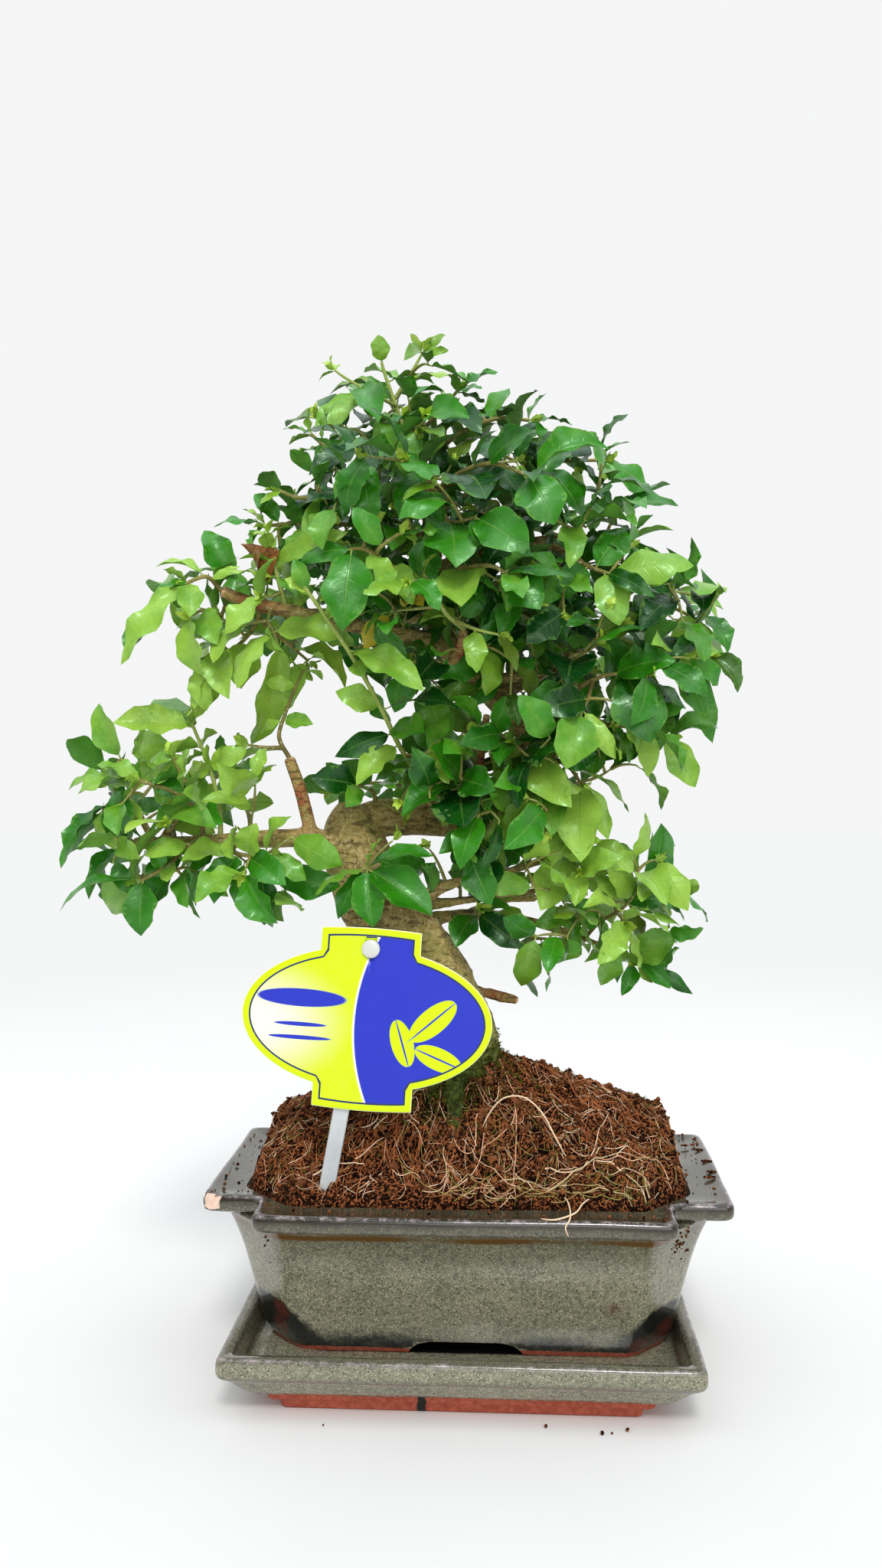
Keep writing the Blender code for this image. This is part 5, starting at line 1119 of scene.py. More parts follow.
def makeBark():
    look = Finish("greyBark", {"Roughness": 0.75, "Specular IOR Level": 0.25})
    broad, fine = look.mottled(85.0, 6.0)
    dark, mid, pale = trunk["bark"]
    look.startWith(broad, dark, mid)
    look.cover(look.times(fine, 0.55), pale)
    darkDots, paleDots = look.grains(560.0, 0.25)
    look.cover(look.times(paleDots, 0.6), trunk["dots"][1])
    look.cover(look.times(darkDots, 0.4), trunk["dots"][0])
    look.cover(look.between(broad, 0.55, 0.9, 0.0, 0.45), trunk["algae"])
    look.cover(look.times(look.carried("red"), look.between(fine, 0.15, 0.7, 0.1, 0.95)), trunk["peeling"])
    look.cover(look.between(look.carried("mossy"), 0.0, 0.2, 0.0, 0.4), trunk["greenFoot"])
    ragged = look.plus(look.carried("mossy"), look.timesPlus(fine, 0.6, -0.3))
    look.cover(look.between(ragged, 0.3, 0.75), look.blend(fine, *trunk["moss"]))
    look.cover(look.between(look.carried("cutWood"), 0.4, 0.6), trunk["cutWood"])
    # the creases get painted shade and sink as bumps
    level = look.stretched(look.place, (1.0, 1.0, 4.5))
    creases = look.between(look.noise(level, 120.0, 4.0, 0.6), 0.46, 0.36)
    look.cover(look.times(creases, 0.62), trunk["crease"])
    height = look.timesPlus(paleDots, 0.6, look.times(fine, 0.9))
    return look.done((look.timesPlus(creases, -1.6, height), 0.7, 0.6 * mm))


def barkRelief(place):
    # how far the bark stands out: more on the thick wood low down
    thick = clamped((216 * mm - place.z) / (60 * mm)) if place.x < -5 * mm or place.z < 150 * mm else 0.25
    level = Vector((place.x * 130, place.y * 130, place.z * 60))
    relief = noise.fractal(level, 1.0, 2.0, 3) * (0.2 + 0.6 * thick) * mm
    relief += abs(noise.noise(place * 95)) * 2.0 * thick * mm - 0.3 * thick * mm
    return relief + max(0.0, noise.noise(place * 160 + Vector((5, 0, 0))) - 0.42) * -1.6 * thick * mm


def buildTrunk(look):
    shape = Shape()

    def ridges(i, angle):
        # shallow ridges that wind up the trunk
        return 0.05 * (math.cos(3 * angle + 0.083 * i) + 0.6 * math.cos(5 * angle - 0.15 * i)) if i > 5 else 0

    path, radii = smoothPath(*pathOf(trunk["lower"]), 6)
    shape.addLoft(tubeRings(path, radii, trunk["lowerSides"], ridges))
    for rows in [trunk["upper"]] + trunk["branches"] + trunk["flare"]:
        path, radii = smoothPath(*pathOf(rows), 5)
        shape.addTube(path, [radius + trunk["skin"] for radius in radii], trunk["branchSides"])
    piece = makeMesh("barkTrunk", shape, [], shift=False)
    remesh = piece.modifiers.new("one skin", "REMESH")
    remesh.mode, remesh.voxel_size = "VOXEL", trunk["voxel"]
    soft = piece.modifiers.new("soft joints", "SMOOTH")
    soft.factor, soft.iterations = 0.5, 3
    applyModifiers(piece)
    old = piece.data
    grown = Shape("mossy", "cutWood", "red")
    rootY = soil["rootCentre"][1] * mm
    marks = {name: [(pointMm(*at), size * mm) for at, size in trunk[name]] for name in ("cuts", "red")}

    def near(place, name, most):
        return max(max(0.0, most - (place - at).length / size) for at, size in marks[name])

    for vertex in old.vertices:
        place = vertex.co
        low = max(0.0, 1 - (place.z / mm - 108) / 30) if place.z < 140 * mm else 0.0
        mossy = low * (0.35 + 0.65 * (0.5 - 0.5 * (place.y - rootY) / (18 * mm)))
        grown.addPoint(place + vertex.normal * barkRelief(place), mossy=mossy,
                       cutWood=near(place, "cuts", 1.3), red=near(place, "red", 1.2))
    grown.addFaces([tuple(face.vertices) for face in old.polygons])
    bpy.data.objects.remove(piece)
    bpy.data.meshes.remove(old)
    return settle(makeMesh("barkTrunk", grown, [look], sharp=180), "bark", "trunk")


print("soil and trunk")
peat = makePeat()
soilPiece = buildSoil(peat)
surface = ground(soilPiece)
trunkPiece = buildTrunk(makeBark())
buildCrumbs(peat, surface)
buildRoots(makeRootSkin(), surface)
buildMoss(makeMoss(), surface, skinOf(trunkPiece))


# care tag and its stake

tag = {
    "centre": (-37, -41.5, 138),
    "half": (47.4, 27.3),
    "tabHalf": (18.9, 33.6),
    "thickness": 0.9,
    "turn": math.radians(3.65),
    "lean": math.radians(1.8),
    "pegUp": 26.6,
    "pegHead": 3.5,
    "pegPin": 2.2,
    "holePlay": 0.33,
    # which face each ring lies on, 1 the front and -1 the back, and how far in it is
    "rings": [(1, 18), (1, 10), (1, 6), (1, 3.2), (1, 2.4), (1, 1), (1, 0.25), (0.6, 0), (-0.6, 0),
              (-1, 0.25), (-1, 1), (-1, 6), (-1, 18)],
    # printed on it: across, up, turn, length and width of each oval
    "glow": (-42, -3, 0, 22, 15),
    "sweep": (66, -2, 0, 70.5, 72),
    "halo": (66, -2, 0, 71.2, 72.7),
    "leaves": ((14, -8, 1.9, 9, 4.2), (25, 1, 0.75, 11, 4.8), (28, -13, -0.35, 9.5, 4.2)),
    "bars": ((-25, 6.5, 0, 17, 3.4), (-25, -3.5, 0, 10, 0.8), (-25, -8.5, 0, 12, 0.8)),
    "lime": paint(208, 234, 0),
    "blue": paint(38, 52, 184),
    "line": paint(44, 52, 96),
    "white": paint(246, 250, 236),
    "back": (paint(232, 234, 226), paint(214, 216, 208)),
}


def tagOutline(inset):
    # points round the tag, moved in by inset, in millimetres
    wide, high = tag["half"]
    tabWide, tabHigh = tag["tabHalf"]
    first = math.acos(tabWide / wide)
    wide, high, tabWide, tabHigh = wide - inset, high - inset, tabWide - inset, tabHigh - inset
    low, ring, steps = high * math.sin(first), [], 36
    for side in (1, -1):
        for k in range(steps + 1):
            angle = -first + 2 * first * k / steps
            ring.append((side * wide * math.cos(angle), side * high * math.sin(angle)))
        for k in range(1, 4):
            ring.append((side * tabWide, side * (low + (tabHigh - low) * k / 3)))
        for k in range(1, 16):
            share = 1 - k / 8
            ring.append((side * share * tabWide, side * (tabHigh + 0.8 * (1 - share * share))))
        for k in range(3):
            ring.append((-side * tabWide, side * (tabHigh - (tabHigh - low) * k / 3)))
    return ring


def tagFrame():
    return (
        Matrix.Translation(pointMm(*tag["centre"])) @ Matrix.Rotation(-tag["lean"], 4, "X")
        @ Matrix.Rotation(tag["turn"], 4, "Y") @ Matrix.Rotation(math.pi / 2, 4, "X")
    )


def makeOval():
    # how far a place on a map is from an oval's middle: 1 on its edge
    effect = Effect("oval", Map=None, Across=0.0, Up=0.0, Turn=0.0, Long=10.0, Wide=4.0)
    given = effect.given
    apart = effect.put("SeparateXYZ", {0: given["Map"]})
    x, y = effect.minus(apart[0], given["Across"]), effect.minus(apart[1], given["Up"])
    cosine, sine = effect.math("COSINE", given["Turn"]), effect.math("SINE", given["Turn"])
    along = effect.plus(effect.times(x, cosine), effect.times(y, sine))
    across = effect.minus(effect.times(y, cosine), effect.times(x, sine))
    a, b = effect.over(along, given["Long"]), effect.over(across, given["Wide"])
    reach = effect.math("SQRT", effect.plus(effect.times(a, a), effect.times(b, b)))
    return effect.gives({"Reach": reach})


def makeCard():
    look = Finish("printedCard", {"Specular IOR Level": 0.3})
    card = look.stretched(look.put("UVMap", uv_map="surfaceMap")[0], (100.0, 100.0, 0.0))
    card = look.put("VectorMath", {0: card, 1: (50.0, 50.0, 0.0)}, operation="SUBTRACT")[0]  # in millimetres
    oval = makeOval()

    def inside(across, up, turn, long, wide, edge=0.03):
        values = {"Map": card, "Across": across, "Up": up, "Turn": turn, "Long": long, "Wide": wide}
        return look.between(look.put("Group", values, node_tree=oval)[0], 1 + edge, 1 - edge)

    inset = look.carried("inset")
    broad, fine = look.mottled(30.0, 20.0)
    look.startWith(look.times(inside(*tag["glow"], 0.8), 0.85), tag["lime"], tag["white"])
    look.cover(look.times(fine, 0.02), tag["white"])
    look.cover(inside(*tag["halo"], 0.004), tag["white"])
    look.cover(inside(*tag["sweep"], 0.004), tag["blue"])
    for across, up, turn, long, wide in tag["leaves"]:
        look.cover(inside(across, up, turn, long, wide), tag["lime"])
        look.cover(inside(across, up, turn, long * 1.1, 0.35, 0.3), tag["blue"])  # its rib
    for bar in tag["bars"]:
        look.cover(inside(*bar, 0.06), tag["blue"])
    look.cover(look.between(inset, 2.55, 2.45), tag["lime"])
    look.cover(look.times(look.between(inset, 2.4, 2.55), look.between(inset, 3.25, 3.1)), tag["line"])
    look.cover(look.carried("cutEdge"), tag["white"])
    return look.done(sources={"Roughness": look.between(broad, 0.0, 1.0, 0.24, 0.36)})


def makeCardBack():
    look = Finish("cardBack", {"Roughness": 0.45})
    look.startWith(look.times(*look.mottled(60.0, 12.0)), *tag["back"])
    return look.done()


def buildTag(front, back):
    shape, place = Shape("inset", "cutEdge"), tagFrame()
    for side, inset in tag["rings"]:
        ring = tagOutline(inset)
        for x, y in ring:
            point = place @ Vector((x * mm, y * mm, side * (tag["thickness"] / 2) * mm))
            shape.addPoint(point, (x / 100 + 0.5, y / 100 + 0.5), inset=inset, cutEdge=float(abs(side) < 1))
    faces = loftFaces(len(tag["rings"]), len(ring))
    fronts = sum(side > 0 for side, _ in tag["rings"]) - 1  # how many bands of faces the front has
    looks = [0 if face[0] // len(ring) < fronts else 1 for face in faces[:-2]] + [0, 1]
    shape.addFaces([face[::-1] for face in faces], looks)
    piece = makeMesh("printedTag", shape, [front, back], sharp=50)
    ends = [place @ pointMm(0, tag["pegUp"], z) + potShift for z in (-4, 4)]
    cutter = loftSolid("pegHole", tubeRings(ends, [(tag["pegPin"] + tag["holePlay"]) * mm] * 2, 32))
    cutter.data.transform(Matrix.Translation(-potShift))
    cutAway(piece, cutter)
    return settle(piece, "tag", "care_tag")


stake = {
    "turn": math.radians(10.6),
    "width": 6,
    "thickness": 1.3,
    "gap": 0.3,
    # how far below the peg, and the share of the whole width there
    "lengths": ((-4, 0.9), (-3.4, 1), (30, 1), (70, 1), (104, 1), (109, 0.7), (112, 0.35)),
    # across and through: a shallow channel runs down the back
    "section": ((-1, 0.3), (-0.9, 0), (0.9, 0), (1, 0.3), (1, 0.8), (0.8, 1), (0.45, 1), (0.35, 0.72),
                (-0.35, 0.72), (-0.45, 1), (-0.8, 1), (-1, 0.8)),
    "dome": ((0, 0.97), (0.25, 1), (0.8, 0.96), (1.1, 0.82), (1.28, 0.5), (1.3, 0.1)),
    "milky": (paint(178, 182, 184), paint(200, 203, 204)),
    "peg": paint(204, 206, 198),
}


def makeStakePlastic():
    look = Finish("milkyPlastic", {"Coat Weight": 0.2, "IOR": 1.49})
    broad, fine = look.mottled(70.0, 8.0)
    look.startWith(broad, *stake["milky"])
    look.cover(look.carried("peg"), stake["peg"])
    return look.done(sources={"Roughness": look.between(fine, 0.0, 1.0, 0.26, 0.45)})


def buildStake(look):
    peg = tagFrame() @ pointMm(0, tag["pegUp"], 0)
    sideways, downward = math.sin(stake["turn"]), math.cos(stake["turn"])
    down = Matrix.Rotation(-tag["lean"], 3, "X") @ Vector((-sideways, 0, -downward))
    across = down.cross(Vector((0, 1, 0))).normalized()
    out = across.cross(down).normalized()
    if out.y > 0:
        out = -out
    front = tag["thickness"] / 2 + stake["gap"]
    half, thick = stake["width"] / 2 * mm, stake["thickness"] * mm
    shape, rings = Shape("peg"), []
    for length, share in stake["lengths"]:
        centre = peg + down * length * mm
        rings.append([centre + across * (x * half * share) - out * (front * mm + depth * thick)
                      for x, depth in stake["section"]])
    shape.addLoft(rings)
    pin = [peg + way * out * ((front + 0.4) * mm) for way in (-1, 1)]
    shape.addTube(pin, [tag["pegPin"] * mm] * 2, 24, peg=1.0)
    heads = [peg + out * ((front + lift) * mm) for lift, _ in stake["dome"]]
    shape.addTube(heads, [tag["pegHead"] * mm * share for _, share in stake["dome"]], 28, peg=1.0)
    return settle(makeMesh("milkyStake", shape, [look], sharp=35), "stake", "tag_stake")


print("tag and stake")
buildTag(makeCard(), makeCardBack())
buildStake(makeStakePlastic())


# leafy sprays: size of a paired leaf, pairs on each twig, the twigs and the single leaves, in millimetres
# a single leaf has its twig, how far along it sits, its tip's x, y and z and its width to length, and it
# faces the front unless it says up

front = (0.0, -1.0, 0.4)
up = (0.0, -0.35, 1.0)
sprays = {
    "left_end": (15, (1,), [[(-137, -16, 222), (-141, -18, 221), (-145, -20, 216)]], [
        (0, 0.6, -160, -26, 198, 0.36, up), (0, 1, -164, -18, 193, 0.34, up), (0, 0.3, -140, -23, 201, 0.7),
        (0, 0.3, -147, -8, 236, 0.5, up),
    ]),
    "left_low": (14, (1,), [[(-110, -20, 203), (-118, -27, 194), (-127, -30, 189)]], [
        (0, 1, -157, -38, 180, 0.3, up), (0, 1, -126, -34, 168, 0.6), (0, 0.55, -120, -34, 204, 0.5),
        (0, 0.3, -114, -38, 190, 0.5),
    ]),
    "left_hang": (14, (0,), [[(-92, -22, 204), (-90, -29, 200), (-83, -32, 199), (-76, -31, 200)]], [
        (0, 0.35, -96, -40, 182, 0.6), (0, 0.55, -68, -42, 189, 0.55), (0, 0.2, -108, -40, 198, 0.55, up),
        (0, 0.6, -79, -40, 212, 0.7), (0, 1, -61, -34, 190, 0.5), (0, 1, -68, -33, 215, 0.55, up),
    ]),
    "left_shoot_outer": (17, (3,), [
        [(-104, -21, 204), (-105, -26, 219), (-110, -30, 229), (-113, -32, 237)],
    ], [
        (0, 0.25, -93, -37, 212, 0.6),
    ]),
    "left_shoot_inner": (17, (3,), [
        [(-97, -22, 204), (-98, -20, 217), (-102, -18, 232), (-110, -16, 251)],
    ], [
        (0, 1, -97, -10, 281, 0.34), (0, 1, -139, -26, 251, 0.42), (0, 0.92, -130, 0, 263, 0.5, up),
        (0, 0.6, -87, -22, 239, 0.6),
    ]),
    "left_back_outer": (20, (4,), [
        [(-116, -19, 203), (-126, 6, 215), (-138, 24, 226), (-146, 34, 234)],
    ], []),
    "left_back_inner": (20, (4,), [[(-85, -22, 204), (-92, 6, 214), (-104, 32, 224), (-112, 50, 236)]], []),
    "left_fork": (14, (1,), [[(-108, -24, 218), (-113, -35, 224), (-124, -38, 228)]], [
        (0, 1, -142, -36, 234, 0.42, up),
    ]),
    "stub_twig": (12, (1, 1), [
        [(-70, -20, 237), (-74, -20, 245), (-72, -18, 254), (-68, -16, 265), (-65, -15, 272)],
        [(-72, -20, 241), (-79, -21, 241), (-86, -22, 242)],
    ], [
        (0, 0.42, -60, -22, 250, 0.5), (0, 0.4, -83, -14, 247, 0.4), (0, 0.8, -80, -18, 267, 0.5),
        (1, 0.5, -83, -26, 229, 0.45), (1, 1, -98, -24, 233, 0.5),
    ]),
    "high_end": (13, (1,), [[(-95, -26, 302), (-100, -31, 307), (-107, -34, 304)]], [
        (0, 0.5, -119, -34, 312, 0.36, up), (0, 1, -130, -46, 273, 0.26), (0, 0.35, -87, -30, 311, 0.3),
        (0, 1, -118, -38, 300, 0.45, up), (0, 0.9, -104, -42, 290, 0.6),
    ]),
    "high_top": (13, (3,), [[(-70, -24, 294), (-72, -29, 305), (-75, -30, 316), (-76, -30, 323)]], [
        (0, 0.55, -44, -40, 322, 0.28), (0, 0.35, -90, -36, 308, 0.5, up),
    ]),
    "high_under": (18, (1, 1), [
        [(-80, -25, 296), (-84, -16, 290), (-90, -12, 284), (-96, -10, 280)],
        [(-82, -19, 292), (-72, -13, 283), (-64, -9, 276)],
    ], [
        (0, 0.7, -89, -20, 265, 0.75), (0, 0.5, -111, -16, 289, 0.35, up), (0, 1, -115, -12, 264, 0.4),
        (1, 0.25, -88, -6, 248, 0.3), (1, 0.7, -47, -18, 266, 0.45, up), (1, 1, -76, 0, 257, 0.5),
    ]),
    "front_left": (14, (0, 0), [
        [(-13, 0, 305), (-25, -34, 308), (-32, -48, 312), (-23, -54, 318)],
        [(-31, -46, 311), (-37, -47, 314), (-42, -46, 314)],
    ], [
        (0, 1, -6, -56, 319, 0.28, up), (0, 0.85, -40, -54, 328, 0.5), (0, 0.6, -18, -52, 292, 0.45),
        (1, 1, -44, -53, 283, 0.56), (1, 0.3, -29, -53, 295, 0.5), (1, 1, -62, -42, 311, 0.4),
    ]),
    "long_shoot": (14, (0,), [
        [
            (-20, -14, 231), (-26, -21, 241), (-33, -30, 257), (-43, -40, 276), (-56, -48, 296),
            (-59, -50, 300),
        ],
    ], [
        (0, 0.36, -49, -36, 262, 0.55), (0, 0.36, -1, -46, 256, 0.38, up), (0, 0.66, -14, -56, 262, 0.36),
        (0, 0.6, -37, -46, 267, 0.7), (0, 0.22, -51, -26, 237, 0.4), (0, 0.16, -42, -30, 226, 0.45),
        (0, 0.25, -15, -38, 246, 0.7), (0, 0.98, -62, -52, 310, 0.5), (0, 0.98, -66, -50, 303, 0.5),
    ]),
    "second_shoot": (10, (2, 0), [
        [(0, -35, 285), (-7, -40, 291), (-12, -43, 301), (-17, -44, 308), (-18, -45, 317)],
        [(-3, -38, 288), (5, -44, 284), (13, -45, 282)],
    ], [
        (0, 0.4, 6, -48, 296, 0.4, up), (1, 1, 20, -50, 268, 0.38, up), (1, 0.5, 5, -50, 268, 0.5),
    ]),
    "crown_top": (11, (0, 1, 0), [
        [(-26, 3, 372), (-31, 2, 386), (-34, 2, 395), (-35, 1, 399)],
        [(-29, 2, 381), (-40, -6, 385), (-49, -8, 390), (-53, -8, 393)],
        [(-30, 3, 384), (-22, 4, 397), (-18, 2, 403)],
    ], [
        (0, 1, -36, -2, 409, 0.7), (0, 0.7, -14, 10, 393, 0.3, up), (0, 0.6, -56, -4, 386, 0.42, up),
        (0, 0.4, -52, 16, 396, 0.45, up), (1, 0.5, -60, -16, 368, 0.4), (1, 0.6, -33, -28, 366, 0.4),
        (2, 1, -23, 0, 410, 0.36), (2, 1, -9, 4, 411, 0.36), (2, 0.9, -9, 0, 404, 0.36),
        (2, 0.5, -2, -4, 391, 0.36, up), (2, 0.3, -44, 22, 404, 0.34, up),
    ]),
    "crown_right": (15, (2,), [[(-24, 3, 366), (-12, 0, 377), (-4, 0, 386)]], [
        (0, 1, 12, -2, 394, 0.36, up), (0, 1, 6, -14, 384, 0.35, up), (0, 0.5, 6, -22, 365, 0.5),
    ]),
    "crown_left": (13, (2,), [[(-23, 3, 364), (-39, -14, 362), (-50, -22, 356), (-60, -24, 363)]], [
        (0, 1, -71, -26, 365, 0.34, up), (0, 0.5, -60, -30, 346, 0.4), (0, 0.9, -50, -28, 374, 0.36, up),
        (0, 0.45, -34, -32, 348, 0.5),
    ]),
    "dome_left": (16, (2,), [[(-18, 4, 350), (-42, -14, 343), (-63, -20, 339), (-73, -20, 342)]], [
        (0, 0.6, -62, -34, 320, 0.36), (0, 1, -80, -26, 336, 0.5, up), (0, 0.35, -30, -38, 330, 0.5),
    ]),
    "dome_left_low": (18, (3,), [[(-15, 2, 328), (-44, 0, 332), (-68, -6, 332), (-81, -12, 330)]], [
        (0, 1, -101, -16, 330, 0.3, up), (0, 0.9, -86, -8, 344, 0.45), (0, 0.5, -58, 10, 350, 0.5, up),
    ]),
    "dome_right_top": (17, (3,), [[(-20, 4, 357), (-6, -12, 364), (12, -16, 370), (25, -16, 369)]], [
        (0, 1, 42, -14, 367, 0.42, up), (0, 0.7, 17, -8, 384, 0.6, up),
    ]),
    "dome_right": (19, (3,), [[(-17, 4, 347), (9, 8, 354), (34, 6, 358), (55, 4, 358)]], [
        (0, 1, 75, 6, 346, 0.5), (0, 1, 66, 0, 364, 0.35, up), (0, 0.95, 72, 2, 336, 0.24),
        (0, 0.6, 49, -16, 357, 0.6),
    ]),
    "dome_front": (18, (2, 1), [
        [(-15, 3, 340), (-5, -32, 343), (10, -50, 344), (24, -56, 338)],
        [(-10, -14, 341), (-6, -36, 326), (5, -52, 324)],
    ], [
        (0, 0.55, 9, -60, 329, 0.8), (0, 0.75, 25, -62, 353, 0.55), (0, 1, 33, -66, 319, 0.75),
        (1, 0.6, -2, -60, 304, 0.7), (1, 1, 24, -66, 309, 0.6), (1, 0.5, -20, -50, 332, 0.5),
    ]),
    "middle_front": (18, (2,), [[(-14, 1, 311), (-3, -36, 308), (10, -54, 306), (16, -60, 302)]], [
        (0, 1, 28, -68, 288, 0.75), (0, 0.8, 16, -70, 282, 0.5), (0, 1, 40, -64, 300, 0.6, up),
        (0, 0.6, 0, -60, 290, 0.7),
    ]),
    "right_up": (16, (0,), [[(45, -25, 311), (50, -30, 308), (55, -32, 306)]], [
        (0, 1, 86, -36, 309, 0.48), (0, 0.5, 63, -24, 325, 0.6), (0, 1, 70, -44, 296, 0.32),
        (0, 0.8, 58, -40, 286, 0.6), (0, 0.2, 34, -36, 296, 0.6),
    ]),
    "right_high": (19, (3,), [[(-14, 2, 316), (12, 6, 324), (42, 6, 328), (66, 4, 324)]], [
        (0, 1, 83, 2, 330, 0.45, up), (0, 0.8, 56, -6, 342, 0.5, up), (0, 1, 82, -4, 300, 0.4),
    ]),
    "right_far": (17, (1, 1), [
        [(66, 30, 296), (76, 30, 301), (86, 29, 301), (95, 26, 296)],
        [(68, 30, 297), (76, 14, 290), (83, 6, 281)],
    ], [
        (0, 1, 108, 22, 291, 0.4, up), (0, 0.8, 97, 16, 272, 0.55), (0, 1, 105, 18, 272, 0.4),
        (0, 1, 103, 30, 303, 0.5, up), (1, 1, 99, -2, 243, 0.3), (1, 0.7, 88, -8, 262, 0.4),
        (1, 0.5, 64, 0, 274, 0.5, up),
    ]),
    "right_middle": (16, (1, 0), [
        [(44, -20, 264), (53, -23, 268), (62, -25, 269)], [(49, -22, 266), (47, -30, 259), (44, -34, 253)],
    ], [
        (0, 1, 70, -36, 242, 0.7), (0, 0.7, 80, -34, 272, 0.6), (0, 1, 86, -20, 256, 0.4, up),
        (1, 1, 38, -42, 232, 0.7), (1, 0.6, 28, -42, 254, 0.6), (1, 0.9, 57, -36, 236, 0.35),
    ]),
    "right_front": (9, (1,), [[(35, -14, 271), (40, -24, 273), (50, -34, 279)]], [
        (0, 0.5, 38, -46, 263, 0.85), (0, 0.5, 25, -38, 284, 0.6), (0, 0.7, 66, -44, 285, 0.4, up),
    ]),
    "bend_right": (19, (1,), [[(29, 6, 238), (40, -4, 234), (45, -8, 227)]], [
        (0, 1, 44, -26, 197, 0.5), (0, 0.9, 56, -12, 204, 0.36), (0, 0.6, 66, -4, 216, 0.26, up),
    ]),
    "bend_front": (18, (0,), [[(29, 6, 236), (24, -14, 238), (19, -24, 242)]], [
        (0, 1, 13, -42, 234, 0.55, up), (0, 0.7, 38, -40, 241, 0.7), (0, 1, 10, -36, 256, 0.6),
        (0, 0.6, 40, -36, 218, 0.45),
    ]),
    "centre_front": (15, (1,), [[(-2, 12, 211), (-2, -12, 222), (-2, -26, 229)]], [
        (0, 1, -12, -42, 240, 0.75), (0, 0.7, 0, -46, 211, 0.65), (0, 0.7, -22, -40, 216, 0.5),
        (0, 1, 12, -42, 224, 0.6),
    ]),
    "centre_hang": (14, (0,), [[(6, 11, 212), (7, -8, 207), (6, -22, 205)]], [
        (0, 1, 5, -33, 181, 0.58), (0, 0.8, 22, -26, 208, 0.8), (0, 0.9, -10, -32, 200, 0.5),
    ]),
    "trunk_front": (16, (0,), [[(-42, -10, 194), (-39, -22, 193), (-38, -31, 194)]], [
        (0, 1, -35, -37, 172, 0.58), (0, 1, -14, -37, 178, 0.5), (0, 0.8, -12, -38, 200, 0.36, up),
        (0, 1, -57, -40, 185, 0.42, up), (0, 0.8, -49, -34, 175, 0.4), (0, 0.9, -32, -36, 206, 0.5, up),
    ]),
    "bend_left": (14, (0,), [[(-38, 5, 212), (-38, -8, 223), (-43, -18, 226)]], [
        (0, 1, -60, -28, 229, 0.6), (0, 0.9, -50, -34, 214, 0.6), (0, 0.7, -27, -30, 226, 0.55, up),
    ]),
    "low_near": (14, (0,), [[(-8, 9, 171), (0, -2, 172), (4, -10, 175)]], [
        (0, 1, 21, -18, 162, 0.5), (0, 0.8, -4, -22, 162, 0.6), (0, 0.7, 17, -16, 178, 0.5, up),
    ]),
    "low_upper": (16, (2,), [[(31, 0, 195), (36, 1, 197), (41, 1, 197)]], [
        (0, 0.8, 29, -14, 176, 0.6), (0, 1, 60, 6, 196, 0.3, up), (0, 0.4, 22, -14, 200, 0.5),
    ]),
    "low_middle": (15, (2,), [[(43, 8, 184), (48, 9, 186), (53, 9, 189)]], [
        (0, 0.7, 42, 16, 203, 0.5, up), (0, 1, 60, 0, 180, 0.5),
    ]),
    "low_right": (15, (1, 1), [
        [(44, 20, 162), (59, 22, 156), (67, 22, 152), (72, 22, 151)],
        [(48, 20, 160), (54, 14, 168), (63, 10, 174), (69, 8, 181)],
    ], [
        (0, 1, 84, 17, 140, 0.45), (0, 1, 97, 24, 135, 0.24), (0, 0.8, 86, 15, 163, 0.62),
        (0, 0.6, 62, 18, 142, 0.3), (0, 0.2, 34, 12, 152, 0.3, up), (1, 1, 88, 2, 181, 0.3, up),
        (1, 0.8, 87, 2, 169, 0.28, up), (1, 0.9, 57, -4, 193, 0.6), (1, 0.4, 38, 4, 174, 0.6),
    ]),
    "back_low_end": (22, (4,), [[(-14, 60, 228), (-18, 72, 231), (-25, 86, 229)]], []),
    "back_low_left": (21, (4,), [[(-8, 36, 219), (-28, 48, 224), (-48, 56, 226), (-64, 58, 222)]], []),
    "back_low_right": (21, (4,), [[(-9, 42, 221), (12, 54, 226), (30, 60, 224), (42, 62, 220)]], []),
    "back_middle_end": (22, (4,), [[(8, 60, 284), (8, 74, 291), (6, 90, 291)]], []),
    "back_middle_right": (21, (4,), [[(13, 40, 273), (32, 52, 279), (52, 60, 276)]], []),
    "back_left_end": (20, (4,), [[(-62, 42, 303), (-78, 48, 303), (-92, 52, 296)]], []),
    "back_left_inner": (21, (4,), [[(-42, 28, 301), (-44, 50, 310), (-48, 70, 311)]], []),
    "back_high_end": (20, (4,), [[(8, 52, 346), (13, 64, 347), (18, 76, 341)]], []),
    "back_high_right": (20, (4,), [[(-3, 31, 334), (20, 42, 339), (42, 46, 335)]], []),
    "back_top": (18, (4,), [[(-24, 40, 372), (-27, 51, 374), (-32, 62, 368)]], []),
    "back_right_low": (18, (3,), [[(28, 36, 176), (40, 42, 175), (52, 48, 170)]], []),
}


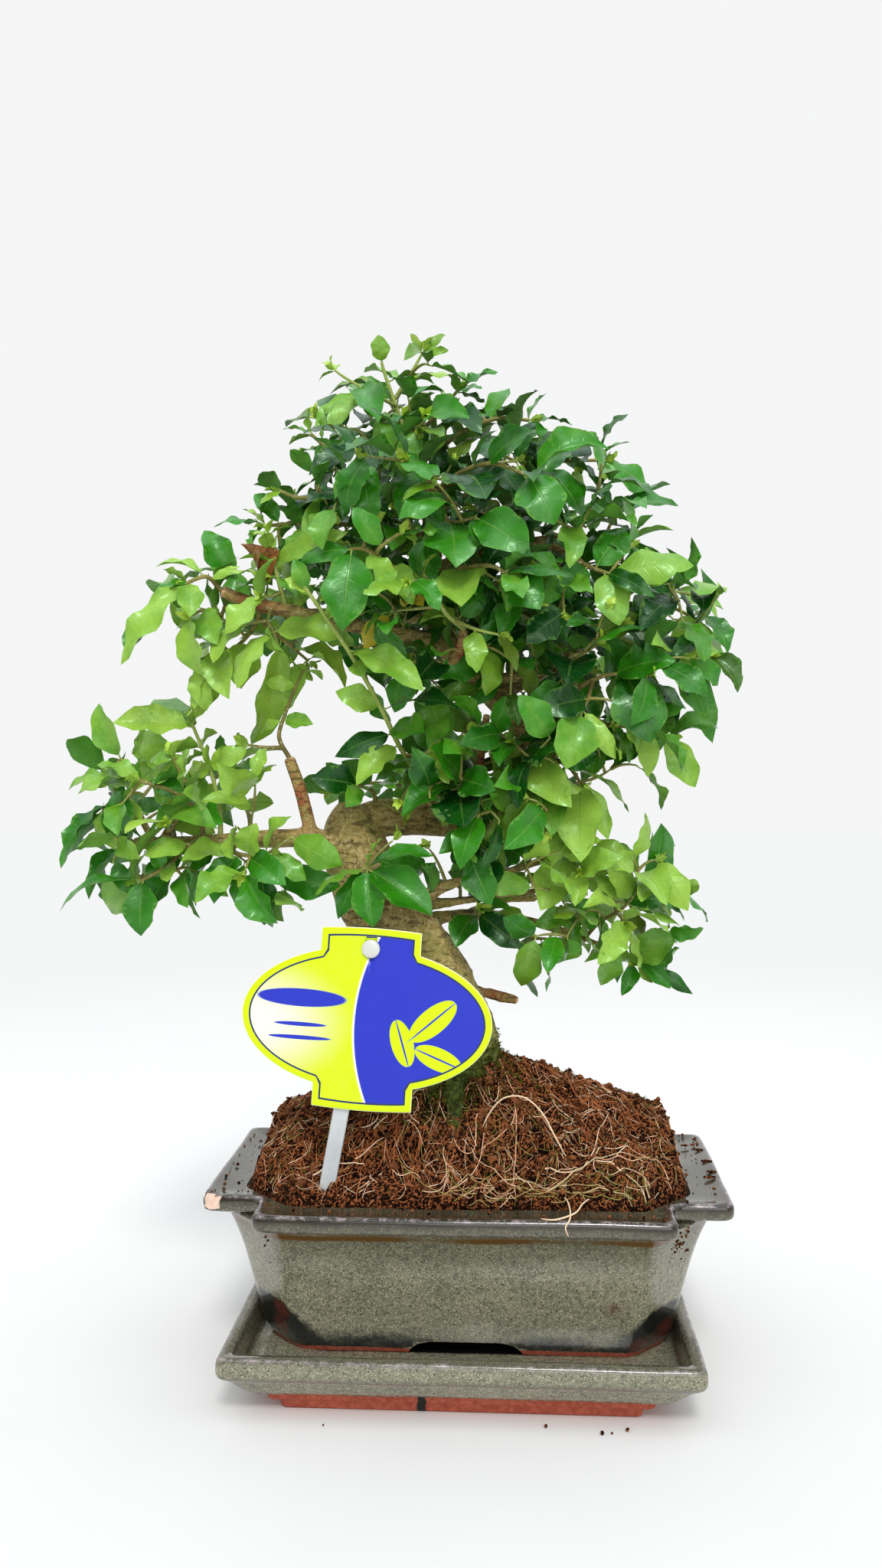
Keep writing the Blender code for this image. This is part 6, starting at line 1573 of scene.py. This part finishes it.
foliage = {
    "carries": ("tone", "age", "yellow", "dry"),
    "crown": (-10, 8, 285),  # paired leaves turn their faces away from here, and up
    "step": 1.3 * mm,  # between leaves that share a place on a twig
    "twigRadius": (1.05, 1.25),  # of a spray with small leaves, and of one with leaves of 13 mm or more
    "twigSides": 8,
    "tries": 14,  # for a leaf to end where its solid has one
    "bends": {"bow": (0.04, 0.13), "fold": (0.15, 0.5), "wave": (-0.07, 0.07), "twist": (-0.4, 0.4)},
    "solidBlade": 0.75 * mm,  # how thick the solids' leaves are
    "blade": 0.34 * mm,
    "rows": (11, 6),  # along a leaf and along a bud's small leaf
    "columns": ((-1, -0.7, -0.36, 0, 0.36, 0.7, 1), (-1, -0.5, 0, 0.5, 1)),
    "small": 9 * mm,
    "stalk": 0.07,  # share of a leaf that is its stalk
    "stalkRadii": [0.42 * mm, 0.36 * mm, 0.22 * mm],
    "young": ("left_shoot_inner", "high_under", "high_top", "second_shoot", "crown_top"),
    "greenStems": ("long_shoot", "second_shoot", "crown_top", "high_top", "left_shoot_inner"),
    # how light each region's leaves are, their own tone with painted light and shade over the crown: centre,
    # reach and lightness
    "light": [((-95, -20, 235), 62, 0.5), ((-85, -20, 285), 45, 0.44), ((60, -10, 205), 42, 0.4),
              ((50, 0, 175), 40, 0.5), ((-45, -40, 270), 40, 0.12), ((98, 20, 290), 22, 0.3),
              ((-18, -45, 300), 18, 0.25), ((15, -30, 352), 36, -0.14), ((50, -25, 300), 45, -0.1),
              ((-26, 0, 385), 26, 0.25)],
    # a dry curled leaf: its spray, root, tip and the way it faces
    "dryAt": ("high_end", (-79, -26, 303), (-86, -30, 320), (0.6, -0.8, 0.2)),
    "tint": (0.62, 0.9, 0.6, 1),  # of the gloss
    "deep": paint(0, 54, 6),
    "middle": paint(48, 128, 10),
    "pale": paint(146, 188, 66),
    "youngColour": paint(186, 212, 66),
    "yellowColour": paint(204, 178, 44),
    "dryColours": (paint(104, 60, 26), paint(150, 96, 48)),
    "under": paint(122, 170, 84),
    "vein": paint(138, 176, 78),
    "rim": paint(112, 158, 52),
    "twig": (paint(88, 72, 34), paint(140, 122, 66)),
    "youngTwig": paint(158, 182, 88),
    "twigDots": paint(206, 200, 160),
}


def along(points, share):
    # the place at a share of a path, and the way ahead there
    spans = [(b - a).length for a, b in zip(points, points[1:])]
    left = share * sum(spans)
    for (a, b), span in zip(zip(points, points[1:]), spans):
        if left <= span or b is points[-1]:
            return a.lerp(b, min(1.0, left / span)), (b - a).normalized()
        left -= span


def squareTo(vector, axis):
    rest = vector - axis * vector.dot(axis)
    return (rest if rest.length > 1e-6 else axis.orthogonal()).normalized()


def beside(ahead, turn):
    # a way square to another, turned round it
    return Quaternion(ahead, turn) @ ahead.orthogonal().normalized()


def finishLeaf(draw, root, tip, ratio, face):
    leaf = {"root": root, "tip": tip, "face": face, "ratio": ratio}
    for name, span in foliage["bends"].items():
        leaf[name] = draw.uniform(*span)
    return leaf


def leafRoot(twig, share, shift=0.0):
    # the last leaves stand a little before the twig's end
    root, ahead = along(twig, min(1.0, share + shift))
    return root - ahead * (0.6 * mm if share > 0.97 else 0.0), ahead


def setLeaf(draw, attempt, twig, share, tip, ratio, facing):
    root, _ = leafRoot(twig, share, 0.02 * attempt)
    tip = pointMm(*tip) + shaken(draw, 0.9 * mm * attempt)
    face = Vector(facing).normalized() + shaken(draw, 0.25 + 0.05 * attempt)
    return finishLeaf(draw, root, tip, ratio, squareTo(face, (tip - root).normalized()))


def pairedLeaf(draw, attempt, twig, share, turn, size):
    root, ahead = leafRoot(twig, share)
    across = beside(ahead, turn + draw.uniform(-0.3, 0.3) * (1 + 0.4 * attempt))
    spread = math.radians(draw.uniform(48, 70))
    axis = ahead * math.cos(spread) + across * math.sin(spread)
    axis.z -= draw.uniform(0.0, 0.35)
    axis = (axis + shaken(draw, 0.08 * attempt)).normalized()
    length = size * draw.uniform(0.85, 1.2) * (1.0 - 0.03 * attempt)
    outward = (root - pointMm(*foliage["crown"])).normalized()
    face = outward * 0.8 + Vector((0.0, 0.0, 0.8)) + shaken(draw, 0.35)
    return finishLeaf(draw, root, root + axis * length, draw.uniform(0.48, 0.6), squareTo(face, axis))


def wantedLeaves(name, twigs):
    # each leaf of a spray: its number, the function that makes it and what that needs
    size, pairs, _, single = sprays[name]
    for index, (twig, share, x, y, z, ratio, *facing) in enumerate(single):
        before = sum(leaf[:2] == (twig, share) for leaf in single[:index])
        share -= before * foliage["step"] / sum((b - a).length for a, b in zip(twigs[twig], twigs[twig][1:]))
        yield index, setLeaf, (twigs[twig], share, (x, y, z), ratio, facing[0] if facing else front)
    index = 100
    for twig, count in zip(twigs, pairs):
        for pair in range(count):
            share = 0.3 + 0.7 * (pair + 1) / count if count > 1 else 1.0
            for half in (0, 1):
                turn = (pair % 2) * math.pi / 2 + half * math.pi + len(name) * 0.7
                yield index, pairedLeaf, (twig, share, turn, size * mm * (1.1 - 0.35 * share))
                index += 1


def seatTwig(points, radius, tree):
    # moves a twig's start out of its branch until it stands clear, as the solids do
    start, ahead = points[0], (points[1] - points[0]).normalized()
    side = ahead.orthogonal().normalized()
    rim = [Quaternion(ahead, k * math.pi / 3) @ side * radius for k in range(6)] + [Vector((0, 0, 0))]
    for k in range(400):
        centre = start + ahead * (k * 0.05 * mm)
        for corner in rim:
            spot, normal, _, distance = tree.find_nearest(centre + corner)
            if distance < 0.3 * mm or (centre + corner - spot).dot(normal) < 0:
                break
        else:
            return [centre] + points[1:]
    return points


def bladeWidth(share):
    # half the blade's width along it, as a share of the most
    return math.sin(math.pi * share ** 0.97) ** (0.52 + 0.34 * share) if 0 < share < 1 else 0.0


def addLeaf(shape, draw, leaf, tone, age, yellow=0.0, dry=0.0):
    root, tip, face = leaf["root"], leaf["tip"], leaf["face"]
    length = (tip - root).length
    axis = (tip - root) / length
    side = axis.cross(face)
    ripples, phase = draw.uniform(1.4, 3.0), draw.uniform(0, 6.28)
    ruffle, hook = draw.uniform(0.02, 0.07) * length, draw.uniform(-0.02, 0.1) * length
    lean = draw.uniform(-0.35, 0.35)
    fold = leaf["fold"] * draw.choice((2.0, 1.6, 1.2, 0.8, -0.6))
    small = length < foliage["small"]
    rows, columns = foliage["rows"][small], foliage["columns"][small]
    stalk, thick, wide = foliage["stalk"], foliage["blade"] / 2, len(columns)

    def place(share, across, lift):
        # a place on the leaf, at a share of its length
        bow = leaf["bow"] * 4 * share * (1 - share) * (1 + lean * (2 * share - 1)) * length
        turned = Quaternion(axis, leaf["twist"] * (share - 0.4)) @ (side * across + face * lift)
        return root + axis * (length * share) + face * (bow - hook * max(0.0, share - 0.6) ** 2 * 6) + turned

    points, maps = [place(stalk, 0, 0), place(1.0, 0, 0)], [(0.5, 0.0), (0.5, 1.0)]
    top, bottom = [], []
    for row in range(1, rows):
        share = row / rows
        real = stalk + (1 - stalk) * share
        reach = leaf["ratio"] * length / 2 * bladeWidth(share)
        swing = math.cos(math.pi * (real - 0.32) / 0.36) * leaf["wave"] * length * 0.5
        line, lifts = [], []
        for across in columns:
            lift = fold * reach * 0.7 * abs(across) ** 1.4 + swing * across * abs(across)
            ripple = math.sin(6.28 * ripples * share + phase + (1.9 if across > 0 else 0))
            lift += ruffle * abs(across) ** 2 * ripple * min(1, 4 * share * (1 - share) + 0.2)
            swell = 0.09 * math.sin(phase + 13 * share + 1.7 * across) * abs(across)
            line.append(place(real, across * reach * (1 + swell), lift))
            lifts.append(face * (thick * (1 - across ** 2) * min(1, 5 * share * (1 - share) + 0.3)))
        first = len(points)
        points += [point + lift for point, lift in zip(line, lifts)]
        points += [point - lift for point, lift in zip(line[1:-1], lifts[1:-1])]
        maps += [(across / 2 + 0.5, share) for across in columns + columns[1:-1]]
        top.append(list(range(first, first + wide)))
        bottom.append([first, *range(first + wide, first + 2 * wide - 2), first + wide - 1])
    faces = []
    for sheet in (top, bottom):
        made = [(0, sheet[0][k + 1], sheet[0][k]) for k in range(wide - 1)]
        made += [(1, sheet[-1][k], sheet[-1][k + 1]) for k in range(wide - 1)]
        for low, high in zip(sheet, sheet[1:]):
            made += [(low[k], low[k + 1], high[k + 1], high[k]) for k in range(wide - 1)]
        faces += made if sheet is top else [corners[::-1] for corners in made]
    looks = [0] * (len(faces) // 2) + [1] * (len(faces) // 2)
    shape.add(points, faces, looks, maps, tone=tone, age=age, yellow=yellow, dry=dry)
    if not small:
        stem = [root, place(stalk * 0.6, 0, 0), place(stalk * 1.6, 0, -thick)]
        shape.addTube(stem, foliage["stalkRadii"], 4, 2, tone=tone, age=1.0)


def toneAt(place, draw):
    # how light a leaf is where it grows: its own tone with painted light and shade
    tone = 0.34
    for centre, reach, lightness in foliage["light"]:
        tone += lightness * max(0.0, 1.4 - (place - pointMm(*centre)).length / (reach * mm))
    return clamped(tone + draw.gauss(0, 0.24))


def makeVeins():
    # a leaf's midrib, side veins and rim, from a map with u across and v along the leaf
    effect = Effect("veins", Map=None, Pairs=6.0)
    apart = effect.put("SeparateXYZ", {0: effect.given["Map"]})
    across = effect.math("ABSOLUTE", effect.timesPlus(apart[0], 2.0, -1.0))
    lengthwise = apart[1]
    narrow = effect.timesPlus(lengthwise, -0.05, 0.075)
    midrib = effect.between(effect.over(across, narrow), 1.3, 0.5)
    slanted = effect.timesPlus(across, -0.17, lengthwise)
    phase = effect.math("FRACT", effect.times(slanted, effect.given["Pairs"]))
    line = effect.between(effect.math("ABSOLUTE", effect.minus(phase, 0.5)), 0.1, 0.0)
    sideVeins = effect.times(line, effect.between(across, 0.9, 0.3))
    height = effect.timesPlus(sideVeins, -0.35, effect.times(midrib, -1.0))
    rim = effect.between(across, 0.9, 1.0)
    return effect.gives({"Midrib": midrib, "Side veins": sideVeins, "Rim": rim, "Height": height})


veins = makeVeins()


def makeLeaf(name, under):
    look = Finish(name, {"Specular IOR Level": 0.3 if under else 0.66, "Specular Tint": foliage["tint"]})
    broad, fine = look.mottled(110.0, 6.0)
    surfaceMap = look.put("UVMap", uv_map="surfaceMap")[0]
    lines = look.put("Group", {"Map": surfaceMap, "Pairs": 7.0}, node_tree=veins)
    tone = look.plus(look.carried("tone"), look.timesPlus(broad, 0.16, -0.08))
    look.startWith(look.between(tone, 0.0, 0.5), foliage["deep"], foliage["middle"])
    look.cover(look.between(tone, 0.45, 1.0), foliage["pale"])
    look.cover(look.times(look.carried("age"), 0.8), foliage["youngColour"])
    look.cover(look.carried("yellow"), foliage["yellowColour"])
    if under:
        look.cover(0.36, foliage["under"])
    look.cover(look.times(lines["Side veins"], 0.05), foliage["vein"])
    look.cover(look.times(lines["Midrib"], 0.22), foliage["vein"])
    look.cover(look.times(lines["Rim"], 0.2), foliage["rim"])
    look.cover(look.times(fine, 0.14), foliage["deep"])
    look.cover(look.carried("dry"), look.blend(fine, *foliage["dryColours"]))
    smooth, rough, strength, depth = (0.5, 0.62, 0.8, -0.4 * mm) if under else (0.25, 0.4, 0.35, 0.4 * mm)
    roughness = look.between(fine, 0.0, 1.0, smooth, rough)
    return look.done((lines["Height"], strength, depth), {"Roughness": roughness})


def makeTwigBark():
    look = Finish("twigBark", {"Roughness": 0.65, "Specular IOR Level": 0.3})
    broad, fine = look.mottled(180.0)
    look.startWith(broad, *foliage["twig"])
    look.cover(look.times(look.carried("age"), 0.85), foliage["youngTwig"])
    look.cover(look.times(look.grains(700.0, 0.25)[1], 0.6), foliage["twigDots"])
    return look.done((fine, 0.3, 0.3 * mm))


leafLooks = [makeLeaf("leafFace", False), makeLeaf("leafUnderside", True), makeTwigBark()]


def cornersOf(node):
    # a solid's corners in the pot's own frame, to look places up
    corners = KDTree(len(node.data.vertices))
    for vertex in node.data.vertices:
        corners.insert(vertex.co - potShift, vertex.index)
    corners.balance()
    return corners


def growSprays(trunkTree):
    # each spray's twigs, and the leaves that its solid has too
    grown = {}
    for name, (size, _, routes, _) in sprays.items():
        corners = cornersOf(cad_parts["spray_" + name])
        twigs = [[pointMm(*point) for point in route] for route in routes]
        thick, origin = foliage["twigRadius"][size >= 13], twigs[0][0]
        twigs[0] = seatTwig(twigs[0], thick * mm, trunkTree)
        youth, start = (0.9, 0.5) if name in foliage["greenStems"] else (0.25, 0.0)
        shape = Shape(*foliage["carries"])
        for k, twig in enumerate(twigs):
            points = [origin] + twig if k == 0 else twig
            radius, last = thick * (1.0 if k == 0 else 0.8) * mm, len(points) - 1
            path, radii = smoothPath(points, [radius * (1 - 0.45 * n / last) for n in range(last + 1)], 4)
            ages = [youth * min(1.0, start + n / (len(path) * 0.8)) for n in range(len(path))]
            shape.addTube(path, radii, foliage["twigSides"], 2, age=ages)
        leaves = []
        for index, make, values in wantedLeaves(name, twigs):
            for attempt in range(foliage["tries"]):
                leaf = make(random.Random(f"{name} {index} {attempt}"), attempt, *values)
                lift = leaf["face"] * (foliage["solidBlade"] / 2)
                if all(corners.find(leaf["tip"] + way * lift)[2] < 0.13 * mm for way in (-1, 1)):
                    leaves.append((index, leaf))
                    break
        grown[name] = (shape, twigs, leaves)
    return grown


def insideBox(place):
    spare = 1.5 * mm
    return all(cadLow[k] + spare < place[k] + potShift[k] < cadHigh[k] - spare for k in range(3))


def trimToBox(shape):
    # keeps every point inside the solids' box
    spare = 0.03 * mm
    for point in shape.points:
        for k in range(3):
            point[k] = clamped(point[k] + potShift[k], cadLow[k] + spare, cadHigh[k] - spare) - potShift[k]


def addBud(shape, draw, end, ahead):
    # a rosette of small lime leaves at the end of a shoot
    for k in range(draw.randint(3, 5)):
        across = beside(ahead, k * 2.4 + draw.uniform(-0.3, 0.3))
        axis = (ahead + across * draw.uniform(0.3, 0.9) + Vector((0, 0, 0.25))).normalized()
        length = draw.uniform(3.5, 7.5) * mm
        ratio = draw.uniform(0.42, 0.6)
        leaf = finishLeaf(draw, end, end + axis * length, ratio, squareTo(ahead - across, axis))
        if insideBox(leaf["tip"]):
            addLeaf(shape, draw, leaf, 0.9, draw.uniform(0.7, 1.0))


def dressSprays(grown):
    count = 0
    for name, (shape, twigs, leaves) in grown.items():
        young = name in foliage["young"]
        for index, leaf in leaves:
            draw = random.Random(f"look {name} {index}")
            length = (leaf["tip"] - leaf["root"]).length
            age = 0.0
            if young:
                age = draw.uniform(0.25, 0.75) if length < 17 * mm else draw.uniform(0.0, 0.35)
            elif length < 12 * mm:
                age = draw.uniform(0.1, 0.6)
            addLeaf(shape, draw, leaf, toneAt(leaf["tip"].lerp(leaf["root"], 0.4), draw), age)
        draw = random.Random("bud " + name)
        for twig in twigs:
            if young or draw.random() < 0.35:
                addBud(shape, draw, twig[-1], (twig[-1] - twig[-2]).normalized())
        if name == foliage["dryAt"][0]:
            root, tip, face = [pointMm(*part) for part in foliage["dryAt"][1:]]
            leaf = finishLeaf(draw, root, tip, 0.5, squareTo(face, (tip - root).normalized()))
            leaf.update(fold=1.6, twist=0.9, bow=0.16)
            addLeaf(shape, draw, leaf, 0.2, 0.0, dry=1.0)
        count += len(leaves)
        trimToBox(shape)
        piece = makeMesh("leaves_" + name, shape, leafLooks, sharp=70)
        settle(piece, "young_leaf" if young else "leaf", "spray_" + name)
    return count


print("foliage")
trunkTree = skinOf(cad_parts["trunk"])
grownSprays = growSprays(trunkTree)
print("leaves:", dressSprays(grownSprays))


# side twigs with smaller leaves that fill the crown, from the wood nearest to each place

fill = {
    # name, centre, reach and twigs of each mass of leaves, in millimetres
    "masses": [
        ("top", (-26, 4, 374), (32, 26, 24), 18),
        ("dome", (2, -8, 338), (60, 44, 34), 76),
        ("domeLeft", (-50, -10, 334), (30, 26, 20), 20),
        ("heart", (-6, -20, 298), (40, 34, 28), 46),
        ("right", (48, -8, 290), (50, 38, 28), 46),
        ("rightLow", (38, -12, 250), (36, 30, 26), 30),
        ("middle", (4, -14, 222), (44, 26, 24), 34),
        ("leftHigh", (-88, -20, 292), (34, 20, 20), 18),
        ("leftLow", (-116, -20, 214), (40, 22, 24), 26),
        ("leftInner", (-80, -26, 198), (24, 16, 14), 7),
        ("rightFoot", (44, 6, 174), (44, 24, 24), 20),
        ("rightInner", (22, -6, 190), (24, 16, 14), 12),
        ("back", (-22, 44, 300), (58, 32, 50), 36),
        ("backLow", (-4, 50, 226), (58, 28, 24), 14),
    ],
    "tries": 16,  # for each twig
    "reach": (9 * mm, 42 * mm),  # from the wood to a twig's end
    "twigRadii": [0.75 * mm, 0.65 * mm, 0.52 * mm, 0.38 * mm],
    "twigSides": 6,
    "spacing": 7.5 * mm,
    "leaf": (17, 29),
    "leafTries": 5,
    "ratio": (0.42, 0.58),
    "clearance": 0.25 * mm,
    "yellowAt": [(-21, -32, 299), (-40, -30, 283)],  # a leaf that ends near each of these has turned yellow
    # places in the photograph, in its pixels, that stay open: across, down, radius
    "open": [(430, 900, 62), (425, 985, 50), (380, 930, 45), (470, 1080, 42), (520, 1085, 42),
             (575, 1100, 30), (505, 1190, 46), (560, 1235, 50), (205, 900, 40), (718, 1000, 22),
             (360, 1050, 34), (365, 1120, 30), (690, 1180, 26), (640, 1260, 40), (800, 1030, 40)],
}


def cameraTurned(axis):
    return Matrix.Rotation(math.radians(studio["cameraTurn"]["XYZ".index(axis)]), 3, axis)


def seenAt(place):
    # where the camera sees a place, in the photograph's pixels
    turn = cameraTurned("Z") @ cameraTurned("Y") @ cameraTurned("X")
    local = turn.transposed() @ (place + potShift - pointMm(*studio["camera"]))
    width, height = studio["picture"]
    focal = studio["lens"] / studio["sensor"] * height
    return width / 2 + focal * local.x / -local.z, height / 2 - focal * local.y / -local.z


def plainBlade(leaf, grow):
    # a leaf's outline as a thin closed solid, for keeping leaves apart
    root, tip, face = leaf["root"], leaf["tip"], leaf["face"]
    length = (tip - root).length
    axis = (tip - root) / length
    side = axis.cross(face)
    reach = leaf["ratio"] * length / 2
    lift = face * (leaf["fold"] * reach * 0.7) + face * (leaf["bow"] * length)
    flat = [root + axis * (length * 0.12)]
    for share, width in ((0.32, 0.96), (0.7, 0.8)):
        middle, wide = root + axis * (length * share), reach * width + grow
        flat += [middle + side * (way * wide) + lift for way in (-1, 1)]
    flat.append(tip + axis * grow)
    top = [(0, 2, 1), (1, 2, 4), (1, 4, 3), (3, 4, 5)]
    offset = face * (0.2 * mm + grow)
    points = [point + offset for point in flat] + [point - offset for point in flat]
    rim = [0, 2, 4, 5, 3, 1]
    faces = top + [(c + 6, b + 6, a + 6) for a, b, c in top]
    return points, faces + [(b, a, a + 6, b + 6) for a, b in zip(rim, rim[1:] + rim[:1])]


class Taken:
    # a solid with its box, for a quick first look
    def __init__(self, points, faces):
        self.tree = BVHTree.FromPolygons(points, faces)
        self.low = [min(point[k] for point in points) for k in range(3)]
        self.high = [max(point[k] for point in points) for k in range(3)]

    def meets(self, other):
        if any(self.low[k] > other.high[k] or other.low[k] > self.high[k] for k in range(3)):
            return False
        return bool(self.tree.overlap(other.tree))


def standsOpen(leaf):
    for share in (0.35, 0.7, 1.0):
        px, py = seenAt(leaf["root"].lerp(leaf["tip"], share))
        if any((px - x) ** 2 + (py - y) ** 2 < r * r for x, y, r in fill["open"]):
            return False
    return True


def fillTwig(draw, wood, centre, reach):
    # a twig from the nearest wood to a place in a mass of leaves, if one fits there
    away = Vector([draw.gauss(0, 0.55) for _ in range(3)])
    if away.length > 1.15:
        return None
    goal = Vector([(centre[k] + away[k] * reach[k]) * mm for k in range(3)])
    start = min(wood, key=lambda place: (place - goal).length + 0.3 * max(0.0, place.z - goal.z))
    length = (goal - start).length
    if not fill["reach"][0] < length < fill["reach"][1] or not insideBox(goal):
        return None
    sag = upward * length * draw.uniform(-0.05, 0.16) + shaken(draw, 0.06) * length
    return [start, start.lerp(goal, 0.35) + sag * 0.8, start.lerp(goal, 0.7) + sag * 0.7, goal]


def fillLeaf(draw, root, ahead, turn, last, taken):
    # one try for a leaf on a fill twig
    across = beside(ahead, turn + draw.uniform(-0.5, 0.5))
    spread = math.radians(draw.uniform(30 if last else 45, 75))
    axis = ahead * math.cos(spread) + across * math.sin(spread) + Vector((0, 0, -draw.uniform(0, 0.45)))
    axis.normalize()
    size = draw.uniform(*fill["leaf"]) * mm * (0.85 if last else 1.0)
    outward = (root - pointMm(*foliage["crown"])).normalized()
    face = outward * 0.5 + Vector((0, -0.4, 0.75)) + shaken(draw, 0.55)
    leaf = finishLeaf(draw, root, root + axis * size, draw.uniform(*fill["ratio"]), squareTo(face, axis))
    leaf["bow"] *= draw.uniform(0.9, 1.7)
    if not insideBox(leaf["tip"]) or not standsOpen(leaf):
        return None
    if trunkTree.ray_cast(root + axis * 2 * mm, axis, size)[0] is not None:
        return None
    around = Taken(*plainBlade(leaf, fill["clearance"]))
    return None if any(around.meets(other) for other in taken) else leaf


def fillLeaves(draw, path, pairs, taken):
    leaves = []
    for pair in range(pairs):
        last = pair == pairs - 1
        root, ahead = along(path, 1.0 if last else 0.35 + 0.65 * pair / pairs)
        turn = (pair % 2) * math.pi / 2 + draw.uniform(0, 0.8)
        for half in (0, 1):
            for _ in range(fill["leafTries"]):
                leaf = fillLeaf(draw, root, ahead, turn + half * math.pi, last, taken)
                if leaf:
                    leaves.append((leaf, last))
                    taken.append(Taken(*plainBlade(leaf, 0.0)))
                    break
    return leaves


def buildFill(grown):
    draw = random.Random("fill")
    wood = []
    for rows in [trunk["upper"]] + trunk["branches"]:
        wood += smoothPath(*pathOf(rows), 4)[0][2:]
    taken = [Taken(*plainBlade(leaf, 0.0)) for _, _, leaves in grown.values() for _, leaf in leaves]
    for _, twigs, _ in grown.values():
        for twig in twigs:
            wood += smoothPath(twig, [0.0] * len(twig), 4)[0][1:]
    total, spots = 0, list(fill["yellowAt"])
    for name, centre, reach, twigs in fill["masses"]:
        shape, made = Shape(*foliage["carries"]), 0
        for _ in range(twigs * fill["tries"]):
            if made == twigs:
                break
            twig = fillTwig(draw, wood, centre, reach)
            if not twig:
                continue
            path, radii = smoothPath(twig, fill["twigRadii"], 4)
            pairs = max(1, round((twig[-1] - twig[0]).length / fill["spacing"]))
            leaves = fillLeaves(draw, path, pairs, taken)
            if not leaves:
                continue
            ages = [0.2 + 0.5 * n / len(path) for n in range(len(path))]
            shape.addTube(path, radii, fill["twigSides"], 2, age=ages)
            wood += path[4:]
            for leaf, last in leaves:
                age = draw.uniform(0.0, 0.4) if last and draw.random() < 0.3 else 0.0
                near = [spot for spot in spots if (leaf["tip"] - pointMm(*spot)).length < 9 * mm]
                spots = [spot for spot in spots if spot not in near]
                addLeaf(shape, draw, leaf, toneAt(leaf["tip"], draw), age, 0.9 if near else 0.0)
            if draw.random() < 0.45:
                addBud(shape, draw, path[-1], (path[-1] - path[-3]).normalized())
            total += len(leaves)
            made += 1
        trimToBox(shape)
        settle(makeMesh("fillLeaves_" + name, shape, leafLooks, sharp=70), "leaf")
        print("  ", name, made, "twigs")
    return total


print("fill leaves:", buildFill(grownSprays))


# floor, light and camera


def makeFloor():
    look = Finish("floorPaint", {"Roughness": 0.8, "Specular IOR Level": 0.0})
    broad, fine = look.mottled(3.0)
    look.startWith(look.timesPlus(fine, 0.3, look.times(broad, 0.6)), *studio["floor"])
    start, end, dim = studio["farFloor"]
    away = look.put("VectorMath", {0: look.place}, operation="LENGTH")["Value"]
    # painted shade: the floor darkens with distance from the middle
    look.cover(look.between(away, start, end), dim)
    shape = Shape()
    shape.add(fourCorners(studio["floorHalf"], studio["floorHalf"]), [(0, 1, 2, 3)])
    makeMesh("paleFloor", shape, [look.done()], shift=False)


def addLamp(name, settings):
    lamp = bpy.data.lights.new(name, "SUN")
    lamp.angle, lamp.energy = math.radians(settings["spread"]), settings["strength"]
    made = bpy.data.objects.new(name, lamp)
    made.rotation_euler = (-Vector(settings["from"])).to_track_quat("-Z", "Y").to_euler()
    bpy.context.scene.collection.objects.link(made)


def lightRoom(tree):
    # a white room that gives light as if it had a cool ceiling and were dimmer in front of the plant
    room = Nodes(tree)
    ways = room.put("SeparateXYZ", {0: room.put("TexCoord")["Generated"]})
    colour = room.blend(room.between(ways[1], -0.1, -0.8), studio["backdrop"], studio["frontWall"])
    colour = room.blend(room.between(ways[2], *studio["ceiling"]), colour, studio["overhead"])
    seen = room.put("LightPath")["Is Camera Ray"]
    tree.links.new(room.blend(seen, colour, studio["backdrop"]), tree.nodes["Background"].inputs["Color"])


def setStage():
    scene = bpy.context.scene
    makeFloor()
    scene.world = bpy.data.worlds.new("paleRoom")
    scene.world.use_nodes = True
    lightRoom(scene.world.node_tree)
    addLamp("keyLight", studio["key"])
    addLamp("fillLight", studio["fill"])
    scene.view_settings.view_transform = "Standard"
    camera = bpy.data.objects.new("photoCamera", bpy.data.cameras.new("photoCamera"))
    camera.data.lens, camera.data.sensor_width = studio["lens"], studio["sensor"]
    camera.data.clip_start = 0.01
    camera.location = pointMm(*studio["camera"])
    camera.rotation_euler = [math.radians(part) for part in studio["cameraTurn"]]
    scene.collection.objects.link(camera)
    scene.camera = camera


print("stage")
setStage()
